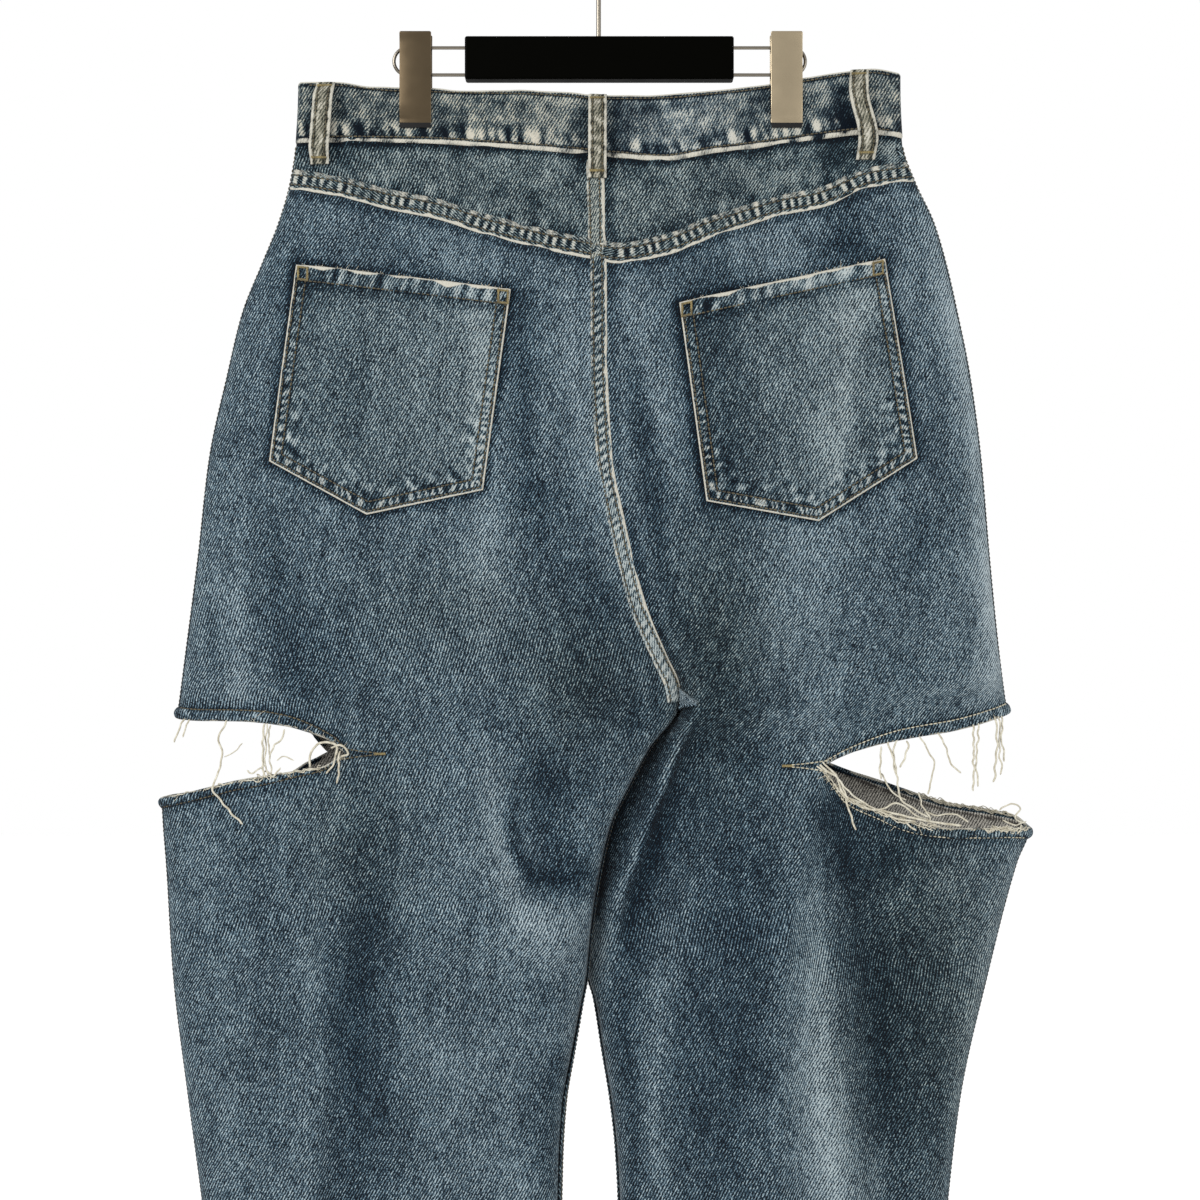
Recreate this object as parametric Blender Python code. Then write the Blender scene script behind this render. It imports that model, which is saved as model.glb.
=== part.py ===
"""Ripped jeans hung by the waistband from a clip hanger, hook and all.

The garment is sewn from flat cloth, so each piece here is a thin wall on one shared hanging form: a
wide, shallow tube for the hips that forks into two leg tubes.  A place on the form is given by its
drop, the distance below the waist in millimetres, and by how far across the piece it lies.  The seat
faces -Y, the fly faces +Y, and the origin is the underside of the hook's top, where a rail carries it.
"""

import math
from collections import namedtuple

import bmesh
import bpy
import numpy as np
from mathutils import Vector

MM = 0.001
BACK, FRONT = -1, 1
LEFT, RIGHT = -1, 1
SIDE_NAME = {LEFT: "left", RIGHT: "right"}
FACE_NAME = {BACK: "back", FRONT: "front"}

# Driving sizes, in millimetres.
WAIST_BELOW_HOOK = 122.0
LEG_LENGTH = 1050.0  # outside leg, from the waist's top edge to the hem
CLOTH = 1.2  # one layer of heavy denim
BAND = 2.6  # the waistband and the turned hems, two layers
LOOP_CLOTH = 1.6
SEAM_GAP = 0.3  # half the gap left between two pieces at a seam
CROTCH_DROP = 447.0
RIP_HEM = 7.0  # turned edge of each rip
LEG_HEM = 14.0
SIDE_ROUNDNESS = 2.7  # exponent of the hanging section: 2 is an ellipse, more is flatter with rounder edges

BAR_LENGTH, BAR_HEIGHT, BAR_DEPTH = 193.0, 31.0, 14.0
BAR_TOP = -89.5
WIRE_RADIUS = 1.25
WIRE_TOP, WIRE_BOTTOM = BAR_TOP - 7.1, BAR_TOP - 26.6
SOCKET_DEPTH = 12.0
HOOK_RADIUS = 1.7
HOOK_INNER = 21.0
CLIP_WIDTH, CLIP_TOP = 24.0, -86.0
CLIP_CENTRES = {LEFT: -131.5, RIGHT: 135.0}
CLIP_SHEET = 1.2
PINCH_HALF_DEPTH = 1.75  # middle of the band's wall under the jaws
PINCH_REACH = 70.0
PINCH_FADE = (42.0, 200.0)  # drops between which the clips' pinch lets go
FORK_BLEND = 75.0  # over which the hip tube turns into two legs
CROTCH_GAP = 0.7  # more room between the two legs than at a seam
FOLD_FADE = 0.22  # share of a fold's length over which each end dies away
EDGE_SHARE = 0.05  # folds die away this close to a panel's edge
COLUMNS_TO_TIP, COLUMNS_PAST_TIP = 7, 6  # cells across a leg panel, to the tip of its rip and past it
ROWS_TO_CROTCH, ROWS_TO_RIP, ROWS_BELOW_RIP = 10, 2, 9
TOP_CROWDING, RIP_CROWDING = 1.2, 1.35  # over 1, rows lie closer together below the waist and below the rip
YOKE_ROWS, FACING_ROWS = 4, 5
CROTCH_ROW_RISE = 24.0  # the row through the crotch rises this much towards the side seam
RIP_LINE_FALL = 8.0  # and the row through a rip falls this much from its tip to the inseam
RIP_EDGE_CLOTH = 2.4  # two layers at a turned edge
HEM_STEP = 2.5  # over which a turned edge steps down to one layer
BAND_ROWS = 3
BAND_LAP, BAND_LAP_LIFT = 18.0, 1.7  # at the fly: how far each end passes the middle, and stands off it
BAND_LAP_EASE = 25.0
CLIP_EDGE = 14.0  # the band lies flat this far to each side of a clip's middle
STATION_ROOM = 0.006  # columns of the band closer than this share of its width are one
POCKET_HEM, POCKET_GAP = 11.0, 0.6
POCKET_ROWS = (0.35, 0.55, 0.75, 0.9, 1.0)  # shares of a pocket's depth, below its hem
POCKET_HALF_COLUMNS = 5
LOOP_WIDTH = 13.0
LOOP_GAP, LOOP_ARCH = 0.5, 7.4  # off the band at the ends, and how much more in the middle
LOOP_END = 0.2  # share of a loop's length over which each end leaves the band
LOOP_ROWS = 9
FACING_INSET, FACING_SIDE_INSET, FACING_PAST_MOUTH = 3.0, 5.0, 20.0
FACING_DIP = (-22.0, -7.0)  # from the pocket's mouth, where a facing starts and ends its way in behind
FACING_SEAM_DIP = (-9.0, -1.0)  # and the same at the side seam
FLY_LAP = 4.0  # how far the fly passes the middle
FLY_LENGTH, FLY_WIDTH = 165.0, 38.0
FLY_STRAIGHT = 0.72  # share of the fly's length above its rounded foot
FLY_FOOT = 0.17  # narrowest share of its width, at the foot
FRINGE_GAP, FRINGE_HEADER, FRINGE_STAND, FRINGE_CLOTH = 0.8, 2.0, 2.8, 1.0
FRINGE_EASE = 6.0  # below the rip's edge, where the threads have reached their stand
BUTTON_RADIUS, BUTTON_BELOW_TOP = 8.5, 22.0
BUTTON_PROFILE = ((0.0, 0.8), (0.8, 1.0), (2.2, 1.0), (3.0, 0.86))  # height, share of its radius
RING_STEPS = 24
BAR_X = 0.5  # the bar's middle, a little off the hook
BAR_ROUNDING = 1.6
SOCKET_GAP = 0.3
HOOK_SOCKET = 18.0
HOOK_BEND = 14.0  # radius of the return bend between the arc and the shank
HOOK_TIP = math.radians(195)
HOOK_STEPS, BEND_STEPS, WIRE_STEPS = 30, 7, 12
WIRE_TURN = {LEFT: -148.5, RIGHT: 150.0}  # outside of each wire's bend
SPRING_OUTER, SPRING_INNER, SPRING_LENGTH = 3.2, 1.6, 8.0
# One clip plate from its top down: distance below the top, and of its inner face from the middle.
CLIP_PROFILE = ((0, 5.4), (8, 4.2), (20, 4.0), (36, 4.6), (52, 5.0), (60, 4.2), (63, 3.65), (69, 3.65))

Section = namedtuple("Section", "drop left right depth")
SECTIONS = (
    Section(-10, -215, 216, 8.0),
    Section(0, -215, 216, 8.0),
    Section(45, -217, 218, 10.0),
    Section(72, -221, 227, 14.0),
    Section(100, -229, 240, 19.0),
    Section(130, -241, 249, 23.0),
    Section(165, -255, 257, 27.0),
    Section(210, -266, 266, 31.0),
    Section(270, -279, 274, 34.0),
    Section(340, -287, 280, 36.0),
    Section(410, -296, 287, 35.0),
    Section(455, -302, 293, 34.0),
    Section(514, -313, 303, 33.0),
    Section(535, -312, 309, 33.0),
    Section(560, -310, 300, 33.0),
    Section(640, -305, 279, 33.0),
    Section(730, -294, 259, 33.0),
    Section(805, -284, 250, 32.0),
    Section(930, -270, 239, 30.0),
    Section(1050, -262, 231, 28.0),
)

# The line of the rise seam, from the waist to the crotch, and of the two inseams below it.
Seam = namedtuple("Seam", "drop back front left right")
SEAMS = (
    Seam(-10, 1, 0, 1, 1),
    Seam(126, 4.5, 0, 4.5, 4.5),
    Seam(200, 5, 1, 5, 5),
    Seam(271, 9, 6, 9, 9),
    Seam(320, 18, 15, 18, 18),
    Seam(375, 32, 30, 32, 32),
    Seam(415, 49, 48, 49, 49),
    Seam(433, 57, 57, 57, 57),
    Seam(447, 59, 59, 59, 59),
    Seam(477, 59, 59, 37, 33),
    Seam(505, 59, 59, 22, 17),
    Seam(531, 59, 59, 9.5, 4.5),
    Seam(564, 59, 59, 1.5, -3.5),
    Seam(610, 59, 59, -5.5, -9),
    Seam(642, 59, 59, -8.5, -8),
    Seam(660, 59, 59, -12, -3),
    Seam(696, 59, 59, -18.5, 3),
    Seam(732, 59, 59, -24.5, 9),
    Seam(768, 59, 59, -27, 13),
    Seam(805, 59, 59, -28, 15),
    Seam(930, 59, 59, -33, 17),
    Seam(1050, 59, 59, -38, 19),
)

# How far the inner edge of each leg swings to the back (-) or the front (+): the left thigh laps the right.
Swing = namedtuple("Swing", "drop left right")
SWINGS = (
    Swing(380, -4, -4),
    Swing(447, -4, -4),
    Swing(478, -17, 9),
    Swing(560, -17, 11),
    Swing(630, -13, 10),
    Swing(690, -3, 2),
    Swing(740, 0, 0),
    Swing(1050, 0, 0),
)

# Drops of the seat's cross seams at places across the back, and of the waist's two edges at the front.
CrossSeam = namedtuple("CrossSeam", "x back_top back_waist yoke front_top front_waist")
CROSS_SEAMS = (
    CrossSeam(-225, 0.0, 43.3, 75.8, 0.0, 43.3),
    CrossSeam(-190, 0.5, 43.8, 82.0, 1.5, 45.0),
    CrossSeam(-150, 3.6, 43.3, 91.3, 5.0, 49.0),
    CrossSeam(-113, 4.7, 44.2, 99.0, 8.0, 52.0),
    CrossSeam(-75, 6.8, 48.0, 113.0, 12.0, 56.0),
    CrossSeam(-37, 7.9, 51.0, 122.8, 15.0, 59.0),
    CrossSeam(0, 10.7, 54.8, 130.4, 16.0, 60.0),
    CrossSeam(13, 10.9, 56.0, 132.7, 16.0, 60.0),
    CrossSeam(46, 10.4, 58.4, 127.1, 14.0, 58.0),
    CrossSeam(83, 6.9, 51.8, 112.0, 10.0, 54.0),
    CrossSeam(131, -0.2, 44.5, 95.5, 3.0, 47.0),
    CrossSeam(160, -5.0, 40.6, 89.8, -1.0, 43.0),
    CrossSeam(193, -8.6, 38.0, 76.7, -5.0, 40.0),
    CrossSeam(225, -5.5, 41.0, 71.0, -5.5, 41.0),
)

# A rip runs from its tip, a share of the way across the leg, out to the side seam.
RipEdge = namedtuple("RipEdge", "across upper lower")
RIPS = {
    (BACK, LEFT): (
        RipEdge(0.62, 480.0, 480.0),
        RipEdge(0.66, 471.5, 489.5),
        RipEdge(0.71, 465.5, 492.5),
        RipEdge(0.77, 460.5, 496.0),
        RipEdge(0.83, 458.0, 499.5),
        RipEdge(0.88, 457.3, 504.0),
        RipEdge(0.95, 457.4, 510.0),
        RipEdge(1.0, 456.5, 514.0),
    ),
    (BACK, RIGHT): (
        RipEdge(0.485, 489.0, 489.0),
        RipEdge(0.525, 482.5, 502.0),
        RipEdge(0.56, 478.5, 512.0),
        RipEdge(0.63, 473.0, 520.0),
        RipEdge(0.72, 468.3, 530.0),
        RipEdge(0.82, 464.3, 533.5),
        RipEdge(0.93, 457.8, 533.7),
        RipEdge(1.0, 453.2, 535.2),
    ),
    (FRONT, LEFT): (
        RipEdge(0.68, 483.5, 483.5),
        RipEdge(0.70, 478.0, 488.5),
        RipEdge(0.72, 472.5, 492.0),
        RipEdge(0.745, 464.0, 499.0),
        RipEdge(0.80, 456.0, 504.0),
        RipEdge(0.88, 454.0, 508.0),
        RipEdge(0.95, 454.5, 512.0),
        RipEdge(1.0, 456.5, 514.0),
    ),
    (FRONT, RIGHT): (
        RipEdge(0.50, 489.0, 489.0),
        RipEdge(0.60, 472.0, 499.0),
        RipEdge(0.66, 468.0, 504.0),
        RipEdge(0.73, 465.0, 511.0),
        RipEdge(0.83, 460.5, 520.5),
        RipEdge(0.93, 455.5, 525.3),
        RipEdge(0.98, 453.5, 528.5),
        RipEdge(1.0, 453.2, 535.2),
    ),
}

# The largest folds.  Each runs along its points (across in mm, drop in mm), stands out of the cloth by
# its height (a negative one is a trough), dies away at its reach, and fades at both ends.
Fold = namedtuple("Fold", "face side height reach path")
FOLDS = (
    Fold(BACK, RIGHT, 9.0, 11.0, ((72, 440), (54, 481), (40, 520), (30, 544), (14, 590), (9, 640))),
    Fold(BACK, RIGHT, -11.0, 15.0, ((94, 450), (76, 490), (63, 530), (52, 560), (40, 592), (28, 650))),
    Fold(BACK, LEFT, -8.0, 14.0, ((-75, 480), (-66, 520), (-58, 556), (-46, 574), (-20, 572))),
    Fold(BACK, LEFT, 5.0, 17.0, ((-60, 585), (-34, 603), (-14, 622))),
    Fold(BACK, LEFT, -7.0, 17.0, ((-144, 490), (-157, 588), (-170, 660), (-177, 732), (-190, 1000))),
    Fold(BACK, LEFT, 4.0, 14.0, ((-176, 520), (-190, 620), (-200, 732), (-208, 900))),
    Fold(BACK, RIGHT, 6.0, 15.0, ((160, 500), (164, 560), (164, 640), (168, 720), (184, 830), (190, 960))),
    Fold(BACK, RIGHT, -8.0, 20.0, ((186, 540), (200, 600), (206, 680), (205, 770), (212, 900))),
    Fold(BACK, RIGHT, -5.0, 22.0, ((90, 600), (92, 700), (84, 800), (80, 960))),
    Fold(FRONT, LEFT, -7.0, 20.0, ((-150, 500), (-162, 600), (-172, 720), (-170, 900))),
    Fold(FRONT, RIGHT, -7.0, 20.0, ((150, 500), (156, 610), (150, 730), (140, 900))),
    Fold(FRONT, RIGHT, 6.0, 14.0, ((96, 470), (82, 540), (66, 620), (60, 700))),
)

# Back pockets: places as (across in mm, drop in mm).
Pocket = namedtuple("Pocket", "inner_top outer_top inner_bottom point outer_bottom")
BACK_POCKETS = {
    LEFT: Pocket((-62, 152.5), (-215, 133.5), (-81.2, 294.7), (-163.3, 312), (-233, 273.8)),
    RIGHT: Pocket((57, 162), (203.5, 129.5), (75.8, 302.5), (155, 316.5), (225.5, 271.8)),
}

# Belt loops: the middle of the top end, and of the bottom end.
Loop = namedtuple("Loop", "name face top bottom sway")
LOOPS = (
    Loop("belt_loop_back_left", BACK, (-195.4, 0.9), (-199.5, 60.2), 0.0),
    Loop("belt_loop_back_centre", BACK, (-0.7, 10.5), (-0.9, 71.5), 0.0),
    Loop("belt_loop_back_right", BACK, (187.3, -8.0), (191.0, 57.0), -2.2),
    Loop("belt_loop_front_left", FRONT, (-76.0, 12.4), (-77.0, 71.6), 0.0),
    Loop("belt_loop_front_right", FRONT, (76.0, 11.2), (77.0, 70.4), 0.0),
)

# Threads that hang from the upper edge of a rip: where, how wide a bunch, how far it reaches down.
Fringe = namedtuple("Fringe", "across width reach")
FRINGES = {
    LEFT: (Fringe(0.69, 6, 22), Fringe(0.793, 10, 36), Fringe(0.881, 4, 70), Fringe(0.975, 7, 19)),
    RIGHT: (
        Fringe(0.631, 4, 30),
        Fringe(0.685, 12, 56),
        Fringe(0.755, 6, 42),
        Fringe(0.82, 9, 40),
        Fringe(0.898, 4, 48),
        Fringe(0.968, 9, 46),
    ),
}

# The scoop of each front pocket's mouth: where it starts, how far it runs across and down to the side seam.
POCKET_MOUTH_START, POCKET_MOUTH_ACROSS, POCKET_MOUTH_DOWN = 118.0, 105.0, 66.0


def curve_through(knots, values):
    """A function through the knots that never overshoots them, with zero slope at a peak."""
    knots, values = np.array(knots, float), np.array(values, float)
    step = np.diff(knots)
    slope = np.diff(values) / step
    tangent = np.zeros_like(values)
    tangent[0], tangent[-1] = slope[0], slope[-1]
    for i in range(1, len(knots) - 1):
        if slope[i - 1] * slope[i] > 0:
            a, b = 2 * step[i] + step[i - 1], step[i] + 2 * step[i - 1]
            tangent[i] = (a + b) / (a / slope[i - 1] + b / slope[i])

    def at(place):
        place = np.clip(np.asarray(place, float), knots[0], knots[-1])
        i = np.clip(np.searchsorted(knots, place, side="right") - 1, 0, len(step) - 1)
        t = (place - knots[i]) / step[i]
        t2, t3 = t * t, t * t * t
        return (
            (2 * t3 - 3 * t2 + 1) * values[i]
            + (t3 - 2 * t2 + t) * step[i] * tangent[i]
            + (3 * t2 - 2 * t3) * values[i + 1]
            + (t3 - t2) * step[i] * tangent[i + 1]
        )

    return at


def table_curve(rows, key, name):
    """The curve of one named column of a table against another."""
    return curve_through([getattr(r, key) for r in rows], [getattr(r, name) for r in rows])


OUTER = {side: table_curve(SECTIONS, "drop", SIDE_NAME[side]) for side in (LEFT, RIGHT)}
DEPTH = table_curve(SECTIONS, "drop", "depth")
RISE = {face: table_curve(SEAMS, "drop", FACE_NAME[face]) for face in (BACK, FRONT)}
INSEAM = {side: table_curve(SEAMS, "drop", SIDE_NAME[side]) for side in (LEFT, RIGHT)}
SWING = {side: table_curve(SWINGS, "drop", SIDE_NAME[side]) for side in (LEFT, RIGHT)}
WAIST_TOP = {face: table_curve(CROSS_SEAMS, "x", FACE_NAME[face] + "_top") for face in (BACK, FRONT)}
WAIST_SEAM = {face: table_curve(CROSS_SEAMS, "x", FACE_NAME[face] + "_waist") for face in (BACK, FRONT)}
YOKE_SEAM = table_curve(CROSS_SEAMS, "x", "yoke")


def ease(start, end, value):
    """0 before start, 1 after end, and a smooth step between them."""
    t = np.clip((np.asarray(value, float) - start) / (end - start), 0, 1)
    return t * t * (3 - 2 * t)


def bulge(across):
    """Depth of the hanging section at a share of the way across it, from 0 at its edges to 1."""
    from_middle = np.clip(np.abs(2 * np.asarray(across, float) - 1), 0, 1)
    return np.maximum(1 - from_middle**SIDE_ROUNDNESS, 0) ** (1 / SIDE_ROUNDNESS)


def forked(drop):
    """0 on the hip tube, 1 where it has become two legs."""
    return ease(CROTCH_DROP - FORK_BLEND, CROTCH_DROP, drop)


def inner_edge(face, side, drop):
    """Across place of a piece's inner edge: the rise seam, and below the crotch the inseam."""
    return np.where(np.asarray(drop) < CROTCH_DROP, RISE[face](drop), INSEAM[side](drop))


def fold_height(face, side, x, drop):
    """How far the folds move the cloth out of its plain form."""
    total = np.zeros(np.broadcast(x, drop).shape)
    for fold in FOLDS:
        if (fold.face, fold.side) != (face, side):
            continue
        path = np.array(fold.path, float)
        lengths = np.linalg.norm(np.diff(path, axis=0), axis=1)
        run = np.concatenate([[0], np.cumsum(lengths)])
        nearest, at = np.full(total.shape, np.inf), np.zeros(total.shape)
        for i, length in enumerate(lengths):
            direction = (path[i + 1] - path[i]) / length
            along = np.clip((x - path[i][0]) * direction[0] + (drop - path[i][1]) * direction[1], 0, length)
            off = np.hypot(x - path[i][0] - along * direction[0], drop - path[i][1] - along * direction[1])
            at = np.where(off < nearest, run[i] + along, at)
            nearest = np.minimum(off, nearest)
        share = at / run[-1]
        fade = ease(0, FOLD_FADE, share) * ease(0, FOLD_FADE, 1 - share)
        total = total + fold.height * fade * np.exp(-((nearest / fold.reach) ** 2))
    return total


def form_y(face, side, x, drop):
    """Y of the middle of the cloth at a place on the hanging form."""
    left, right = OUTER[LEFT](drop), OUTER[RIGHT](drop)
    inner, outer = inner_edge(face, side, drop), OUTER[side](drop)
    across_hips = (x - left) / (right - left)
    across_leg = np.clip((x - inner) / (outer - inner), 0, 1)
    legs = forked(drop)
    plain = DEPTH(drop) * ((1 - legs) * bulge(across_hips) + legs * bulge(across_leg))
    pinch = np.zeros(np.broadcast(x, drop).shape)
    for centre in CLIP_CENTRES.values():
        held = 1 - ease(CLIP_EDGE, PINCH_REACH, np.abs(x - centre))
        pinch = np.maximum(pinch, held * (1 - ease(*PINCH_FADE, drop)))
    flat = plain * (1 - pinch) + np.minimum(plain, PINCH_HALF_DEPTH) * pinch
    room = ease(0, EDGE_SHARE, 1 - across_leg) * np.where(legs > 0, ease(0, EDGE_SHARE, across_leg), 1)
    folds = fold_height(face, side, x, drop) * room
    swing = legs * SWING[side](drop) * (1 - across_leg) ** 2
    return face * (flat + folds + SEAM_GAP) + swing


def place(x, y, drop):
    """Points in the part's frame, in millimetres, from across, depth and drop."""
    return np.stack(np.broadcast_arrays(x, y, -WAIST_BELOW_HOOK - np.asarray(drop, float)), axis=-1)


def leg_place(face, side, across, drop):
    """Points of a panel at a share of the way from its inner edge to the side seam."""
    inner, outer = inner_edge(face, side, drop), OUTER[side](drop)
    x = inner + (outer - inner) * across
    apart = (SEAM_GAP + CROTCH_GAP * forked(drop)) * (1 - across) ** 2
    return place(x + side * apart, form_y(face, side, x, drop), drop)


def lifted(face, side, x, drop, lift):
    """Points that stand off the middle of the panel, outwards, square to it."""
    step = 1.0  # to each side, for the slope of the cloth
    x, drop, lift = np.broadcast_arrays(np.asarray(x, float), np.asarray(drop, float), lift)
    across = place(x + step, form_y(face, side, x + step, drop), drop)
    across = across - place(x - step, form_y(face, side, x - step, drop), drop)
    down = place(x, form_y(face, side, x, drop + step), drop + step)
    down = down - place(x, form_y(face, side, x, drop - step), drop - step)
    normal = np.cross(across, down)
    normal /= np.linalg.norm(normal, axis=-1, keepdims=True)
    normal *= np.sign(normal[..., 1:2]) * face
    return place(x, form_y(face, side, x, drop), drop) + normal * lift[..., None]


def material(name, colour, roughness, metallic=0.0):
    """A Principled material."""
    made = bpy.data.materials.new(name)
    made.use_nodes = True
    shader = made.node_tree.nodes["Principled BSDF"]
    shader.inputs["Base Color"].default_value = (*colour, 1)
    shader.inputs["Roughness"].default_value = roughness
    shader.inputs["Metallic"].default_value = metallic
    return made


def add_object(name, data, finish):
    """A named object with one material, linked to the scene."""
    data.materials.append(finish)
    obj = bpy.data.objects.new(name, data)
    bpy.context.scene.collection.objects.link(obj)
    return obj


def add_mesh(name, bm, finish, crease=50):
    """An object from a closed bmesh in millimetres: faces out, smooth but for edges over crease degrees."""
    bmesh.ops.recalc_face_normals(bm, faces=bm.faces[:])
    if bm.calc_volume(signed=True) < 0:
        bmesh.ops.reverse_faces(bm, faces=bm.faces[:])
    bmesh.ops.scale(bm, vec=(MM, MM, MM), verts=bm.verts[:])
    mesh = bpy.data.meshes.new(name)
    bm.to_mesh(mesh)
    bm.free()
    mesh.shade_smooth()
    mesh.set_sharp_from_angle(angle=math.radians(crease))
    return add_object(name, mesh, finish)


def cloth_wall(name, points, thickness, finish, facing=None, kept=None):
    """A closed wall on a grid of points, joined where they coincide.

    facing gives the way out at a (row, column) where the grid's own normal won't do, and kept marks the
    cells that hold cloth.
    """
    rows, columns = points.shape[:2]
    thickness = np.broadcast_to(thickness, (rows, columns))
    kept = np.ones((rows - 1, columns - 1), bool) if kept is None else kept
    facing = facing or {}
    sheet = bmesh.new()
    grid, found, spots = {}, {}, []
    for i in range(rows):
        for j in range(columns):
            if not kept[max(i - 1, 0) : i + 1, max(j - 1, 0) : j + 1].any():
                continue
            key = tuple(np.round(points[i, j], 3))
            if key not in found:
                found[key] = sheet.verts.new(points[i, j])
                spots.append((i, j))
            grid[i, j] = found[key]
    for i, j in np.argwhere(kept):
        sheet.faces.new([grid[i, j], grid[i + 1, j], grid[i + 1, j + 1], grid[i, j + 1]])
    sheet.verts.index_update()
    sheet.normal_update()
    wall = bmesh.new()
    skins = []
    for half in (0.5, -0.5):
        skin = []
        for vert, spot in zip(sheet.verts, spots):
            normal = vert.normal
            if spot in facing:
                normal = Vector(facing[spot])
                if normal.dot(vert.normal) < 0:
                    normal.negate()
            skin.append(wall.verts.new(vert.co + normal * half * thickness[spot]))
        skins.append(skin)
    for face in sheet.faces:
        indices = [v.index for v in face.verts]
        wall.faces.new([skins[0][i] for i in indices])
        wall.faces.new([skins[1][i] for i in reversed(indices)])
    for edge in sheet.edges:
        if edge.is_boundary:
            a, b = (v.index for v in edge.verts)
            wall.faces.new([skins[0][a], skins[0][b], skins[1][b], skins[1][a]])
    sheet.free()
    return add_mesh(name, wall, finish)


def between(first, last, steps, start=0, power=1.0):
    """Rows from first to last, leaving out those before start; a power over 1 crowds them at the first."""
    return [first + (last - first) * (i / steps) ** power for i in range(start, steps + 1)]


def cross_row(face, side, across, seam, gap):
    """Drops of a row that follows a cross seam given against x, found by stepping towards it."""
    drop = seam(0 * across) + gap
    for _ in range(6):
        inner, outer = inner_edge(face, side, drop), OUTER[side](drop)
        drop = seam(inner + (outer - inner) * across) + gap
    return drop


def scoop(side, x):
    """How far below the waist seam the front pocket's mouth lies, for a place across the front."""
    t = np.clip((side * x - POCKET_MOUTH_START) / POCKET_MOUTH_ACROSS, 0, 1)
    return POCKET_MOUTH_DOWN * np.sqrt(1 - (1 - t) ** 2)


def rip_rows(face, side, across):
    """Drops of the rip's upper and lower edges.  Inside the tip they are one line across the leg."""
    edges = RIPS[face, side]
    tip = edges[0].across
    upper, lower = table_curve(edges, "across", "upper"), table_curve(edges, "across", "lower")
    level = edges[0].upper + (tip - across) * RIP_LINE_FALL
    torn = across > tip
    return np.where(torn, upper(across), level), np.where(torn, lower(across), level)


def panel_columns(face, side):
    """Shares across a leg, closest together at its rounded edges, with one at the tip of the rip."""
    tip = RIPS[face, side][0].across
    to_tip = np.linspace(0, math.pi / 2, COLUMNS_TO_TIP + 1)
    past_tip = np.linspace(0, math.pi / 2, COLUMNS_PAST_TIP + 1)
    return np.concatenate([tip * (1 - np.cos(to_tip)), tip + (1 - tip) * np.sin(past_tip[1:])])


def edge_facing(face, side, drops):
    """Ways out along a panel's side edges: sideways where the tube turns over, outwards at the rise seam."""
    facing = {}
    for i, drop in enumerate(drops[:, 0]):
        legs = float(forked(drop))
        facing[i, 0] = Vector((-side * legs, face * (1 - legs), 0)).normalized()
        facing[i, drops.shape[1] - 1] = (side, 0, 0)
    return facing


def leg_panel(face, side, finish):
    """One leg panel from its top seam to the hem, with the rip cut in from the side seam."""
    across = panel_columns(face, side)
    seam = YOKE_SEAM if face == BACK else (lambda x: WAIST_SEAM[FRONT](x) + scoop(side, x))
    top = cross_row(face, side, across, seam, SEAM_GAP)
    crotch = CROTCH_DROP - CROTCH_ROW_RISE * across
    upper, lower = rip_rows(face, side, across)
    hem = np.full(len(across), LEG_LENGTH)
    above = between(top, crotch, ROWS_TO_CROTCH, power=TOP_CROWDING)
    above += between(crotch, upper - RIP_HEM - HEM_STEP, ROWS_TO_RIP, start=1)
    above += [upper - RIP_HEM, upper]
    below = [lower, lower + RIP_HEM]
    last = hem - LEG_HEM - HEM_STEP
    below += between(lower + RIP_HEM + HEM_STEP, last, ROWS_BELOW_RIP, power=RIP_CROWDING)
    below += [hem - LEG_HEM, hem]
    drops = np.array(above + below)
    points = leg_place(face, side, across[None, :], drops)
    torn = np.arange(len(across)) > COLUMNS_TO_TIP
    edge = len(above)
    thickness = np.full(drops.shape, CLOTH)
    thickness[edge - 2 : edge + 2, torn] = RIP_EDGE_CLOTH
    thickness[-2:, :] = BAND
    kept = np.ones((len(drops) - 1, len(across) - 1), bool)
    kept[edge - 1] = False
    name = f"{FACE_NAME[face]}_{SIDE_NAME[side]}"
    return cloth_wall(name, points, thickness, finish, edge_facing(face, side, drops), kept)


def yoke(side, finish):
    """The pointed piece between the waistband and one half of the seat."""
    across = panel_columns(BACK, side)
    top = cross_row(BACK, side, across, WAIST_SEAM[BACK], SEAM_GAP)
    bottom = cross_row(BACK, side, across, YOKE_SEAM, -SEAM_GAP)
    drops = np.array(between(top, bottom, YOKE_ROWS))
    points = leg_place(BACK, side, across[None, :], drops)
    return cloth_wall(f"yoke_{SIDE_NAME[side]}", points, CLOTH, finish, edge_facing(BACK, side, drops))


def band_stations(face, side):
    """Shares across the hips where the band has a column: those of the panel below, and the clip's edges."""
    drop = cross_row(face, side, panel_columns(face, side), WAIST_SEAM[face], 0)
    inner, outer = inner_edge(face, side, drop), OUTER[side](drop)
    x = inner + (outer - inner) * panel_columns(face, side)
    left, right = OUTER[LEFT](drop), OUTER[RIGHT](drop)
    shares = list((x - left) / (right - left))
    for edge in (-CLIP_EDGE, CLIP_EDGE):
        share = (CLIP_CENTRES[side] + edge - left[0]) / (right[0] - left[0])
        shares = [other for other in shares if abs(other - share) > STATION_ROOM] + [share]
    return sorted(shares)


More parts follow.
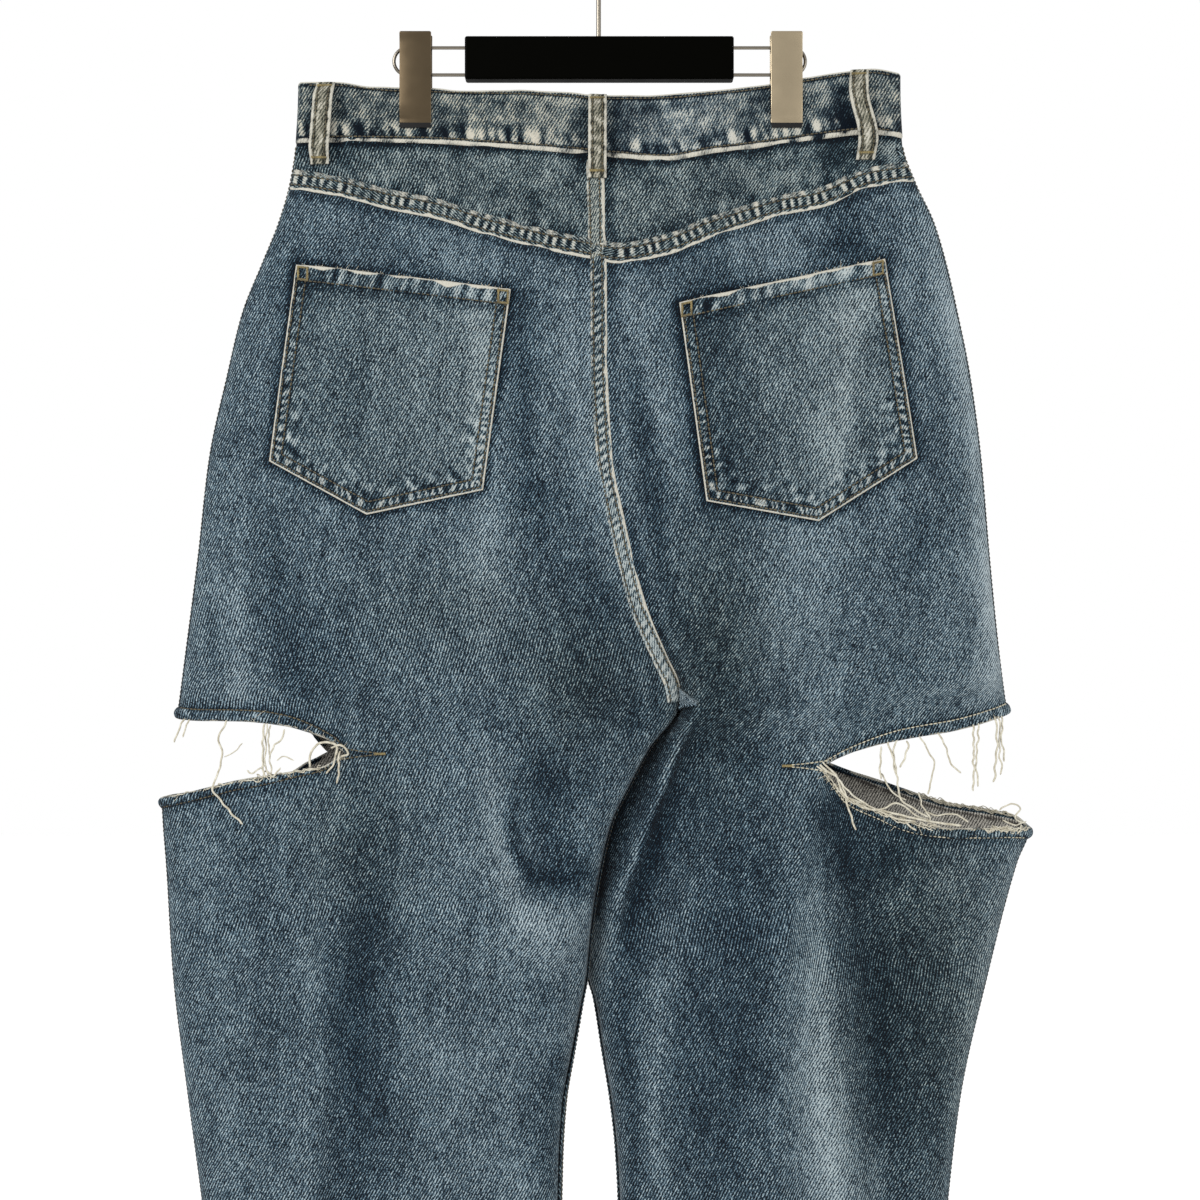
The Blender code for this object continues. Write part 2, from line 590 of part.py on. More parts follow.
def waistband(finish):
    """The two-layer band, once round from the overlap at the fly.  Its first end lies outside its last."""
    waist = OUTER[RIGHT](0) - OUTER[LEFT](0)
    past_middle = BAND_LAP / waist
    middle = -OUTER[LEFT](0) / waist
    left_front, right_front = band_stations(FRONT, LEFT)[:-1], band_stations(FRONT, RIGHT)[1:]
    stations = [(FRONT, middle + past_middle, 1), (FRONT, middle, 1)]
    stations += [(FRONT, share, 1) for share in reversed(left_front)]
    stations += [(BACK, share, 0) for share in band_stations(BACK, LEFT)[1:-1]]
    stations += [(BACK, share, 0) for share in band_stations(BACK, RIGHT)[:-1]]
    stations += [(FRONT, share, -1) for share in reversed(right_front)]
    stations += [(FRONT, middle, -1), (FRONT, middle - past_middle, -1)]
    columns, facing = [], {}
    for j, (face, share, layer) in enumerate(stations):
        x = OUTER[LEFT](0) + waist * share
        drop = np.array(between(WAIST_TOP[face](x), WAIST_SEAM[face](x) - SEAM_GAP, BAND_ROWS))
        left, right = OUTER[LEFT](drop), OUTER[RIGHT](drop)
        x = left + (right - left) * share
        y = form_y(face, RIGHT if share > middle else LEFT, x, drop)
        at_side = min(share, 1 - share) < STATION_ROOM
        if at_side:
            facing.update({(i, j): (share - middle, 0, 0) for i in range(BAND_ROWS + 1)})
        lap = layer * BAND_LAP_LIFT * (1 - ease(BAND_LAP, BAND_LAP + BAND_LAP_EASE, np.abs(x)))
        columns.append(place(x, np.where(at_side, 0, y) + lap, drop))
    facing = {spot: Vector(way).normalized() for spot, way in facing.items()}
    return cloth_wall("waistband", np.array(columns).transpose(1, 0, 2), BAND, finish, facing)


def back_pocket(side, finish):
    """The five-sided patch on one half of the seat, open along its top."""
    pocket = BACK_POCKETS[side]
    t_point = (pocket.point[0] - pocket.inner_bottom[0]) / (pocket.outer_bottom[0] - pocket.inner_bottom[0])
    t = np.linspace(0, t_point, POCKET_HALF_COLUMNS)
    t = np.concatenate([t, np.linspace(t_point, 1, POCKET_HALF_COLUMNS)[1:]])
    bottom = np.where(t <= t_point, t / t_point, (1 - t) / (1 - t_point))[:, None]
    corner = np.where((t <= t_point)[:, None], pocket.inner_bottom, pocket.outer_bottom)
    top_row = np.array(pocket.inner_top) + np.outer(t, np.subtract(pocket.outer_top, pocket.inner_top))
    bottom_row = corner + (np.array(pocket.point) - corner) * bottom
    depth = bottom_row[0, 1] - top_row[0, 1]
    down = np.array([0, POCKET_HEM / depth, (POCKET_HEM + HEM_STEP) / depth, *POCKET_ROWS])[:, None, None]
    grid = top_row + (bottom_row - top_row) * down
    thickness = np.full(grid.shape[:2], CLOTH)
    thickness[:2] = RIP_EDGE_CLOTH
    points = lifted(BACK, side, grid[..., 0], grid[..., 1], CLOTH / 2 + POCKET_GAP + RIP_EDGE_CLOTH / 2)
    return cloth_wall(f"pocket_back_{SIDE_NAME[side]}", points, thickness, finish)


def belt_loop(loop, finish):
    """A strip sewn down at both ends that arches off the waistband, so that a belt goes under it."""
    v = np.linspace(0, 1, LOOP_ROWS)[:, None]
    u = np.array([-0.5, 0, 0.5])[None, :] * LOOP_WIDTH
    middle_x = loop.top[0] + (loop.bottom[0] - loop.top[0]) * v
    x = middle_x + loop.sway * np.sin(2 * math.pi * v) + u
    drop = loop.top[1] + (loop.bottom[1] - loop.top[1]) * v + 0 * u
    arch = ease(0, LOOP_END, v) * ease(0, LOOP_END, 1 - v)
    lift = BAND / 2 + LOOP_GAP + LOOP_CLOTH / 2 + LOOP_ARCH * arch
    side = RIGHT if loop.top[0] > 0 else LEFT
    points = lifted(loop.face, side, x, drop, lift + 0 * u)
    return cloth_wall(loop.name, points, LOOP_CLOTH, finish)


def front_facing(side, finish):
    """The cloth seen inside one front pocket's mouth: sewn into the side seam, and in behind the panel."""
    across = np.concatenate([np.linspace(0.47, 0.86, 7), [0.92, 0.965, 0.99, 1.0]])
    mouth = cross_row(FRONT, side, across, lambda x: WAIST_SEAM[FRONT](x) + scoop(side, x), 0)
    top = cross_row(FRONT, side, across, WAIST_SEAM[FRONT], SEAM_GAP)
    drops = np.array(between(top, mouth + FACING_PAST_MOUTH, FACING_ROWS))
    to_seam = ease(0.9, 1.0, across)
    starts, ends = (FACING_DIP[i] + (FACING_SEAM_DIP[i] - FACING_DIP[i]) * to_seam for i in (0, 1))
    behind = ease(starts, ends, drops - mouth)
    outer = OUTER[side](drops) - side * FACING_SIDE_INSET * behind
    inner = inner_edge(FRONT, side, drops)
    x = inner + (outer - inner) * across
    inset = np.minimum(FACING_INSET, form_y(FRONT, side, x, drops)) * behind
    points = lifted(FRONT, side, x, drops, -inset)
    facing = {(i, len(across) - 1): (side, 0, 0) for i in range(len(drops))}
    return cloth_wall(f"pocket_facing_{SIDE_NAME[side]}", points, CLOTH, finish, facing)


def fly(finish):
    """The lapped edge of the fly, a strip with a rounded foot on the left front panel."""
    v = np.concatenate([np.linspace(0, FLY_STRAIGHT, 5), [0.82, 0.9, 0.96, 1.0]])[:, None]
    u = np.linspace(0, 1, 5)[None, :]
    round_foot = np.clip((v - FLY_STRAIGHT) / (1 - FLY_STRAIGHT), 0, 1)
    width = FLY_WIDTH * np.maximum(np.sqrt(1 - round_foot**2), FLY_FOOT)
    x = FLY_LAP - width * u
    drop = WAIST_SEAM[FRONT](x) + SEAM_GAP + FLY_LENGTH * v
    points = lifted(FRONT, LEFT, x, drop, CLOTH + LOOP_GAP)
    return cloth_wall("fly", points, CLOTH, finish)


def fringe(side, finish):
    """Loose threads along the top of one rip, as a comb: a header at the edge and a tooth for each bunch."""
    upper = table_curve(RIPS[BACK, side], "across", "upper")
    tip_drop = RIPS[BACK, side][0].upper
    width = abs(float(OUTER[side](tip_drop) - INSEAM[side](tip_drop)))
    teeth = []
    for bunch in FRINGES[side]:
        half = bunch.width / width / 2
        teeth += [(bunch.across - half, bunch.reach), (bunch.across + half, bunch.reach)]
    starts = [tooth[0] for tooth in teeth[::2]]
    for share in panel_columns(BACK, side):
        clear = min(abs(share - tooth[0]) for tooth in teeth) > STATION_ROOM
        if teeth[0][0] < share < teeth[-1][0] and clear:
            teeth.append((share, max(t for t in teeth if t[0] < share)[1]))
    teeth.sort()
    across, reach = np.array(teeth).T
    below = [np.full(len(across), FRINGE_GAP), np.full(len(across), FRINGE_GAP + FRINGE_HEADER)]
    below += between(below[1], reach, 3, start=1)
    drops = np.interp(across, panel_columns(BACK, side), upper(panel_columns(BACK, side))) + np.array(below)
    inner, outer = INSEAM[side](drops), OUTER[side](drops)
    away = FRINGE_STAND * ease(0, FRINGE_EASE, np.array(below))
    points = lifted(BACK, side, inner + (outer - inner) * across, drops, away)
    kept = np.zeros((len(below) - 1, len(across) - 1), bool)
    kept[0] = True
    for start, bunch in zip(starts, FRINGES[side]):
        kept[:, (across[:-1] >= start - 1e-9) & (across[1:] <= start + bunch.width / width + 1e-9)] = True
    return cloth_wall(f"fringe_{SIDE_NAME[side]}", points, FRINGE_CLOTH, finish, kept=kept)


def box_mesh(size, centre, bevel, segments=3):
    """A bmesh box with rounded edges."""
    bm = bmesh.new()
    bmesh.ops.create_cube(bm, size=1)
    bmesh.ops.scale(bm, vec=size, verts=bm.verts[:])
    bmesh.ops.translate(bm, vec=centre, verts=bm.verts[:])
    bmesh.ops.bevel(bm, geom=bm.edges[:], offset=bevel, segments=segments, profile=0.5, affect="EDGES")
    return bm


def cutter(name, radius, depth, centre, axis):
    """A hidden cylinder that a Boolean takes away."""
    bm = bmesh.new()
    bmesh.ops.create_cone(bm, cap_ends=True, segments=16, radius1=radius, radius2=radius, depth=depth)
    turn = Vector((0, 0, 1)).rotation_difference(Vector(axis)).to_matrix()
    bmesh.ops.rotate(bm, matrix=turn, verts=bm.verts[:])
    bmesh.ops.translate(bm, vec=centre, verts=bm.verts[:])
    obj = add_mesh(name, bm, material(name, (1, 0, 0), 0.5))
    obj.hide_render = True
    obj.display_type = "WIRE"
    return obj


def cut(obj, tool):
    """Takes the tool's shape away from obj."""
    modifier = obj.modifiers.new(tool.name, "BOOLEAN")
    modifier.operation = "DIFFERENCE"
    modifier.solver = "EXACT"
    modifier.object = tool


def hanger_bar(finish):
    """The hanger's bar, drilled for the hook and for the four ends of the wires."""
    size = (BAR_LENGTH, BAR_DEPTH, BAR_HEIGHT)
    bar = add_mesh("hanger_bar", box_mesh(size, (BAR_X, 0, BAR_TOP - BAR_HEIGHT / 2), BAR_ROUNDING), finish)
    end = BAR_LENGTH / 2
    for side in (LEFT, RIGHT):
        for level, z in (("upper", WIRE_TOP), ("lower", WIRE_BOTTOM)):
            centre = (BAR_X + side * end, 0, z)
            name = f"socket_{SIDE_NAME[side]}_{level}"
            cut(bar, cutter(name, WIRE_RADIUS + SOCKET_GAP, 2 * SOCKET_DEPTH, centre, (1, 0, 0)))
    cut(bar, cutter("socket_hook", HOOK_RADIUS + SOCKET_GAP, 2 * HOOK_SOCKET, (0, 0, BAR_TOP), (0, 0, 1)))
    return bar


def wire(name, points, radius, finish):
    """A round wire through points in millimetres."""
    curve = bpy.data.curves.new(name, "CURVE")
    curve.dimensions = "3D"
    curve.bevel_depth = radius * MM
    curve.bevel_resolution = 2
    curve.use_fill_caps = True
    spline = curve.splines.new("POLY")
    spline.points.add(len(points) - 1)
    for knot, point in zip(spline.points, points):
        knot.co = (*(Vector(point) * MM), 1)
    spline.use_smooth = True
    return add_object(name, curve, finish)


def hook(finish):
    """The hanging hook: an arc that ends in a tip, a return bend, and a shank down into the bar."""
    radius = HOOK_INNER + HOOK_RADIUS
    reverse = math.acos(HOOK_BEND / (radius + HOOK_BEND))
    centre = Vector((0, 0, -HOOK_INNER))
    points = []
    for i in range(HOOK_STEPS + 1):
        angle = HOOK_TIP + (-reverse - HOOK_TIP) * i / HOOK_STEPS
        points.append(centre + Vector((math.cos(angle), 0, math.sin(angle))) * radius)
    bend = centre + Vector((math.cos(reverse), 0, -math.sin(reverse))) * (radius + HOOK_BEND)
    for i in range(1, BEND_STEPS + 1):
        angle = math.pi - reverse + reverse * i / BEND_STEPS
        points.append(bend + Vector((math.cos(angle), 0, math.sin(angle))) * HOOK_BEND)
    points.append((0, 0, BAR_TOP - HOOK_SOCKET + SOCKET_GAP))
    return wire("hanger_hook", points, HOOK_RADIUS, finish)


def side_wire(side, finish):
    """One end of the hanger: out of the bar, round a bend and back in below."""
    bend = (WIRE_TOP - WIRE_BOTTOM) / 2
    start = BAR_X + side * (BAR_LENGTH / 2 - SOCKET_DEPTH + SOCKET_GAP)
    turn = WIRE_TURN[side] - side * (bend + WIRE_RADIUS)
    points = [(start, 0, WIRE_TOP)]
    for i in range(WIRE_STEPS + 1):
        angle = math.pi / 2 - math.pi * i / WIRE_STEPS
        points.append((turn + side * bend * math.cos(angle), 0, WIRE_BOTTOM + bend + bend * math.sin(angle)))
    points.append((start, 0, WIRE_BOTTOM))
    return wire(f"hanger_wire_{SIDE_NAME[side]}", points, WIRE_RADIUS, finish)


def round_ring(bm, at):
    """A ring of vertices; at turns a point of the unit circle into its place."""
    angles = [2 * math.pi * i / RING_STEPS for i in range(RING_STEPS)]
    return [bm.verts.new(at(math.cos(angle), math.sin(angle))) for angle in angles]


def join_rings(bm, rings):
    """Faces from each ring of vertices to the next."""
    for first, second in zip(rings, rings[1:]):
        for i in range(len(first)):
            j = (i + 1) % len(first)
            bm.faces.new([first[i], first[j], second[j], second[i]])


def clip_plate(side, face, finish):
    """One plate of a clip: a jaw on the band, a belly over the wires, and a flared top to press."""
    profile = [Vector((0, face * offset, CLIP_TOP - below)) for below, offset in CLIP_PROFILE]
    bm = bmesh.new()
    rings = []
    for i, point in enumerate(profile):
        before, after = profile[max(i - 1, 0)], profile[min(i + 1, len(profile) - 1)]
        along = (after - before).normalized()
        out = Vector((0, -along.z, along.y)) * CLIP_SHEET
        if out.y * face < 0:
            out.negate()
        ring = []
        for end in (-CLIP_WIDTH / 2, CLIP_WIDTH / 2):
            corner = point + Vector((CLIP_CENTRES[side] + end, 0, 0))
            pair = [bm.verts.new(corner), bm.verts.new(corner + out)]
            ring += pair if end < 0 else reversed(pair)
        rings.append(ring)
    join_rings(bm, rings)
    bm.faces.new(rings[0])
    bm.faces.new(rings[-1])
    return add_mesh(f"clip_{SIDE_NAME[side]}_{FACE_NAME[face]}", bm, finish, crease=30)


def clip_spring(side, finish):
    """The coiled spring between a clip's plates, as the barrel that it fills, on the upper wire."""
    bm = bmesh.new()
    rings = []
    for radius, end in ((SPRING_OUTER, -1), (SPRING_OUTER, 1), (SPRING_INNER, 1), (SPRING_INNER, -1)):
        x = CLIP_CENTRES[side] + end * SPRING_LENGTH / 2
        rings.append(round_ring(bm, lambda across, up, x=x, r=radius: (x, r * across, WIRE_TOP + r * up)))
    join_rings(bm, rings + rings[:1])
    return add_mesh(f"clip_{SIDE_NAME[side]}_spring", bm, finish)


def waist_button(finish):
    """The shank button on the lapped end of the waistband."""
    drop = WAIST_TOP[FRONT](0) + BUTTON_BELOW_TOP
    y = float(form_y(FRONT, LEFT, np.array(0.0), np.array(drop))) + BAND_LAP_LIFT + BAND / 2 + LOOP_GAP
    z = -WAIST_BELOW_HOOK - drop
    bm = bmesh.new()
    rings = []
    for depth, share in BUTTON_PROFILE:
        r = BUTTON_RADIUS * share
        rings.append(round_ring(bm, lambda across, up, d=depth, r=r: (r * across, y + d, z + r * up)))
    join_rings(bm, rings)
    bm.faces.new(rings[0])
    bm.faces.new(rings[-1])
    return add_mesh("waist_button", bm, finish)


def main():
    """Builds every piece."""
    for obj in list(bpy.data.objects):
        bpy.data.objects.remove(obj, do_unlink=True)
    denim = material("denim", (0.10, 0.145, 0.19), 0.9)
    band_denim = material("band_denim", (0.15, 0.175, 0.18), 0.9)
    threads = material("threads", (0.75, 0.75, 0.70), 0.95)
    black = material("black_bar", (0.004, 0.004, 0.003), 0.4)
    bright = material("bright_steel", (0.55, 0.55, 0.53), 0.25, 1.0)
    nickel = material("clip_steel", (0.35, 0.31, 0.26), 0.35, 1.0)
    aged_nickel = material("button", (0.30, 0.26, 0.20), 0.45, 1.0)
    for side in (LEFT, RIGHT):
        for face in (BACK, FRONT):
            leg_panel(face, side, denim)
            clip_plate(side, face, nickel)
        yoke(side, denim)
        back_pocket(side, denim)
        front_facing(side, denim)
        fringe(side, threads)
        side_wire(side, bright)
        clip_spring(side, nickel)
    waistband(band_denim)
    for loop in LOOPS:
        belt_loop(loop, band_denim)
    fly(denim)
    waist_button(aged_nickel)
    hanger_bar(black)
    hook(bright)


main()
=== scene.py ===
"""Ripped jeans hung by the waistband from a clip hanger, dressed for the eye.

Each cloth piece is cut again on the hanging form that the model's solids follow, in a finer mesh, with its
seams, stitches, turned edges, wear and loose threads.  Places on it are in millimetres: x across, and the
drop below the waist.  The hanger's bar is the loaded solid with a new finish, and its hook, wires and clips
are bent again.

Three numbers at each place of a cloth drive its finish: wear bares the pale yarn, wash lightens or
darkens the blue, partly as the wash left it and partly as painted light and shade of folds, seams, pockets,
belt loops and edges, and tint turns it towards olive.  The amounts of them in the code are shares of that
finish's range.
"""

import logging
import math
from dataclasses import dataclass, field
from enum import Enum
from functools import partial
from typing import Callable, Iterable, NamedTuple

import bmesh
import bpy
import numpy as np
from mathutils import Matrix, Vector


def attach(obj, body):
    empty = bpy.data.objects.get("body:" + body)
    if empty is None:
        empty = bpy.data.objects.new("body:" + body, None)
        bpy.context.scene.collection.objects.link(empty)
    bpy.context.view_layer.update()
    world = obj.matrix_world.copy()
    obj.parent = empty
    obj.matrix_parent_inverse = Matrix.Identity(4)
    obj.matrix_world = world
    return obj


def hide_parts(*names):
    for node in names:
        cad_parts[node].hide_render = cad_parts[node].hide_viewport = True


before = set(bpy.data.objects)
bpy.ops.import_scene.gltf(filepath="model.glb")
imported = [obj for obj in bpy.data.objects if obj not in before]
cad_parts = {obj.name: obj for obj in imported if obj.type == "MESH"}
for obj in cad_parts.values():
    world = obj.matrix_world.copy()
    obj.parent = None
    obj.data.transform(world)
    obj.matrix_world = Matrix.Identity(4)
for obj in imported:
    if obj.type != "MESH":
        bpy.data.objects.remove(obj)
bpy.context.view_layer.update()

Array = np.ndarray
Point = tuple[float, float]
Spots = tuple[np.ndarray, np.ndarray]
Socket = bpy.types.NodeSocket
Object = bpy.types.Object
Material = bpy.types.Material
MM = 0.001
LOG = logging.getLogger("jeans")


class Named(Enum):
    """An option whose name is also part of the pieces' and nodes' names."""

    @property
    def label(self) -> str:
        """The name in small letters."""
        return self.name.lower()


class Face(Named):
    """Which way a panel faces, by the sign of Y."""

    BACK = -1
    FRONT = 1


class Side(Named):
    """The wearer's side, by the sign of X."""

    LEFT = -1
    RIGHT = 1


class Hold(Enum):
    """How a piece of cloth is held up."""

    HUNG = "hung"
    FOLDED = "folded"


class Section(NamedTuple):
    """The hanging tube's side edges and half depth at one drop."""

    drop: float
    left: float
    right: float
    depth: float


class Seam(NamedTuple):
    """The rise seam, back and front, and the two inseams at one drop."""

    drop: float
    back: float
    front: float
    left: float
    right: float


class Swing(NamedTuple):
    """How far each leg's inner edge swings to the back (-) or the front (+)."""

    drop: float
    left: float
    right: float


class CrossSeam(NamedTuple):
    """Drops of the waist's edges and of the yoke seam at one place across."""

    x: float
    back_top: float
    back_waist: float
    yoke: float
    front_top: float
    front_waist: float


class RipEdge(NamedTuple):
    """Drops of a rip's two edges at a share of the way across the leg."""

    across: float
    upper: float
    lower: float


class Crease(NamedTuple):
    """A soft ridge, or with a negative height a trough, along its points (x, drop).

    Where steep isn't 0, it is the reach on the side of larger x.
    """

    height: float
    reach: float
    path: tuple[Point, ...]
    steep: float = 0.0


class SoftPatch(NamedTuple):
    """A soft round patch, lighter, or with a negative amount darker; in the wash table, partly the wash's
    unevenness and partly painted shade.
    """

    x: float
    drop: float
    width: float
    height: float
    amount: float


class Streak(NamedTuple):
    """A soft streak, lighter (+) or darker (-), along points (x, drop): some the wash left, others are
    painted light and shade.
    """

    amount: float
    reach: float
    path: tuple[Point, ...]


class PocketCut(NamedTuple):
    """The five corners of a patch pocket, as (x, drop)."""

    inner_top: tuple[float, float]
    outer_top: tuple[float, float]
    inner_bottom: tuple[float, float]
    point: tuple[float, float]
    outer_bottom: tuple[float, float]

    def edge(self) -> tuple[tuple[float, float], ...]:
        """The corners in order, from the inner end of the mouth round to its outer end."""
        return self.inner_top, self.inner_bottom, self.point, self.outer_bottom, self.outer_top

    def turn(self) -> float:
        """The share across the patch at which its lower edge has the point."""
        return (self.point[0] - self.inner_bottom[0]) / (self.outer_bottom[0] - self.inner_bottom[0])


class LoopPlace(NamedTuple):
    """A belt loop: its node, the middle of its two ends, and how far its middle sways."""

    node: str
    face: Face
    top: tuple[float, float]
    bottom: tuple[float, float]
    sway: float


class LooseThread(NamedTuple):
    """A loose thread at a rip: its thickness, how far it stands off the leg, and its points (x, drop)."""

    radius: float
    stand: float
    path: tuple[Point, ...]


def table(kind: type, *rows: tuple) -> tuple:
    """Rows of plain values as named ones of one kind."""
    return tuple(kind(*row) for row in rows)


SECTIONS = table(
    Section,
    (-10, -215, 216, 8.0), (0, -215, 216, 8.0), (45, -217, 218, 10.0), (72, -221, 227, 14.0),
    (100, -229, 240, 19.0), (130, -241, 249, 23.0), (165, -255, 257, 27.0), (210, -266, 266, 31.0),
    (270, -279, 274, 34.0), (340, -287, 280, 36.0), (410, -296, 287, 35.0), (455, -302, 293, 34.0),
    (514, -313, 303, 33.0), (535, -312, 309, 33.0), (560, -310, 300, 33.0), (640, -305, 279, 33.0),
    (730, -294, 259, 33.0), (805, -284, 250, 32.0), (930, -270, 239, 30.0), (1050, -262, 231, 28.0),
)
SEAMS = table(
    Seam,
    (-10, 1, 0, 1, 1), (126, 4.5, 0, 4.5, 4.5), (200, 5, 1, 5, 5), (271, 9, 6, 9, 9), (320, 18, 15, 18, 18),
    (375, 32, 30, 32, 32), (415, 49, 48, 49, 49), (433, 57, 57, 57, 57), (447, 59, 59, 59, 59),
    (477, 59, 59, 37, 33), (505, 59, 59, 22, 17), (531, 59, 59, 9.5, 4.5), (564, 59, 59, 1.5, -3.5),
    (610, 59, 59, -5.5, -9), (642, 59, 59, -8.5, -8), (660, 59, 59, -12, -3), (696, 59, 59, -18.5, 3),
    (732, 59, 59, -24.5, 9), (768, 59, 59, -27, 13), (805, 59, 59, -28, 15), (930, 59, 59, -33, 17),
    (1050, 59, 59, -38, 19),
)
SWINGS = table(
    Swing,
    (380, -4, -4), (447, -4, -4), (478, -17, 9), (560, -17, 11), (630, -13, 10), (690, -3, 2), (740, 0, 0),
    (1050, 0, 0),
)
CROSS_SEAMS = table(
    CrossSeam,
    (-225, 0.0, 43.3, 75.8, 0.0, 43.3), (-190, 0.5, 43.8, 82.0, 1.5, 45.0),
    (-150, 3.6, 43.3, 91.3, 5.0, 49.0), (-113, 4.7, 44.2, 99.0, 8.0, 52.0),
    (-75, 6.8, 48.0, 113.0, 12.0, 56.0), (-37, 7.9, 51.0, 122.8, 15.0, 59.0),
    (0, 10.7, 54.8, 130.4, 16.0, 60.0), (13, 10.9, 56.0, 132.7, 16.0, 60.0),
    (46, 10.4, 58.4, 127.1, 14.0, 58.0), (83, 6.9, 51.8, 112.0, 10.0, 54.0),
    (131, -0.2, 44.5, 95.5, 3.0, 47.0), (160, -5.0, 40.6, 89.8, -1.0, 43.0),
    (193, -8.6, 38.0, 76.7, -5.0, 40.0), (225, -5.5, 41.0, 71.0, -5.5, 41.0),
)
RIPS = {
    (Face.BACK, Side.LEFT): table(
        RipEdge,
        (0.62, 480.0, 480.0), (0.66, 471.5, 489.5), (0.71, 465.5, 492.5), (0.77, 460.5, 496.0),
        (0.83, 458.0, 499.5), (0.88, 457.3, 504.0), (0.95, 457.4, 510.0), (1.0, 456.5, 514.0),
    ),
    (Face.BACK, Side.RIGHT): table(
        RipEdge,
        (0.485, 489.0, 489.0), (0.525, 482.5, 502.0), (0.56, 478.5, 512.0), (0.63, 473.0, 520.0),
        (0.72, 468.3, 530.0), (0.82, 464.3, 533.5), (0.93, 457.8, 533.7), (1.0, 453.2, 535.2),
    ),
    (Face.FRONT, Side.LEFT): table(
        RipEdge,
        (0.68, 483.5, 483.5), (0.70, 478.0, 488.5), (0.72, 472.5, 492.0), (0.745, 464.0, 499.0),
        (0.80, 456.0, 504.0), (0.88, 454.0, 508.0), (0.95, 454.5, 512.0), (1.0, 456.5, 514.0),
    ),
    (Face.FRONT, Side.RIGHT): table(
        RipEdge,
        (0.50, 489.0, 489.0), (0.60, 472.0, 499.0), (0.66, 468.0, 504.0), (0.73, 465.0, 511.0),
        (0.83, 460.5, 520.5), (0.93, 455.5, 525.3), (0.98, 453.5, 528.5), (1.0, 453.2, 535.2),
    ),
}
# Ridges and troughs of 4 mm and more are in the solids too.
CREASES = {
    (Face.BACK, Side.RIGHT): table(
        Crease,
        (10.0, 12.0, ((70, 430), (71, 443), (55, 478), (40, 517), (24, 560), (14, 584), (8, 640)), 4.0),
        (-7.0, 15.0, ((94, 450), (76, 490), (63, 530), (52, 560), (40, 592), (28, 650))),
        (6.0, 15.0, ((158, 500), (160, 560), (160, 640), (164, 720), (176, 830), (184, 960))),
        (-7.0, 18.0, ((184, 530), (192, 600), (198, 680), (202, 770), (212, 900))),
        (-5.0, 22.0, ((90, 600), (92, 700), (84, 800), (80, 960))),
        (-1.6, 9.0, ((22, 150), (26, 230), (34, 300), (50, 360))),
        (1.5, 10.0, ((38, 170), (44, 250), (56, 330), (66, 380))),
        (2.4, 15.0, ((122, 560), (126, 660), (120, 760), (118, 900))),
    ),
    (Face.BACK, Side.LEFT): table(
        Crease,
        (-8.0, 14.0, ((-75, 480), (-66, 520), (-58, 556), (-46, 574), (-20, 572))),
        (5.0, 17.0, ((-60, 585), (-34, 603), (-14, 622))),
        (-7.0, 17.0, ((-144, 490), (-157, 588), (-170, 660), (-177, 732), (-190, 1000))),
        (4.0, 14.0, ((-176, 520), (-190, 620), (-200, 732), (-208, 900))),
        (-1.6, 11.0, ((-16, 150), (-20, 230), (-14, 300), (2, 370))),
        (1.4, 10.0, ((-34, 160), (-40, 250), (-30, 330))), (2.0, 16.0, ((-28, 700), (-36, 780), (-44, 900))),
        (-2.2, 14.0, ((-66, 620), (-62, 700), (-70, 800), (-78, 930))),
        (2.0, 14.0, ((-100, 560), (-108, 660), (-112, 780), (-120, 900))),
        (1.6, 12.0, ((-232, 540), (-240, 640), (-246, 760))),
    ),
    (Face.FRONT, Side.LEFT): table(
        Crease,
        (-7.0, 20.0, ((-150, 500), (-162, 600), (-172, 720), (-170, 900))),
        (2.2, 14.0, ((-70, 90), (-76, 180), (-60, 300), (-20, 400))),
        (-2.0, 16.0, ((-120, 160), (-140, 260), (-150, 380))),
        (3.0, 16.0, ((-96, 520), (-104, 640), (-112, 780), (-118, 920))),
    ),
    (Face.FRONT, Side.RIGHT): table(
        Crease,
        (-7.0, 20.0, ((150, 500), (156, 610), (150, 730), (140, 900))),
        (6.0, 14.0, ((96, 470), (82, 540), (66, 620), (60, 700))),
        (2.2, 14.0, ((72, 90), (78, 180), (80, 300), (84, 400))),
        (-2.0, 16.0, ((124, 160), (146, 260), (158, 380))),
        (3.0, 16.0, ((118, 560), (120, 680), (112, 820), (106, 940))),
    ),
}
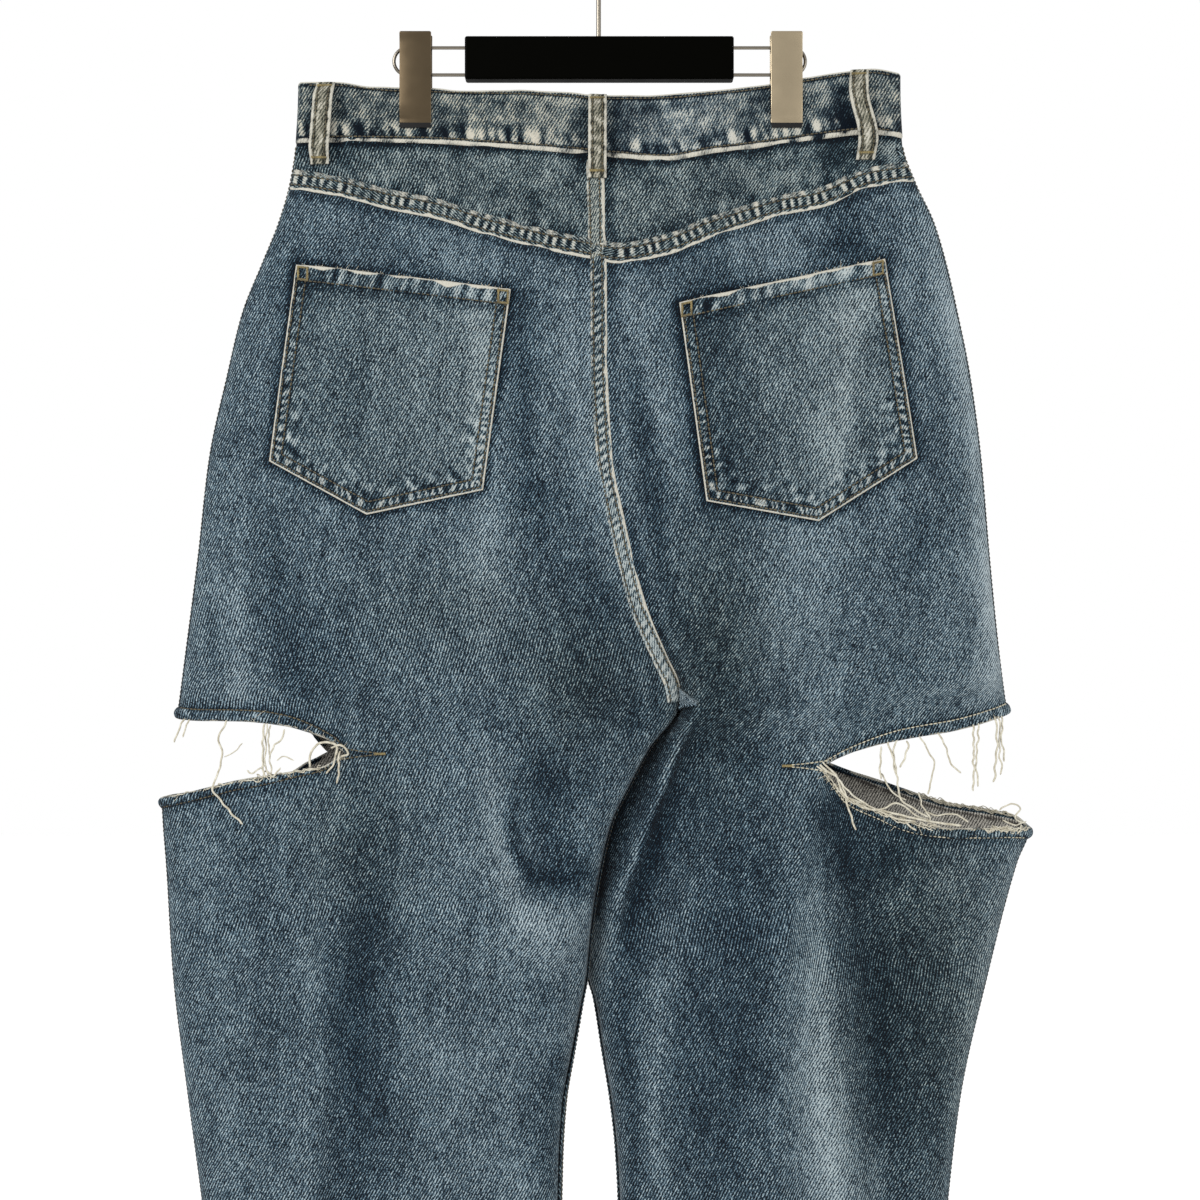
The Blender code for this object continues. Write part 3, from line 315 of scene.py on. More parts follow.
# Streaks: some are what the wash left; others are painted light and shade, on the fold at the crotch, in the
# troughs of folds, beside the belt loops and along the right edges.
STREAKS = {
    (Face.BACK, Side.RIGHT): table(
        Streak,
        # The first six streaks here are painted light and shade of the fold at the crotch: a shadow beside
        # the left leg's edge, a highlight on the fold's crest and shadows to its right.
        (-0.80, 2.7, ((46, 451), (38, 474), (24, 499), (11, 527), (4, 548), (-1, 597))),
        (0.24, 2.0, ((67, 446), (53, 479), (38, 518), (28, 541), (22, 560), (13, 580), (8, 606))),
        (-0.42, 2.4, ((73, 448), (58, 480), (43, 518), (33.5, 541), (27, 560), (19, 582))),
        (-0.16, 7.0, ((80, 450), (66, 480), (51, 518), (42, 542), (34, 562), (26, 584))),
        (-0.26, 9.0, ((44, 515), (36, 555), (24, 590), (14, 620))), (0.22, 2.6, ((60, 437), (68, 443))),
        (-0.25, 2.6, ((128, 490), (140, 489), (156, 487))),
    ),
    (Face.BACK, Side.LEFT): table(
        Streak,
        # The first four are painted shade in the trough that crosses the left leg below the crotch, and
        # painted light on the fold below it.
        (-0.26, 4.5, ((-66, 514), (-60, 545), (-48, 566), (-22, 568), (-4, 565))),
        (-0.24, 15.0, ((-44, 470), (-34, 520), (-22, 556), (-8, 572))),
        (0.26, 10.0, ((-80, 470), (-72, 520), (-66, 556), (-54, 592), (-18, 612))),
        (0.14, 9.0, ((-40, 585), (-22, 590), (-8, 600))),
        (-0.12, 6.0, ((-20, 640), (-32, 720), (-36, 800), (-38, 900))),
        (-0.25, 2.6, ((-196, 478), (-172, 480), (-146, 480))),
    ),
    (Face.BACK, None): table(
        Streak,
        (0.14, 12.0, ((-92, 140), (-86, 220), (-82, 300), (-76, 380), (-84, 430))),
        (-0.20, 9.0, ((-50, 125), (-54, 200), (-54, 250), (-46, 320))),
        (0.16, 11.0, ((-22, 140), (-17, 200), (-12, 250), (-4, 300))),
        (0.13, 8.0, ((20, 138), (28, 180), (40, 230), (48, 270))),
        (-0.12, 7.0, ((22, 190), (32, 225), (42, 280), (44, 330))),
        (-0.22, 20.0, ((72, 130), (82, 190), (86, 240), (86, 310))),
        (0.20, 12.0, ((180, 136), (176, 180), (172, 240), (163, 310))),
        (-0.22, 14.0, ((184, 80), (182, 100), (176, 134))),
        (0.14, 10.0, ((-262, 350), (-256, 400), (-252, 452))),
        (-0.12, 13.0, ((-236, 310), (-222, 380), (-214, 450))),
        # On this line after its first streak, and on the next two: painted shade down the sides of the belt
        # loops.
        (-0.12, 9.0, ((-80, 66), (-60, 80), (-40, 94), (-14, 108))), (-0.30, 5.0, ((-12, 10), (-12, 66))),
        (-0.28, 8.0, ((14, 20), (17, 44), (26, 66))), (-0.34, 9.0, ((176, -4), (174, 30), (168, 68))),
        (-0.20, 7.0, ((-208, 4), (-208, 50))), (-0.22, 7.0, ((-184, 20), (-182, 66))),
        (0.16, 13.0, ((-38, 20), (-42, 56))), (-0.14, 13.0, ((-74, 20), (-78, 50))),
        (0.20, 12.0, ((152, 590), (158, 640), (162, 740), (172, 840))),
        (0.12, 10.0, ((192, 740), (198, 800), (204, 900))),
        (-0.30, 15.0, ((164, 505), (170, 540), (178, 580))),
        (-0.16, 13.0, ((192, 600), (198, 680), (202, 740))),
        (-0.15, 8.0, ((12, 640), (20, 700), (26, 780), (28, 900))),
        (-0.14, 14.0, ((-188, 600), (-184, 650), (-178, 720))),
        # Painted light down the right edge of the seat.
        (0.36, 13.0, ((238, 104), (262, 200), (277, 300), (286, 400), (290, 450))),
        (0.22, 16.0, ((280, 320), (284, 400), (270, 445), (246, 452))),
        (0.22, 7.0, ((180, 488), (210, 506), (250, 518), (296, 528))),
        (0.18, 14.0, ((144, 640), (146, 700), (152, 800), (160, 900))),
        (0.12, 9.0, ((52, 560), (44, 640), (38, 720), (40, 820))),
        (-0.16, 8.0, ((22, 205), (30, 260), (38, 310), (48, 360), (66, 408), (78, 428))),
        (0.13, 7.0, ((-6, 150), (-5, 230), (0, 290), (6, 340), (22, 390))),
        (0.12, 9.0, ((-84, 150), (-80, 210), (-80, 290))), (0.12, 6.0, ((-46, 120), (-44, 150))),
        (0.10, 5.0, ((-232, 276), (-164, 315), (-82, 298))),
        (0.10, 5.0, ((76, 306), (155, 320), (226, 275))), (0.16, 7.0, ((-198, 482), (-172, 480))),
        (0.16, 8.0, ((120, 150), (160, 142), (204, 132))), (0.13, 8.0, ((190, 84), (194, 112))),
        (0.12, 12.0, ((-10, 606), (6, 640), (24, 645))), (0.10, 9.0, ((-60, 604), (-30, 625), (-12, 640))),
        (0.09, 6.0, ((10, 345), (24, 385), (38, 408))),
        # Painted light along the right leg's outer edge.
        (0.14, 10.0, ((298, 545), (284, 600), (262, 680), (250, 760))),
        (0.13, 7.0, ((6, 160), (8, 230), (14, 290), (20, 330))), (0.20, 6.0, ((212, 0), (212, 90))),
        (0.10, 9.0, ((154, 440), (153, 480), (150, 510))), (0.08, 5.0, ((62, 560), (60, 610), (56, 650))),
    ),
    (Face.FRONT, None): table(
        Streak,
        (0.14, 12.0, ((-88, 260), (-96, 340), (-104, 430))),
        (-0.18, 11.0, ((-52, 250), (-60, 330), (-58, 420))),
        (0.13, 12.0, ((84, 250), (92, 340), (100, 430))),
        (-0.18, 14.0, ((130, 240), (146, 330), (150, 430))),
        (0.16, 13.0, ((-110, 540), (-116, 640), (-112, 760))),
        (-0.20, 14.0, ((-160, 540), (-170, 640), (-176, 760))),
        (0.16, 13.0, ((112, 550), (114, 640), (106, 760))), (-0.20, 14.0, ((64, 540), (60, 640), (58, 760))),
    ),
}
# Lighter and darker patches: most are the wash's unevenness, and some are painted shade, as beside the belt
# loops on the band.
WASH_AND_SHADE = {
    Face.BACK: table(
        SoftPatch,
        (-6, 392, 24, 44, -0.06), (2, 458, 34, 36, -0.05), (93, 452, 22, 34, -0.06),
        (-166, 655, 13, 110, -0.06), (-202, 390, 48, 44, -0.05), (80, 665, 60, 110, -0.03),
        (-150, 230, 62, 60, 0.04), (-184, 240, 34, 62, -0.13), (145, 225, 62, 60, 0.03),
        (60, 240, 40, 70, 0.04), (-215, 135, 18, 30, -0.17), (-142, 122, 15, 14, -0.10),
        (120, 110, 24, 15, 0.10), (136, 335, 36, 18, 0.09), (138, 400, 24, 42, 0.07),
        (84, 405, 28, 110, -0.17), (86, 435, 16, 24, -0.08), (112, 490, 15, 22, -0.08),
        (4, 374, 18, 20, -0.16), (-34, 332, 18, 24, -0.13), (64, 260, 16, 60, -0.07),
        (-204, 434, 20, 18, -0.10), (-76, 466, 20, 16, -0.08), (176, 142, 18, 12, 0.12),
        (-222, 190, 12, 30, 0.08), (-168, 32, 16, 20, -0.12), (166, 62, 14, 12, -0.12),
        (96, 700, 42, 110, -0.09), (206, 158, 15, 16, 0.22), (172, 172, 16, 14, 0.10),
        (2, 184, 12, 22, 0.12), (13, 298, 8, 20, 0.16), (60, 436, 12, 10, 0.12), (180, 448, 22, 12, -0.13),
        (216, 420, 16, 18, -0.10), (90, 146, 12, 18, -0.15), (180, 122, 18, 12, -0.13),
        (-4, 60, 12, 16, -0.12), (-50, 205, 12, 18, -0.09), (-42, 300, 34, 12, -0.14),
        (-135, 138, 32, 9, -0.09), (-84, 162, 12, 12, 0.12), (-196, 405, 16, 20, -0.10),
        (-18, 668, 9, 36, 0.14), (-44, 760, 14, 26, -0.12), (-80, 345, 26, 18, 0.06),
        (136, 700, 12, 26, 0.07), (172, 650, 12, 34, -0.10), (234, 742, 16, 22, -0.08),
        (186, 792, 14, 14, 0.10), (60, 520, 24, 20, -0.06), (130, 640, 130, 170, -0.05),
        (-150, 640, 120, 170, -0.03), (204, 552, 26, 24, -0.28), (244, 566, 20, 24, 0.12),
        (170, 612, 16, 20, -0.18), (106, 484, 24, 20, -0.08), (110, 620, 20, 26, -0.07),
        (-10, 500, 24, 20, -0.11), (-25, 572, 20, 16, -0.16), (-16, 358, 12, 16, -0.08),
        (30, 462, 14, 14, -0.10), (-205, 50, 18, 26, -0.14), (-205, 154, 16, 16, -0.12),
        (-240, 146, 14, 14, -0.10), (-150, 84, 18, 16, -0.09), (-262, 438, 24, 18, 0.13),
        (-75, 558, 24, 20, 0.08), (-204, 615, 14, 34, 0.08), (-122, 690, 18, 22, 0.08),
        (-46, 655, 16, 20, -0.10), (-38, 722, 12, 22, -0.12), (-236, 748, 20, 18, -0.08),
        # The last patch of this line and the first two of the next are painted shade beside the right and the
        # centre belt loops.
        (56, 184, 12, 24, -0.12), (164, 126, 16, 14, -0.12), (184, 20, 16, 20, -0.16),
        (182, 52, 18, 10, -0.16), (26, 50, 10, 14, -0.12), (82, 76, 14, 26, -0.09), (120, 125, 18, 16, 0.07),
        (226, 330, 16, 22, -0.13), (184, 256, 12, 26, -0.08), (127, 258, 12, 16, -0.07),
        (152, 250, 10, 18, 0.08), (228, 650, 22, 100, -0.10), (-10, 425, 40, 48, -0.12),
        (36, 450, 15, 16, -0.12), (-60, 400, 120, 60, -0.03), (-168, 528, 15, 22, -0.12),
        (-250, 560, 60, 110, -0.05), (-60, 720, 40, 150, 0.08), (18, 645, 15, 44, -0.18),
        (100, 570, 28, 46, -0.18), (62, 700, 14, 60, -0.08), (225, 700, 40, 170, -0.12),
        (-160, 700, 22, 190, -0.10),
    ),
    Face.FRONT: table(
        SoftPatch,
        (-110, 480, 60, 150, 0.08), (110, 480, 60, 150, 0.08), (0, 380, 50, 70, -0.10),
    ),
}
# Where the blue has aged towards olive grey.
TINTS = {
    Face.BACK: table(
        SoftPatch,
        (225, 640, 62, 150, 0.7), (82, 412, 36, 90, 0.7), (-12, 430, 40, 50, 0.6), (-110, 380, 60, 40, 0.3),
        (-170, 540, 40, 60, 0.4),
    ),
    Face.FRONT: table(
        SoftPatch,
        (-120, 200, 60, 90, 0.5), (130, 260, 50, 90, 0.5),
    ),
}
BACK_POCKETS = {
    Side.LEFT: PocketCut((-62, 152.5), (-215, 133.5), (-81.2, 294.7), (-163.3, 312), (-233, 273.8)),
    Side.RIGHT: PocketCut((57, 162), (203.5, 129.5), (75.8, 302.5), (155, 316.5), (225.5, 271.8)),
}
BELT_LOOPS = (
    LoopPlace("belt_loop_back_left", Face.BACK, (-195.4, 0.9), (-199.5, 60.2), 0.0),
    LoopPlace("belt_loop_back_centre", Face.BACK, (-0.7, 10.5), (-0.9, 71.5), 0.0),
    LoopPlace("belt_loop_back_right", Face.BACK, (187.3, -8.0), (191.0, 57.0), -2.2),
    LoopPlace("belt_loop_front_left", Face.FRONT, (-76.0, 12.4), (-77.0, 71.6), 0.0),
    LoopPlace("belt_loop_front_right", Face.FRONT, (76.0, 11.2), (77.0, 70.4), 0.0),
)


@dataclass(frozen=True)
class SmoothCurve:
    """A curve through knots that never overshoots them, with zero slope at a peak."""

    knots: tuple[float, ...]
    values: tuple[float, ...]

    def __call__(self, place: Array | float) -> Array:
        """The curve's value.

        Args:
            place: Where, in the knots' unit; past the ends the end values hold.

        Returns:
            The value at each place.
        """
        knots, values = np.array(self.knots, float), np.array(self.values, float)
        step = np.diff(knots)
        slope = np.diff(values) / step
        tangent = np.zeros_like(values)
        tangent[0], tangent[-1] = slope[0], slope[-1]
        for i in range(1, len(knots) - 1):
            if slope[i - 1] * slope[i] > 0:
                a, b = 2 * step[i] + step[i - 1], step[i] + 2 * step[i - 1]
                tangent[i] = (a + b) / (a / slope[i - 1] + b / slope[i])
        place = np.clip(np.asarray(place, float), knots[0], knots[-1])
        i = np.clip(np.searchsorted(knots, place, side="right") - 1, 0, len(step) - 1)
        t = (place - knots[i]) / step[i]
        t2, t3 = t * t, t * t * t
        ends = (2 * t3 - 3 * t2 + 1) * values[i] + (3 * t2 - 2 * t3) * values[i + 1]
        return ends + step[i] * ((t3 - 2 * t2 + t) * tangent[i] + (t3 - t2) * tangent[i + 1])


def column_curve(rows: Iterable[NamedTuple], key: str, name: str) -> SmoothCurve:
    """The curve of one named column of a table against another."""
    rows = list(rows)
    return SmoothCurve(tuple(getattr(r, key) for r in rows), tuple(getattr(r, name) for r in rows))


def ease(start: Array | float, end: Array | float, value: Array | float) -> Array:
    """0 before start, 1 after end, and a smooth step between them."""
    t = np.clip((np.asarray(value, float) - start) / (end - start), 0, 1)
    return t * t * (3 - 2 * t)


def fade(start: Array | float, end: Array | float, value: Array | float) -> Array:
    """The opposite of ease: 1 before start and 0 after end."""
    return 1 - ease(start, end, value)


def bell(off: Array | float, reach: Array | float) -> Array:
    """1 where off is 0, about a third at one reach either way, and next to nothing at two."""
    return np.exp(-((off / reach) ** 2))


def roping(run: Array, period: float, wander: Array, hard: float = 2.0) -> Array:
    """The puckers along a seam, -1 to 1: a wave along a run, the flatter on its crests the harder."""
    return np.tanh(hard * np.sin(2 * math.pi * run / period + wander))


def to_rows(place: Array, rows: tuple[float, float]) -> Array:
    """Distance from the nearer of two rows of stitches."""
    return np.minimum(*(np.abs(place - row) for row in rows))


def spread(first: float, last: float, spacing: float, crowd: float = 0.0) -> Array:
    """Places from first to last.

    Args:
        first: The first place.
        last: The last place.
        spacing: About how far apart they lie.
        crowd: From 0, even, towards 1, crowded at both ends.

    Returns:
        The places in order.
    """
    t = np.linspace(0, 1, max(2, int(abs(last - first) / spacing) + 1))
    t = t * (1 - crowd) + (1 - np.cos(math.pi * t)) / 2 * crowd
    return first + (last - first) * t


@dataclass(frozen=True)
class Ripples:
    """A smooth uneven field: waves of about one size that cross at many angles."""

    size: float
    seed: int
    waves: int = 16

    def __call__(self, x: Array, y: Array) -> Array:
        """The field at places in millimetres, about -2 to 2 with a mean of 0."""
        chance = np.random.default_rng(self.seed)
        total = np.zeros(np.broadcast(x, y).shape)
        for _ in range(self.waves):
            turn, phase = chance.uniform(0, 2 * math.pi, 2)
            length = self.size * chance.uniform(0.6, 1.9)
            total += np.sin(2 * math.pi * (x * math.cos(turn) + y * math.sin(turn)) / length + phase)
        return total / math.sqrt(self.waves / 2)


@dataclass(frozen=True)
class HangingForm:
    """The wide, shallow tube that the jeans hang in: hips that fork into two leg tubes."""

    waist_below_hook: float = 122.0
    leg_length: float = 1050.0
    crotch_drop: float = 447.0
    fork_blend: float = 75.0
    side_roundness: float = 2.7
    seam_gap: float = 0.3
    crotch_gap: float = 0.7
    clip_edge: float = 14.0
    pinch_reach: float = 70.0
    pinch_half_depth: float = 1.75
    pinch_fade: tuple[float, float] = (42.0, 200.0)
    clip_centres: tuple[float, float] = (-131.5, 135.0)
    fold_fade: float = 0.22
    # Lighter on the creases' ridges, where the wash rubbed them, and darker in their troughs: partly the
    # wash, partly painted shade.
    ridge_wear_and_shade: float = 0.014
    edge_share: float = 0.05
    # Drops and x of the crest of the fold that runs down from the crotch.
    fold_drops: tuple[float, ...] = (444, 478, 517, 540, 560, 579, 608)
    fold_crest: tuple[float, ...] = (70.3, 54.2, 39.4, 29.5, 23.2, 14.8, 9.1)
    fold_end: tuple[float, float] = (570, 620)

    def outer(self, side: Side, drop: Array) -> Array:
        """X of the side seam."""
        return column_curve(SECTIONS, "drop", side.label)(drop)

    def depth(self, drop: Array) -> Array:
        """Half of the tube's depth from front to back."""
        return column_curve(SECTIONS, "drop", "depth")(drop)

    def inseam(self, side: Side, drop: Array) -> Array:
        """X of one leg's inner edge."""
        return column_curve(SEAMS, "drop", side.label)(drop)

    def inner(self, face: Face, side: Side, drop: Array) -> Array:
        """X of a panel's inner edge: the rise seam, and below the crotch the inseam."""
        rise = column_curve(SEAMS, "drop", face.label)(drop)
        return np.where(np.asarray(drop) < self.crotch_drop, rise, self.inseam(side, drop))

    def x_at(self, face: Face, side: Side, across: Array | float, drop: Array | float) -> Array:
        """X at a share of the way from a panel's inner edge to the side seam."""
        inner, outer = self.inner(face, side, drop), self.outer(side, drop)
        return inner + (outer - inner) * across

    def seat_seam(self, face: Face, drop: Array) -> Array:
        """X of the rise seam, and below the crotch of its last place above it."""
        return self.inner(face, Side.LEFT, np.minimum(drop, self.crotch_drop - 1))

    def swing(self, side: Side, drop: Array) -> Array:
        """Y that a leg's inner edge has swung to."""
        return self.forked(drop) * column_curve(SWINGS, "drop", side.label)(drop)

    def edge(self, face: Face, name: str, x: Array) -> Array:
        """Drop of one cross seam: top, waist, or the back's yoke."""
        column = name if name == "yoke" else f"{face.label}_{name}"
        return column_curve(CROSS_SEAMS, "x", column)(x)

    def forked(self, drop: Array) -> Array:
        """0 on the hips, 1 where they have become two legs."""
        return ease(self.crotch_drop - self.fork_blend, self.crotch_drop, drop)

    def bulge(self, across: Array) -> Array:
        """Depth of the section at a share of the way across it, from 0 at its edges to 1."""
        from_middle = np.clip(np.abs(2 * across - 1), 0, 1)
        return np.maximum(1 - from_middle**self.side_roundness, 0) ** (1 / self.side_roundness)

    @staticmethod
    def off_path(x: Array, drop: Array, knots: Iterable[tuple[float, float]]) -> Spots:
        """Distance from a path of points (x, drop), and the share along it of the nearest place."""
        path = np.array(list(knots), float)
        lengths = np.linalg.norm(np.diff(path, axis=0), axis=1)
        run = np.concatenate([[0], np.cumsum(lengths)])
        shape = np.broadcast(x, drop).shape
        nearest, at = np.full(shape, np.inf), np.zeros(shape)
        for i, length in enumerate(lengths):
            way = (path[i + 1] - path[i]) / length
            along = np.clip((x - path[i][0]) * way[0] + (drop - path[i][1]) * way[1], 0, length)
            off = np.hypot(x - path[i][0] - along * way[0], drop - path[i][1] - along * way[1])
            at = np.where(off < nearest, run[i] + along, at)
            nearest = np.minimum(off, nearest)
        return nearest, at / run[-1]

    def ends(self, share: Array) -> Array:
        """1 along the middle of a fold or streak, and 0 at both its ends."""
        return ease(0, self.fold_fade, share) * ease(0, self.fold_fade, 1 - share)

    def crease_height(self, face: Face, side: Side | None, x: Array, drop: Array) -> Array:
        """How far the creases move the cloth out of its plain form."""
        total = np.zeros(np.broadcast(x, drop).shape)
        for crease in CREASES.get((face, side), ()):
            off, share = self.off_path(x, drop, crease.path)
            across, down = np.array(crease.path, float).T
            steep = (crease.steep > 0) & (x > np.interp(drop, down, across))
            reach = np.where(steep, crease.steep, crease.reach)
            total = total + crease.height * self.ends(share) * bell(off, reach)
        return total

    def y(self, face: Face, side: Side, x: Array, drop: Array) -> Array:
        """Y of the middle of the cloth."""
        left, right = self.outer(Side.LEFT, drop), self.outer(Side.RIGHT, drop)
        inner, outer = self.inner(face, side, drop), self.outer(side, drop)
        across_leg = np.clip((x - inner) / (outer - inner), 0, 1)
        legs = self.forked(drop)
        hips = self.bulge((x - left) / (right - left))
        plain = self.depth(drop) * ((1 - legs) * hips + legs * self.bulge(across_leg))
        pinch = np.zeros(np.broadcast(x, drop).shape)
        for centre in self.clip_centres:
            held = fade(self.clip_edge, self.pinch_reach, np.abs(x - centre))
            pinch = np.maximum(pinch, held * fade(*self.pinch_fade, drop))
        flat = plain * (1 - pinch) + np.minimum(plain, self.pinch_half_depth) * pinch
        room = ease(0, self.edge_share, 1 - across_leg)
        room = room * np.where(legs > 0, ease(0, self.edge_share, across_leg), 1)
        creases = self.crease_height(face, side, x, drop) * room
        swing = self.swing(side, drop) * (1 - across_leg) ** 2
        return face.value * (flat + creases + self.seam_gap) + swing

    def place(self, x: Array, y: Array, drop: Array) -> Array:
        """Points in the part's frame, in millimetres, from across, depth and drop."""
        down = -self.waist_below_hook - np.asarray(drop, float)
        return np.stack(np.broadcast_arrays(x, y, down), axis=-1)

    def on_leg(self, face: Face, side: Side, across: Array, drop: Array) -> Spots:
        """A panel's points at a share of the way from its inner edge to the side seam.

        Args:
            face: Back or front.
            side: Left or right.
            across: The share, 0 to 1.
            drop: The drop of each point.

        Returns:
            The points, and their x on the form.
        """
        x = self.x_at(face, side, across, drop)
        apart = (self.seam_gap + self.crotch_gap * self.forked(drop)) * (1 - across) ** 2
        return self.place(x + side.value * apart, self.y(face, side, x, drop), drop), x

    def lifted(self, face: Face, side: Side, x: Array, drop: Array, lift: Array | float) -> Spots:
        """Points that stand off the middle of a panel, outwards.

        Args:
            face: Back or front.
            side: Left or right.
            x: Across.
            drop: Down.
            lift: How far off, square to the cloth.

        Returns:
            The points, and the way out at each.
        """
        step = 1.0
        x, drop, lift = np.broadcast_arrays(np.asarray(x, float), np.asarray(drop, float), lift)
        across = self.place(x + step, self.y(face, side, x + step, drop), drop)
        across = across - self.place(x - step, self.y(face, side, x - step, drop), drop)
        down = self.place(x, self.y(face, side, x, drop + step), drop + step)
        down = down - self.place(x, self.y(face, side, x, drop - step), drop - step)
        out = np.cross(across, down)
        out /= np.linalg.norm(out, axis=-1, keepdims=True)
        out *= np.sign(out[..., 1:2]) * face.value
        return self.place(x, self.y(face, side, x, drop), drop) + out * lift[..., None], out

    def on_seat(self, face: Face, x: Array, drop: Array, lift: Array | float) -> Spots:
        """Like lifted, on whichever side of the rise seam each place lies."""
        x, drop = np.broadcast_arrays(np.asarray(x, float), np.asarray(drop, float))
        left = x < self.seat_seam(face, drop)
        on_left = self.lifted(face, Side.LEFT, x, drop, lift)
        on_right = self.lifted(face, Side.RIGHT, x, drop, lift)
        return tuple(np.where(left[..., None], a, b) for a, b in zip(on_left, on_right))

    def on_edge(self, side: Side, inseam: bool, drop: Array, y: Array, lift: Array | float) -> Spots:
        """Points on the narrow edge of a leg tube, round its side seam or its inseam.

        Args:
            side: Left or right.
            inseam: Whether it is the leg's inner edge.
            drop: Down.
            y: How far to the back (-) or the front (+) of the seam.
            lift: How far off the cloth.

        Returns:
            The points, and the way out at each.
        """
        drop, y, lift = np.broadcast_arrays(np.asarray(drop, float), np.asarray(y, float), lift)
        legs, power = self.forked(drop), self.side_roundness
        leg_wide = np.abs(self.outer(side, drop) - self.inseam(side, drop))
        hips_wide = self.outer(Side.RIGHT, drop) - self.outer(Side.LEFT, drop)
        wide = (1 - legs) * hips_wide ** (-1 / power) + legs * leg_wide ** (-1 / power)
        inward = (np.abs(y) / self.depth(drop) / wide) ** power / (2 * power)
        if inseam:
            x = self.inseam(side, drop) + side.value * (inward - lift)
            y = y + self.swing(side, drop)
            out = np.broadcast_to((-side.value, 0.0, 0.0), (*drop.shape, 3))
        else:
            x = self.outer(side, drop) - side.value * (inward - lift)
            out = np.broadcast_to((side.value, 0.0, 0.0), (*drop.shape, 3))
        return self.place(x, y, drop), out

    @staticmethod
    def patches(rows: Iterable[SoftPatch], x: Array, drop: Array) -> Array:
        """The sum of soft round patches at each place."""
        total = np.zeros(np.broadcast(x, drop).shape)
        for patch in rows:
            off = ((x - patch.x) / patch.width) ** 2 + ((drop - patch.drop) / patch.height) ** 2
            total = total + patch.amount * np.exp(-off)
        return total

    def wash(self, face: Face, side: Side | None, x: Array, drop: Array, shaded: bool = True) -> Array:
        """How much lighter (+) or darker (-) the denim is: as the wash left it, with painted light and shade.

        Args:
            face: Back or front.
            side: The half or leg.
            x: Place across.
            drop: Place down.
            shaded: Whether the painted shade beside the raised seams and pockets, and below the waistband, is
                in it.

        Returns:
            The amount at each place.
        """
        total = self.ridge_wear_and_shade * self.crease_height(face, side, x, drop) + self.patches(WASH_AND_SHADE[face], x, drop)
        own = STREAKS.get((face, side), ()) if side else ()
        for streak in (*own, *STREAKS[face, None]):
            off, share = self.off_path(x, drop, streak.path)
            total = total + streak.amount * (0.35 + 0.65 * self.ends(share)) * bell(off, streak.reach)
        if not shaded:
            return total
        if face is Face.BACK:
            total = self.shade_seat(total, side, x, drop)
        # Painted shade just below the waistband's lower edge.
        return total - 0.28 * bell(drop - self.edge(face, "waist", x) - 1, 5.0)

    def shade_seat(self, total: Array, side: Side, x: Array, drop: Array) -> Array:
        """Paints shade on the borders of a back pocket, the yoke, the rise seam and the fold at the crotch.

        Args:
            total: The wash and painted shade so far.
            side: The half or leg.
            x: Place across.
            drop: Place down.

        Returns:
            The wash with the painted shade.
        """
        cut = BACK_POCKETS[side]
        # A painted shadow round the pocket: a wide soft one, and a narrow dark one at its edge.
        off = self.off_path(x, drop, (*cut.edge(), cut.inner_top))[0]
        total = total - 0.30 * bell(off, 5.0) - 0.25 * bell(off, 2.6)
        # Painted shade below the yoke seam's raised strip, and a darker band 15 mm above it.
        below = drop - self.edge(Face.BACK, "yoke", x)
        total = total - 0.30 * bell(below - 2.0, 4.0) - 0.16 * bell(below + 15, 3.5)
        # Painted shade beside the rise seam's raised strip: on its right and, fainter, 15 mm to its left.
        beside = x - self.seat_seam(Face.BACK, drop)
        in_rise = fade(self.crotch_drop - 5, self.crotch_drop + 20, drop)
        total = total - 0.26 * in_rise * bell(beside - 3.5, 4.0)
        total = total - 0.10 * in_rise * bell(beside + 15, 4.0)
        if side is Side.RIGHT:
            # The flank of the fold at the crotch: painted shade, with the deeper indigo that the wash left
            # hidden there.
            folded = ease(self.crotch_drop - 3, self.crotch_drop + 4, drop) * fade(*self.fold_end, drop)
            crest = np.interp(drop, self.fold_drops, self.fold_crest)
            total = total - 0.28 * folded * ease(-0.4, 1.6, crest - x)
        return total


FORM = HangingForm()


def add_mesh(name: str, points: Array, faces: Iterable, smooth: bool = True) -> Object:
    """A mesh object, linked to the scene.

    Args:
        name: Its name.
        points: Its vertices, in millimetres.
        faces: Tuples or arrays of vertex numbers.
        smooth: Whether it is shaded smooth.

    Returns:
        The object.
    """
    mesh = bpy.data.meshes.new(name)
    mesh.from_pydata((np.asarray(points) * MM).tolist(), [], [list(map(int, face)) for face in faces])
    mesh.update()
    if smooth:
        mesh.shade_smooth()
    obj = bpy.data.objects.new(name, mesh)
    bpy.context.scene.collection.objects.link(obj)
    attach(obj, "root")
    return obj


def add_value(obj: Object, name: str, values: Array) -> None:
    """Gives each vertex of a mesh one named number, which its material reads."""
    layer = obj.data.attributes.new(name, "FLOAT", "POINT")
    layer.data.foreach_set("value", np.asarray(values, np.float32).ravel())


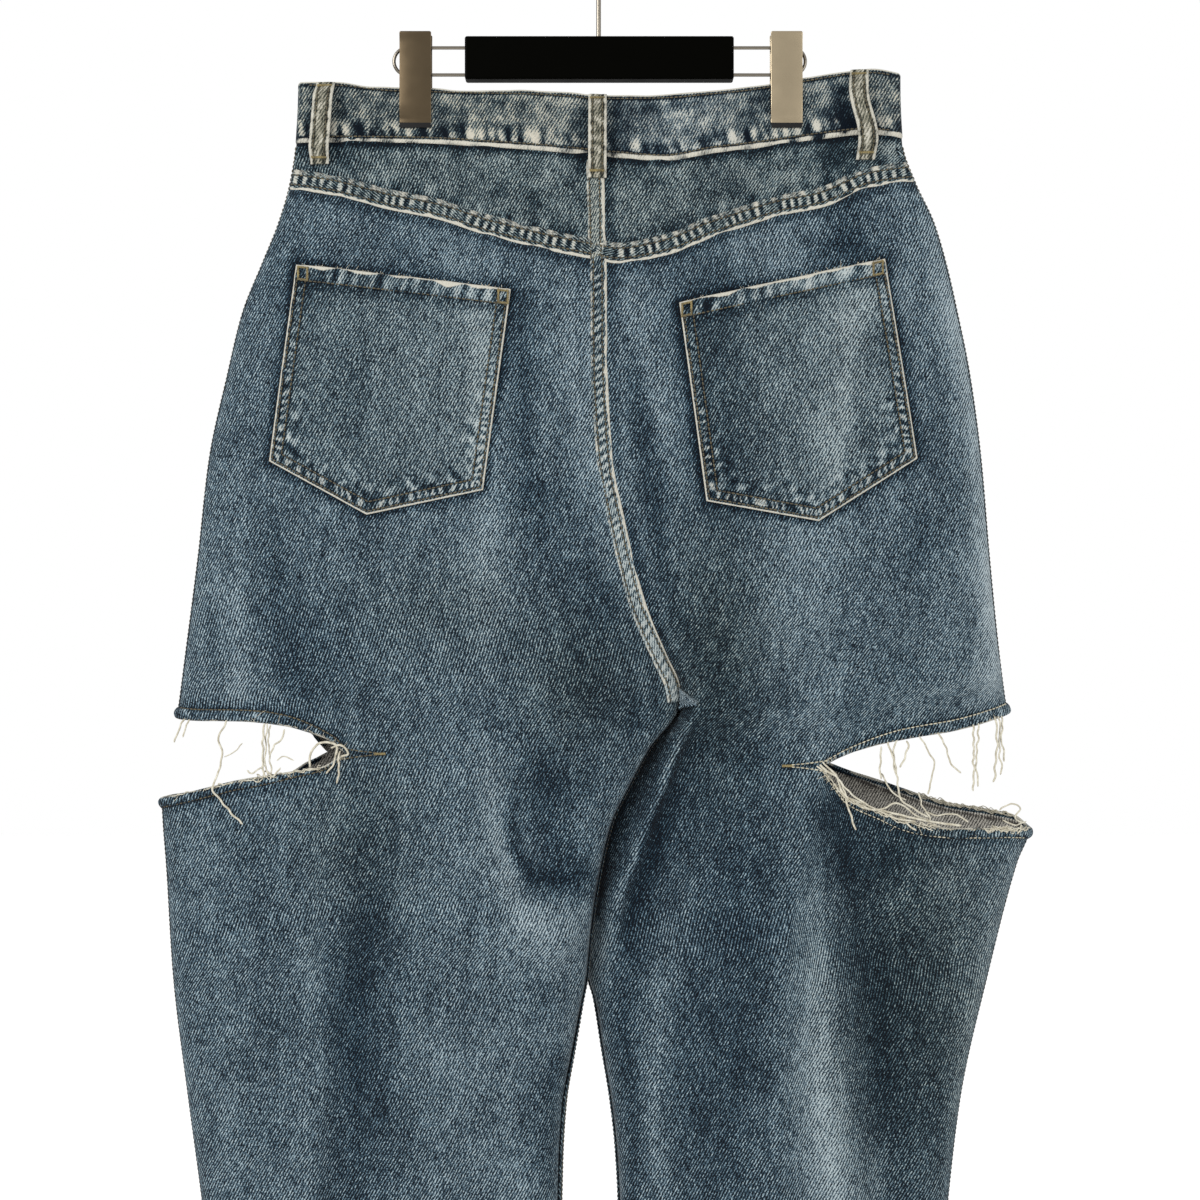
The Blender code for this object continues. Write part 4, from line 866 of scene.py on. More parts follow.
@dataclass
class ClothGrid:
    """One piece of cloth as a grid of places, from which a wall with two skins is made."""

    points: Array
    flat: Array
    thickness: Array | float = 1.2
    wear: Array | float = 0.0
    wash: Array | float = 0.0
    tint: Array | float = 0.0
    split_row: int = 0
    joined: Array | None = None
    turned: Array | None = None

    def mirror(self) -> None:
        """Turns the columns round, so that the face side looks the other way."""
        for label in ("points", "flat", "thickness", "wear", "wash", "tint", "turned"):
            values = getattr(self, label)
            if isinstance(values, np.ndarray):
                setattr(self, label, values[:, ::-1])
        self.joined = None if self.joined is None else self.joined[::-1]

    def numbers(self) -> Array:
        """Vertex numbers; where a column is joined, the rows at the slit share theirs."""
        rows, columns = self.points.shape[:2]
        ids = np.arange(rows * columns).reshape(rows, columns)
        if self.joined is not None:
            ids[self.split_row, self.joined] = ids[self.split_row - 1, self.joined]
        return ids

    def whole(self) -> Array:
        """Which of the grid's faces hold cloth."""
        rows, columns = self.points.shape[:2]
        kept = np.ones((rows - 1, columns - 1), bool)
        if self.joined is not None:
            kept[self.split_row - 1] = False
        return kept

    def cells(self, ids: Array) -> Array:
        """The grid's four-sided faces, without those that hold no cloth."""
        return np.stack([ids[:-1, :-1], ids[1:, :-1], ids[1:, 1:], ids[:-1, 1:]], axis=-1)[self.whole()]

    def cut_size(self) -> tuple[float, float, float]:
        """The flat cloth's width, length and area, in metres."""
        flat = self.flat.reshape(-1, 2)
        quads = flat[self.cells(self.numbers())]
        a, b = quads[:, 2] - quads[:, 0], quads[:, 3] - quads[:, 1]
        area = np.abs(a[:, 0] * b[:, 1] - a[:, 1] * b[:, 0]).sum() / 2
        wide, long = np.ptp(flat, axis=0)
        return float(wide * MM), float(long * MM), float(min(area * MM * MM, wide * long * MM * MM))

    def build(self, name: str, outside: Material, inside: Material) -> Object:
        """Makes the wall.

        Args:
            name: The piece's name.
            outside: The finish of its face side and its edges.
            inside: The finish of its wrong side.

        Returns:
            The object.
        """
        ids = self.numbers()
        cells = self.cells(ids)
        middle = self.points.reshape(-1, 3)
        corners = middle[cells]
        square = np.cross(corners[:, 2] - corners[:, 0], corners[:, 3] - corners[:, 1])
        normal = np.zeros_like(middle)
        for corner in range(4):
            np.add.at(normal, cells[:, corner], square)
        normal /= np.maximum(np.linalg.norm(normal, axis=1, keepdims=True), 1e-12)
        half = np.broadcast_to(self.thickness, self.points.shape[:2]).reshape(-1, 1) / 2
        count = len(middle)
        sides = np.concatenate([cells[:, [i, (i + 1) % 4]] for i in range(4)])
        _, first, uses = np.unique(np.sort(sides, axis=1), axis=0, return_index=True, return_counts=True)
        rim = sides[first[uses == 1]]
        rim_faces = np.stack([rim[:, 1], rim[:, 0], rim[:, 0] + count, rim[:, 1] + count], axis=1)
        faces = np.concatenate([cells, cells[:, ::-1] + count, rim_faces])
        used = np.unique(faces)
        number = np.full(2 * count, -1)
        number[used] = np.arange(len(used))
        points = np.concatenate([middle + normal * half, middle - normal * half])[used]
        obj = add_mesh(name, points, number[faces])
        obj.data.materials.append(outside)
        obj.data.materials.append(inside)
        kind = np.zeros(len(faces), np.int32)
        # A hem that is turned in shows the face of the cloth on the inside too.
        turned = np.zeros(self.points.shape[:2], bool) if self.turned is None else self.turned
        kind[len(cells) : 2 * len(cells)] = ~turned[:-1, :-1][self.whole()]
        obj.data.polygons.foreach_set("material_index", kind)
        shape = self.points.shape[:2]
        for label, values in (("wear", self.wear), ("wash", self.wash), ("tint", self.tint)):
            both = np.tile(np.broadcast_to(values, shape).ravel(), 2)
            add_value(obj, label, both[used])
        flat = np.tile(self.flat.reshape(-1, 2), (2, 1))[used] * MM
        loops = np.empty(len(obj.data.loops), np.int32)
        obj.data.loops.foreach_get("vertex_index", loops)
        layer = obj.data.uv_layers.new(name="cut")
        layer.data.foreach_set("uv", flat[loops].astype(np.float32).ravel())
        return obj


def orient(grid: ClothGrid, out: Array | tuple[float, float, float]) -> ClothGrid:
    """Turns a grid so that its face side looks the way out; returns the same grid."""
    points = grid.points
    square = np.cross(points[2:, 1:-1] - points[:-2, 1:-1], points[1:-1, 2:] - points[1:-1, :-2])
    if (square * np.broadcast_to(out, points.shape)[1:-1, 1:-1]).sum() < 0:
        grid.mirror()
    return grid


def linear(code: str) -> tuple[float, float, float, float]:
    """An sRGB colour such as "#5a6f7b" as linear values."""
    parts = [int(code[i : i + 2], 16) / 255 for i in (1, 3, 5)]
    return (*[c / 12.92 if c <= 0.04045 else ((c + 0.055) / 1.055) ** 2.4 for c in parts], 1.0)


def even_stops(*codes: str) -> tuple[tuple[float, str], ...]:
    """Colours from dark to light at even places from 0 to 1."""
    return tuple((i / (len(codes) - 1), code) for i, code in enumerate(codes))


def add_node(
    tree: bpy.types.NodeTree, kind: str, inputs: dict | None = None, **settings: object
) -> bpy.types.Node:
    """Adds a shader node.

    Args:
        tree: The node tree.
        kind: The node's type.
        inputs: For an input's name or number, its value or the socket that feeds it.
        settings: The node's own settings.

    Returns:
        The node.
    """
    node = tree.nodes.new(kind)
    for name, value in settings.items():
        setattr(node, name, value)
    for key, value in (inputs or {}).items():
        if isinstance(value, Socket):
            tree.links.new(value, node.inputs[key])
        else:
            node.inputs[key].default_value = value
    return node


class Shader:
    """A material's node tree, with the few moves that the finishes share."""

    def __init__(self, name: str) -> None:
        """Starts a material with only its output."""
        self.material = bpy.data.materials.new(name)
        self.material.use_nodes = True
        self.tree = self.material.node_tree
        self.tree.nodes.clear()

    def node(self, kind: str, inputs: dict | None = None, **settings: object) -> bpy.types.Node:
        """Adds a node to the tree."""
        return add_node(self.tree, kind, inputs, **settings)

    def math(self, operation: str, *values: object, clamp: bool = False) -> Socket:
        """The result of one operation on values or sockets."""
        inputs = dict(enumerate(values))
        return self.node("ShaderNodeMath", inputs, operation=operation, use_clamp=clamp).outputs[0]

    def noise(self, place: Socket, wide: float, long: float, detail: float = 1.0) -> Socket:
        """Noise about 0, about wide by long millimetres a blotch, on a place in metres."""
        scale = (1 / (wide * MM), 1 / (long * MM), 1 / (wide * MM))
        scaled = self.node("ShaderNodeMapping", {0: place, 3: scale}).outputs[0]
        noise = self.node("ShaderNodeTexNoise", {"Vector": scaled, "Scale": 1.0, "Detail": detail})
        return self.math("SUBTRACT", noise.outputs[0], 0.5)

    def ramp(self, value: Socket, stops: tuple[tuple[float, str], ...]) -> Socket:
        """A colour for each value, between the stops."""
        ramp = self.node("ShaderNodeValToRGB", {0: value})
        elements = ramp.color_ramp.elements
        while len(elements) < len(stops):
            elements.new(0.5)
        for element, (place, code) in zip(elements, stops):
            element.position = place
            element.color = linear(code)
        return ramp.outputs[0]

    def mix(self, share: object, first: object, second: object, blend: str = "MIX") -> Socket:
        """Two colours blended."""
        inputs = {0: share, 6: first, 7: second}
        return self.node("ShaderNodeMix", inputs, data_type="RGBA", blend_type=blend).outputs[2]

    def value(self, name: str) -> Socket:
        """A mesh's own named number."""
        return self.node("ShaderNodeAttribute", attribute_name=name).outputs["Fac"]

    def bump(self, height: Socket, distance: float, strength: float = 1.0) -> Socket:
        """A normal from a height, for relief of a distance in millimetres."""
        inputs = {"Height": height, "Distance": distance * MM, "Strength": strength}
        return self.node("ShaderNodeBump", inputs).outputs[0]

    def finish(self, **inputs: object) -> Material:
        """Ends with the surface shader; its inputs are given by name, with _ for a space."""
        named = {name.replace("_", " "): value for name, value in inputs.items()}
        surface = self.node("ShaderNodeBsdfPrincipled", named)
        self.node("ShaderNodeOutputMaterial", {0: surface.outputs[0]})
        return self.material


@dataclass(frozen=True)
class WashedDenim:
    """Indigo twill after a stone wash: pale weft shows between the dyed warp's diagonal ribs."""

    name: str = "stonewashed_indigo_denim"
    stops: tuple[tuple[float, str], ...] = even_stops("#060a10", "#16222b", "#36454f", "#61727b", "#8e9b9f")
    lightness: float = 0.385
    ribs: float = 0.36
    streak: float = 1.5
    salt: float = 1.6
    slub: float = 0.95
    blotch: float = 0.45
    cloud: float = 0.35
    relief: float = 0.25
    rib_pitch: float = 1.95
    rib_turn: float = -30.0
    wear_grain: float = 0.9
    roughness: float = 0.92
    cream: str = "#a3a095"
    olive: str = "#fff2de"

    def build(self) -> Material:
        """Makes the material; a cut's place on the cloth drives it, so the grain follows each piece."""
        shader = Shader(self.name)
        cut = shader.node("ShaderNodeUVMap", uv_map="cut").outputs[0]
        # The ribs of a right-hand twill climb at 60 degrees.  They are about twice as coarse as real ones, so
        # that they still read from two metres away.
        turned = shader.node("ShaderNodeMapping", {0: cut, 2: (0, 0, math.radians(self.rib_turn))}).outputs[0]
        across = shader.node("ShaderNodeSeparateXYZ", {0: turned}).outputs[0]
        wander = shader.math("MULTIPLY", shader.noise(cut, 16, 24), 4.0)
        phase = shader.math("MULTIPLY_ADD", across, 2 * math.pi / (self.rib_pitch * MM), wander)
        ribs = shader.math("SINE", phase)
        streak = shader.noise(turned, 0.75, 2.4)
        salt = shader.noise(cut, 0.8, 0.95)
        tone = shader.math("ADD", shader.value("wash"), self.lightness)
        for pattern, amount in (
            (ribs, self.ribs),
            (streak, self.streak),
            (salt, self.salt),
            (shader.noise(cut, 1.4, 8.0), self.slub),
            (shader.noise(cut, 9, 30, 2.0), self.blotch),
            (shader.noise(cut, 45, 80), self.cloud),
        ):
            tone = shader.math("MULTIPLY_ADD", pattern, amount, tone)
        colour = shader.ramp(tone, self.stops)
        # Where the wash couldn't reach, and where shade is painted, the indigo stays deep; where it rubbed,
        # and where light is painted, it greys.
        depth = shader.math("MULTIPLY_ADD", shader.value("wash"), -0.45, 1.04)
        colour = shader.node("ShaderNodeHueSaturation", {"Saturation": depth, "Color": colour}).outputs[0]
        aged = shader.mix(1.0, colour, linear(self.olive), "MULTIPLY")
        colour = shader.mix(shader.value("tint"), colour, aged)
        worn = shader.math("MULTIPLY_ADD", streak, self.wear_grain, shader.value("wear"))
        worn = shader.math("MULTIPLY_ADD", worn, 2.2, -0.6, clamp=True)
        colour = shader.mix(worn, colour, linear(self.cream))
        height = shader.math("MULTIPLY_ADD", ribs, 0.5, shader.math("MULTIPLY", streak, 1.2))
        return shader.finish(
            Base_Color=colour,
            Roughness=self.roughness,
            Specular_IOR_Level=0.1,
            # Cotton fibres stand up a little, which lifts the colour where the cloth turns away.
            Sheen_Weight=0.04,
            Sheen_Roughness=0.5,
            Normal=shader.bump(height, self.relief),
        )


@dataclass(frozen=True)
class Thread:
    """Spun cotton: matt, with a fine unevenness along it."""

    name: str
    colour: str
    dark: str
    roughness: float = 0.85

    def build(self) -> Material:
        """Makes the material."""
        shader = Shader(self.name)
        place = shader.node("ShaderNodeNewGeometry").outputs["Position"]
        share = shader.math("MULTIPLY_ADD", shader.noise(place, 3, 3), 2.2, 0.5, clamp=True)
        colour = shader.mix(share, linear(self.dark), linear(self.colour))
        return shader.finish(Base_Color=colour, Roughness=self.roughness, Sheen_Weight=0.1)


@dataclass(frozen=True)
class Coated:
    """A smooth, hard finish with faint handling marks: lacquer, plated metal, or moulded rubber."""

    name: str
    colour: str
    roughness: float
    metallic: float = 0.0
    marks: float = 0.08
    specular: float = 0.5

    def build(self) -> Material:
        """Makes the material."""
        shader = Shader(self.name)
        place = shader.node("ShaderNodeNewGeometry").outputs["Position"]
        marks = shader.noise(place, 9, 9, 3.0)
        roughness = shader.math("MULTIPLY_ADD", marks, self.marks * 2, self.roughness)
        return shader.finish(
            Base_Color=linear(self.colour),
            Metallic=self.metallic,
            Roughness=roughness,
            Specular_IOR_Level=self.specular,
            Normal=shader.bump(shader.noise(place, 1.2, 1.2), 0.02, 0.3),
        )


@dataclass(frozen=True)
class Palette:
    """Every finish that the jeans and the hanger wear."""

    denim: Material
    band: Material
    faded: Material
    inside: Material
    pale_thread: Material
    tan_thread: Material
    amber_thread: Material
    loose_thread: Material
    lacquer: Material
    wire: Material
    nickel: Material
    darker_nickel: Material
    spring: Material
    rubber: Material
    button: Material
    floor: Material

    @staticmethod
    def build() -> "Palette":
        """Makes them all."""
        band = WashedDenim(
            "stonewashed_band_denim", even_stops("#080d14", "#1c2730", "#404d55", "#707b7f", "#9c9f99"),
            lightness=0.42, ribs=0.3, streak=1.25, salt=1.3, slub=0.8, blotch=0.65,
        )
        faded = WashedDenim(
            "faded_loop_denim", even_stops("#141514", "#31342f", "#5a594e", "#807d70", "#a09d91"),
            lightness=0.54, ribs=0.2, streak=0.8, salt=0.8, cloud=0.0,
        )
        # The wrong side shows the undyed weft, greyed by the wash.
        inside = WashedDenim(
            "undyed_wrong_side_of_denim", even_stops("#3a3836", "#62605c", "#8a8781", "#aaa79f", "#c4c1b8"),
            lightness=0.56, slub=0.4,
        )
        return Palette(
            denim=WashedDenim().build(),
            band=band.build(),
            faded=faded.build(),
            inside=inside.build(),
            pale_thread=Thread("undyed_cotton_thread", "#b0ab97", "#837d6a").build(),
            tan_thread=Thread("tan_cotton_thread", "#544b31", "#2a2517").build(),
            amber_thread=Thread("amber_bartack_thread", "#7c6e45", "#4d4327").build(),
            loose_thread=Thread("loose_cotton_yarn", "#b9b5a6", "#938c79").build(),
            # A dull lacquer: it gives back almost nothing of the white room.
            lacquer=Coated("black_lacquer_on_beech", "#010100", 0.5, specular=0.015).build(),
            wire=Coated("bright_nickel_plated_wire", "#736d63", 0.2, 1.0).build(),
            nickel=Coated("satin_nickel_plate", "#978a73", 0.3, 1.0).build(),
            # The left clip's plates wear a darker, browner nickel than the right one's.
            darker_nickel=Coated("darker_nickel_plate", "#514636", 0.32, 1.0).build(),
            spring=Coated("spring_steel", "#5e5b55", 0.3, 1.0).build(),
            rubber=Coated("black_rubber_jaw", "#0b0a0a", 0.7, specular=0.2).build(),
            button=Coated("aged_nickel_button", "#5a5040", 0.42, 1.0, marks=0.2).build(),
            floor=Coated("matt_white_board", "#ffffff", 0.9, marks=0.0).build(),
        )


@dataclass
class Strands:
    """Thin tubes of thread, gathered into one mesh."""

    sides: int = 5
    points: list[Array] = field(default_factory=list)
    faces: list[Array] = field(default_factory=list)
    count: int = 0

    def tube_faces(self, rings: int) -> Array:
        """The faces of a tube of some rings, as numbers of its own points."""
        ring, i = np.meshgrid(np.arange(rings - 1), np.arange(self.sides), indexing="ij")
        a, b = ring * self.sides + i, ring * self.sides + (i + 1) % self.sides
        return np.stack([a, b, b + self.sides, a + self.sides], axis=-1).reshape(-1, 4)

    def gather(self, points: Array, rings: int) -> None:
        """Adds tubes of some rings each, from their points, N by M by 3."""
        offsets = self.count + np.arange(len(points)) * points.shape[1]
        self.faces.append((self.tube_faces(rings)[None] + offsets[:, None, None]).reshape(-1, 4))
        self.points.append(points.reshape(-1, 3))
        self.count += points.size // 3

    def build(self, name: str, finish: Material, slot: str) -> Object:
        """Makes the mesh of them all."""
        obj = add_mesh(name, np.concatenate(self.points), np.concatenate(self.faces))
        obj.data.materials.append(finish)
        return obj


@dataclass
class Stitching(Strands):
    """Rows of stitches of one thread."""

    pitch: float = 3.2
    gap: float = 0.6
    radius: float = 0.5
    bar_pitch: float = 0.62
    bar_radius: float = 0.42
    # Places along a stitch, and its thickness there.
    profile: tuple[Point, ...] = ((0.0, 0.35), (0.25, 1.0), (0.75, 1.0), (1.0, 0.35))

    def spindle(self, start: Array, end: Array, out: Array, radius: float) -> None:
        """Adds stitches.

        Args:
            start: Where each begins, N by 3.
            end: Where each ends.
            out: The way out of the cloth there.
            radius: Half the thread's thickness.
        """
        along = end - start
        length = np.linalg.norm(along, axis=1, keepdims=True)
        along = along / np.maximum(length, 1e-9)
        side = np.cross(along, out)
        side /= np.maximum(np.linalg.norm(side, axis=1, keepdims=True), 1e-9)
        out = np.cross(side, along)
        rings = []
        for share, size in self.profile:
            middle = start + along * length * share + out * radius * (size - 0.4)
            for i in range(self.sides):
                turn = 2 * math.pi * i / self.sides
                rings.append(middle + (side * math.cos(turn) + out * math.sin(turn)) * radius * size)
        self.gather(np.stack(rings, axis=1), len(self.profile))

    def row(self, path: Array, out: Array) -> None:
        """A row of stitches along a path of points, with the way out at each."""
        path, out = np.asarray(path, float), np.asarray(out, float)
        steps = np.linalg.norm(np.diff(path, axis=0), axis=1)
        run = np.concatenate([[0], np.cumsum(steps)])
        count = max(1, int(run[-1] / self.pitch))
        starts = (np.arange(count) + 0.08) * run[-1] / count
        ends = starts + run[-1] / count - self.gap

        def at(places: Array, values: Array) -> Array:
            """Values between the path's points."""
            return np.stack([np.interp(places, run, values[:, i]) for i in range(3)], axis=1)

        self.spindle(at(starts, path), at(ends, path), at((starts + ends) / 2, out), self.radius)

    def sew(self, face: Face, side: Side, x: Array, drop: Array, lift: Array | float) -> None:
        """A row along places on a panel, at a lift off the middle of its cloth."""
        self.row(*FORM.lifted(face, side, x, drop, lift))

    def bar(self, spot: Spots, along: Array, across: Array, length: float, width: float) -> None:
        """A bartack: dense stitches laid across one short line.

        Args:
            spot: Its middle, and the way out of the cloth.
            along: The line's way.
            across: The stitches' way.
            length: Of the line.
            width: Of the stitches.
        """
        middle, out = spot
        places = np.arange(-length / 2, length / 2, self.bar_pitch)
        centres = middle + np.outer(places, along)
        lean = np.outer(np.resize((0.25, -0.25), len(places)), along)
        half = np.broadcast_to(np.asarray(across) * width / 2, centres.shape)
        out = np.broadcast_to(out, centres.shape)
        self.spindle(centres - half + lean, centres + half - lean, out, self.bar_radius)


@dataclass
class Yarns(Strands):
    """Loose yarns, fray and wires."""

    def tube(self, path: Array, radius: float | Array) -> None:
        """Adds one yarn along a path of points, N by 3, that ends in points."""
        path = np.asarray(path, float)
        along = np.gradient(path, axis=0)
        along /= np.maximum(np.linalg.norm(along, axis=1, keepdims=True), 1e-9)
        side = np.cross(along, (0.31, -0.9, 0.3))
        side /= np.maximum(np.linalg.norm(side, axis=1, keepdims=True), 1e-9)
        out = np.cross(side, along)
        size = np.broadcast_to(radius, len(path)).astype(float).copy()
        size[0] *= 0.5
        size[-1] *= 0.3
        turns = 2 * math.pi * np.arange(self.sides) / self.sides
        ring = side[:, None] * np.cos(turns)[None, :, None] + out[:, None] * np.sin(turns)[None, :, None]
        points = path[:, None] + ring * size[:, None, None]
        self.gather(points.reshape(1, -1, 3), len(path))


def smooth_path(knots: Iterable[tuple[float, float]], spacing: float) -> Array:
    """A smooth curve through knots, as points about one spacing apart."""
    knots = np.array(list(knots), float)
    padded = np.concatenate([knots[:1] * 2 - knots[1:2], knots, knots[-1:] * 2 - knots[-2:-1]])
    points = []
    for a, b, c, d in zip(padded, padded[1:], padded[2:], padded[3:]):
        steps = max(2, int(np.linalg.norm(c - b) / spacing) + 1)
        t = np.linspace(0, 1, steps, endpoint=False)[:, None]
        second, third = a - 2.5 * b + 2 * c - d / 2, 1.5 * (b - c) + (d - a) / 2
        points.append(b + t * (c - a) / 2 + t**2 * second + t**3 * third)
    return np.concatenate([*points, knots[-1:]])


def arc(points: Array, axis: int) -> Array:
    """Distance run along one axis of a grid of points."""
    steps = np.linalg.norm(np.diff(points, axis=axis), axis=-1)
    start = np.zeros_like(np.take(steps, [0], axis=axis))
    return np.concatenate([start, np.cumsum(steps, axis=axis)], axis=axis)


ACROSS = np.array((1.0, 0.0, 0.0))
UP = np.array((0.0, 0.0, 1.0))


@dataclass
class Tailor:
    palette: Palette
    cloth: float = 1.2
    fibre: float = 0.2
    droop: float = 0.3
    pale: Stitching = field(default_factory=Stitching)
    tan: Stitching = field(default_factory=lambda: Stitching(sides=4))
    amber: Stitching = field(default_factory=Stitching)
    fray: Yarns = field(default_factory=lambda: Yarns(sides=3))

    def lay(
        self,
        name: str,
        grid: ClothGrid,
        node: str | None = None,
        finish: Material | None = None,
    ) -> None:
        """Makes one piece of cloth and hides the solid that it stands for.

        Args:
            name: The piece's name.
            grid: Its cut and shape.
            node: The solid that it stands for.
            finish: Of its face side, where it isn't the common denim.
        """
        obj = grid.build(name, finish or self.palette.denim, self.palette.inside)
        width, length, area = grid.cut_size()
        if node:
            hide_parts(node)
        faces = len(obj.data.polygons)
        LOG.info("%s: %.0f by %.0f mm of cloth, %d faces", name, width / MM, length / MM, faces)

    def frayed_edge(self, edge: Spots, up: float, per_mm: float, reach: float, seed: int) -> None:
        """Short fibres that stand out of a worn edge.

        Args:
            edge: Points along the edge, and the way out of the cloth at each.
            up: 1 where the way off the edge is upwards, -1 where it is downwards.
            per_mm: How many fibres for each millimetre.
            reach: Their usual length.
            seed: For their chances.
        """
        path, off = edge[0], UP * up
        chance = np.random.default_rng(seed)
        run = arc(path[None], 1)[0]
        for place in chance.uniform(0, run[-1], int(run[-1] * per_mm)):
            foot, outward = (np.array([np.interp(place, run, v[:, i]) for i in range(3)]) for v in edge)
            along = np.cross(outward, off)
            length = reach * chance.lognormal(0, 0.5)
            lean, lift, curl = chance.normal(0, 0.7), chance.uniform(0.05, 0.6), chance.normal(0, 0.35)
            way = off + along * lean + outward * lift
            way /= np.linalg.norm(way)
            t = np.linspace(0, 1, 4)[:, None]
            bend = (along * curl - outward * self.droop) * length * t**2
            self.fray.tube(foot + way * length * t + bend, self.fibre)


@dataclass
class LegPanel:
    """One leg panel from its top seam to the hem, with the hemmed rip cut in from the side seam.

    Lengths are in millimetres.  Names that end in bare are shares of wear, and those that end in wash or dark
    are shares of wash that lighten or darken; those that end in shade or shadow are shares of painted shade.
    """

    face: Face
    side: Side
    column: float = 2.9
    row: float = 4.6
    crowd: float = 0.45
    crotch_row_rise: float = 24.0
    rip_line_fall: float = 8.0
    rip_hem: float = 7.0
    leg_hem: float = 14.0
    hem_step: float = 2.5
    stitched: tuple[float, float] = (7.6, 6.4)
    front_turn: float = 3.0
    tuck: float = 4.0
    mouth_rows: tuple[float, float] = (2.2, 8.0)
    mouth_start: float = 118.0
    mouth_width: float = 105.0
    mouth_depth: float = 66.0
    usual_width: float = 290.0
    settling_steps: int = 7
    # Rows near a rip's edge, across the end of its hem, and near the leg's hem, in a finer mesh.
    turn_rows: tuple[float, ...] = (0.0, 0.4, 1.0, 1.8, 2.8, 3.8, 4.8, 5.6, 6.2)
    upper_rows: tuple[float, ...] = (1.6, 0.8, 0.2)
    lower_rows: tuple[float, ...] = (-0.2, 0.5, 1.4)
    hem_rows: tuple[float, ...] = (11.0, 8.0, 5.0, 2.4, 0.8, 0.0)
    cloth: float = 1.2
    rip_extra: float = 1.3
    hem_extra: float = 1.4
    rope_pitch: float = 6.5
    mouth_rope_pitch: float = 7.0
    fibre: float = 2.6
    dart: float = 26.0
    dart_spread: float = 3.2
    edge_round: float = 1.6
    edge_thin: float = 0.45
    hem_worn: float = 1.2
    hem_stitch_up: float = 1.5
    side_swell: float = 2.6
    stitch_lift: float = 1.35
    worn_lift: float = 1.6
    dart_lift: float = 0.9
    tack_lift: float = 1.0
    tack_long: float = 8.0
    tack_wide: float = 2.0
    # Loose fibres to a millimetre: on most edges, on the back's lower one, and on the right's lower ones.
    fray: tuple[float, float, float] = (0.8, 1.5, 2.6)
    # Shares of wear at the rip's edge, its hem's ropes, the leg's hem and the pocket's mouth.
    edge_bare: float = 0.9
    rope_bare: float = 0.16
    end_bare: float = 0.6
    mouth_bare: float = 0.75
    # Shares of wash: ropes and ripples lighten and darken; painted shade darkens the stitch rows' grooves,
    # and a painted shadow the folds' feet.
    rope_wash: float = 0.13
    ripple_wash: float = 0.06
    hem_wash: float = 0.10
    mouth_wash: float = 0.26
    hem_dark: float = 0.08
    groove_shade: float = 0.62
    line_groove_shade: float = 0.42
    foot_dark: float = 0.16

    @property
    def name(self) -> str:
        """The panel's node."""
        return f"{self.face.label}_{self.side.label}"

    def scoop(self, x: Array) -> Array:
        """How far below the waist seam the front pocket's mouth lies."""
        t = np.clip((self.side.value * x - self.mouth_start) / self.mouth_width, 0, 1)
        return self.mouth_depth * np.sqrt(1 - (1 - t) ** 2)

    def top_seam(self, x: Array) -> Array:
        """Drop of the panel's top edge."""
        if self.face is Face.BACK:
            return FORM.edge(self.face, "yoke", x)
        scoop = self.scoop(x)
        return FORM.edge(self.face, "waist", x) + scoop - self.tuck * fade(0, 6, scoop)

    def cross_row(self, across: Array, seam: Callable[[Array], Array]) -> Array:
        """Drops of a row that follows a cross seam, found by stepping towards it."""
        drop = seam(0 * across)
        for _ in range(self.settling_steps):
            drop = seam(FORM.x_at(self.face, self.side, across, drop))
        return drop

    def columns(self) -> Array:
        """Shares across the leg, with one at the rip's tip."""
        tip, step = RIPS[self.face, self.side][0].across, self.column / self.usual_width
        return np.concatenate([spread(0, tip, step, self.crowd), spread(tip, 1, step, self.crowd)[1:]])

    def rip(self, across: Array) -> Spots:
        """Drops of the rip's two edges; inside its tip they are one line."""
        edges = RIPS[self.face, self.side]
        tip = edges[0].across
        level = edges[0].upper + (tip - across) * self.rip_line_fall
        torn = across > tip
        upper, lower = (column_curve(edges, "across", name)(across) for name in ("upper", "lower"))
        return np.where(torn, upper, level), np.where(torn, lower, level)

    def taper(self, across: Array) -> Array:
        """The rip's hem width near its tip, as a share of its full width."""
        tip = RIPS[self.face, self.side][0].across
        return 0.35 + 0.65 * ease(tip, tip + 0.2, across)

    def rows(self, across: Array, top: Array) -> tuple[Array, int]:
        """The drops of its rows.

        Args:
            across: The columns' shares across the leg.
            top: The first row.

        Returns:
            The drops, and the number of the first row below the rip.
        """
        crotch = FORM.crotch_drop - self.crotch_row_rise * across
        upper, lower = self.rip(across)
        hem = np.full(len(across), FORM.leg_length)

        def between(first: Array, last: Array) -> list[Array]:
            """Rows from one row to before another."""
            count = max(2, int(np.max(last - first) / self.row))
            return [first + (last - first) * i / count for i in range(count)]

        rows = between(top, crotch) + between(crotch, upper - self.rip_hem - self.hem_step)
        rows += [upper - self.rip_hem - step for step in (self.hem_step, *self.upper_rows)]
        rows += [upper - step for step in self.turn_rows[::-1]]
        split = len(rows)
        rows += [lower + step for step in self.turn_rows]
        rows += [lower + self.rip_hem + step for step in self.lower_rows]
        rows += between(lower + self.rip_hem + self.hem_step, hem - self.leg_hem - self.hem_step)
        rows += [hem - self.leg_hem - self.hem_step, hem - self.leg_hem]
        rows += [hem - step for step in self.hem_rows]
        return np.array(rows), split

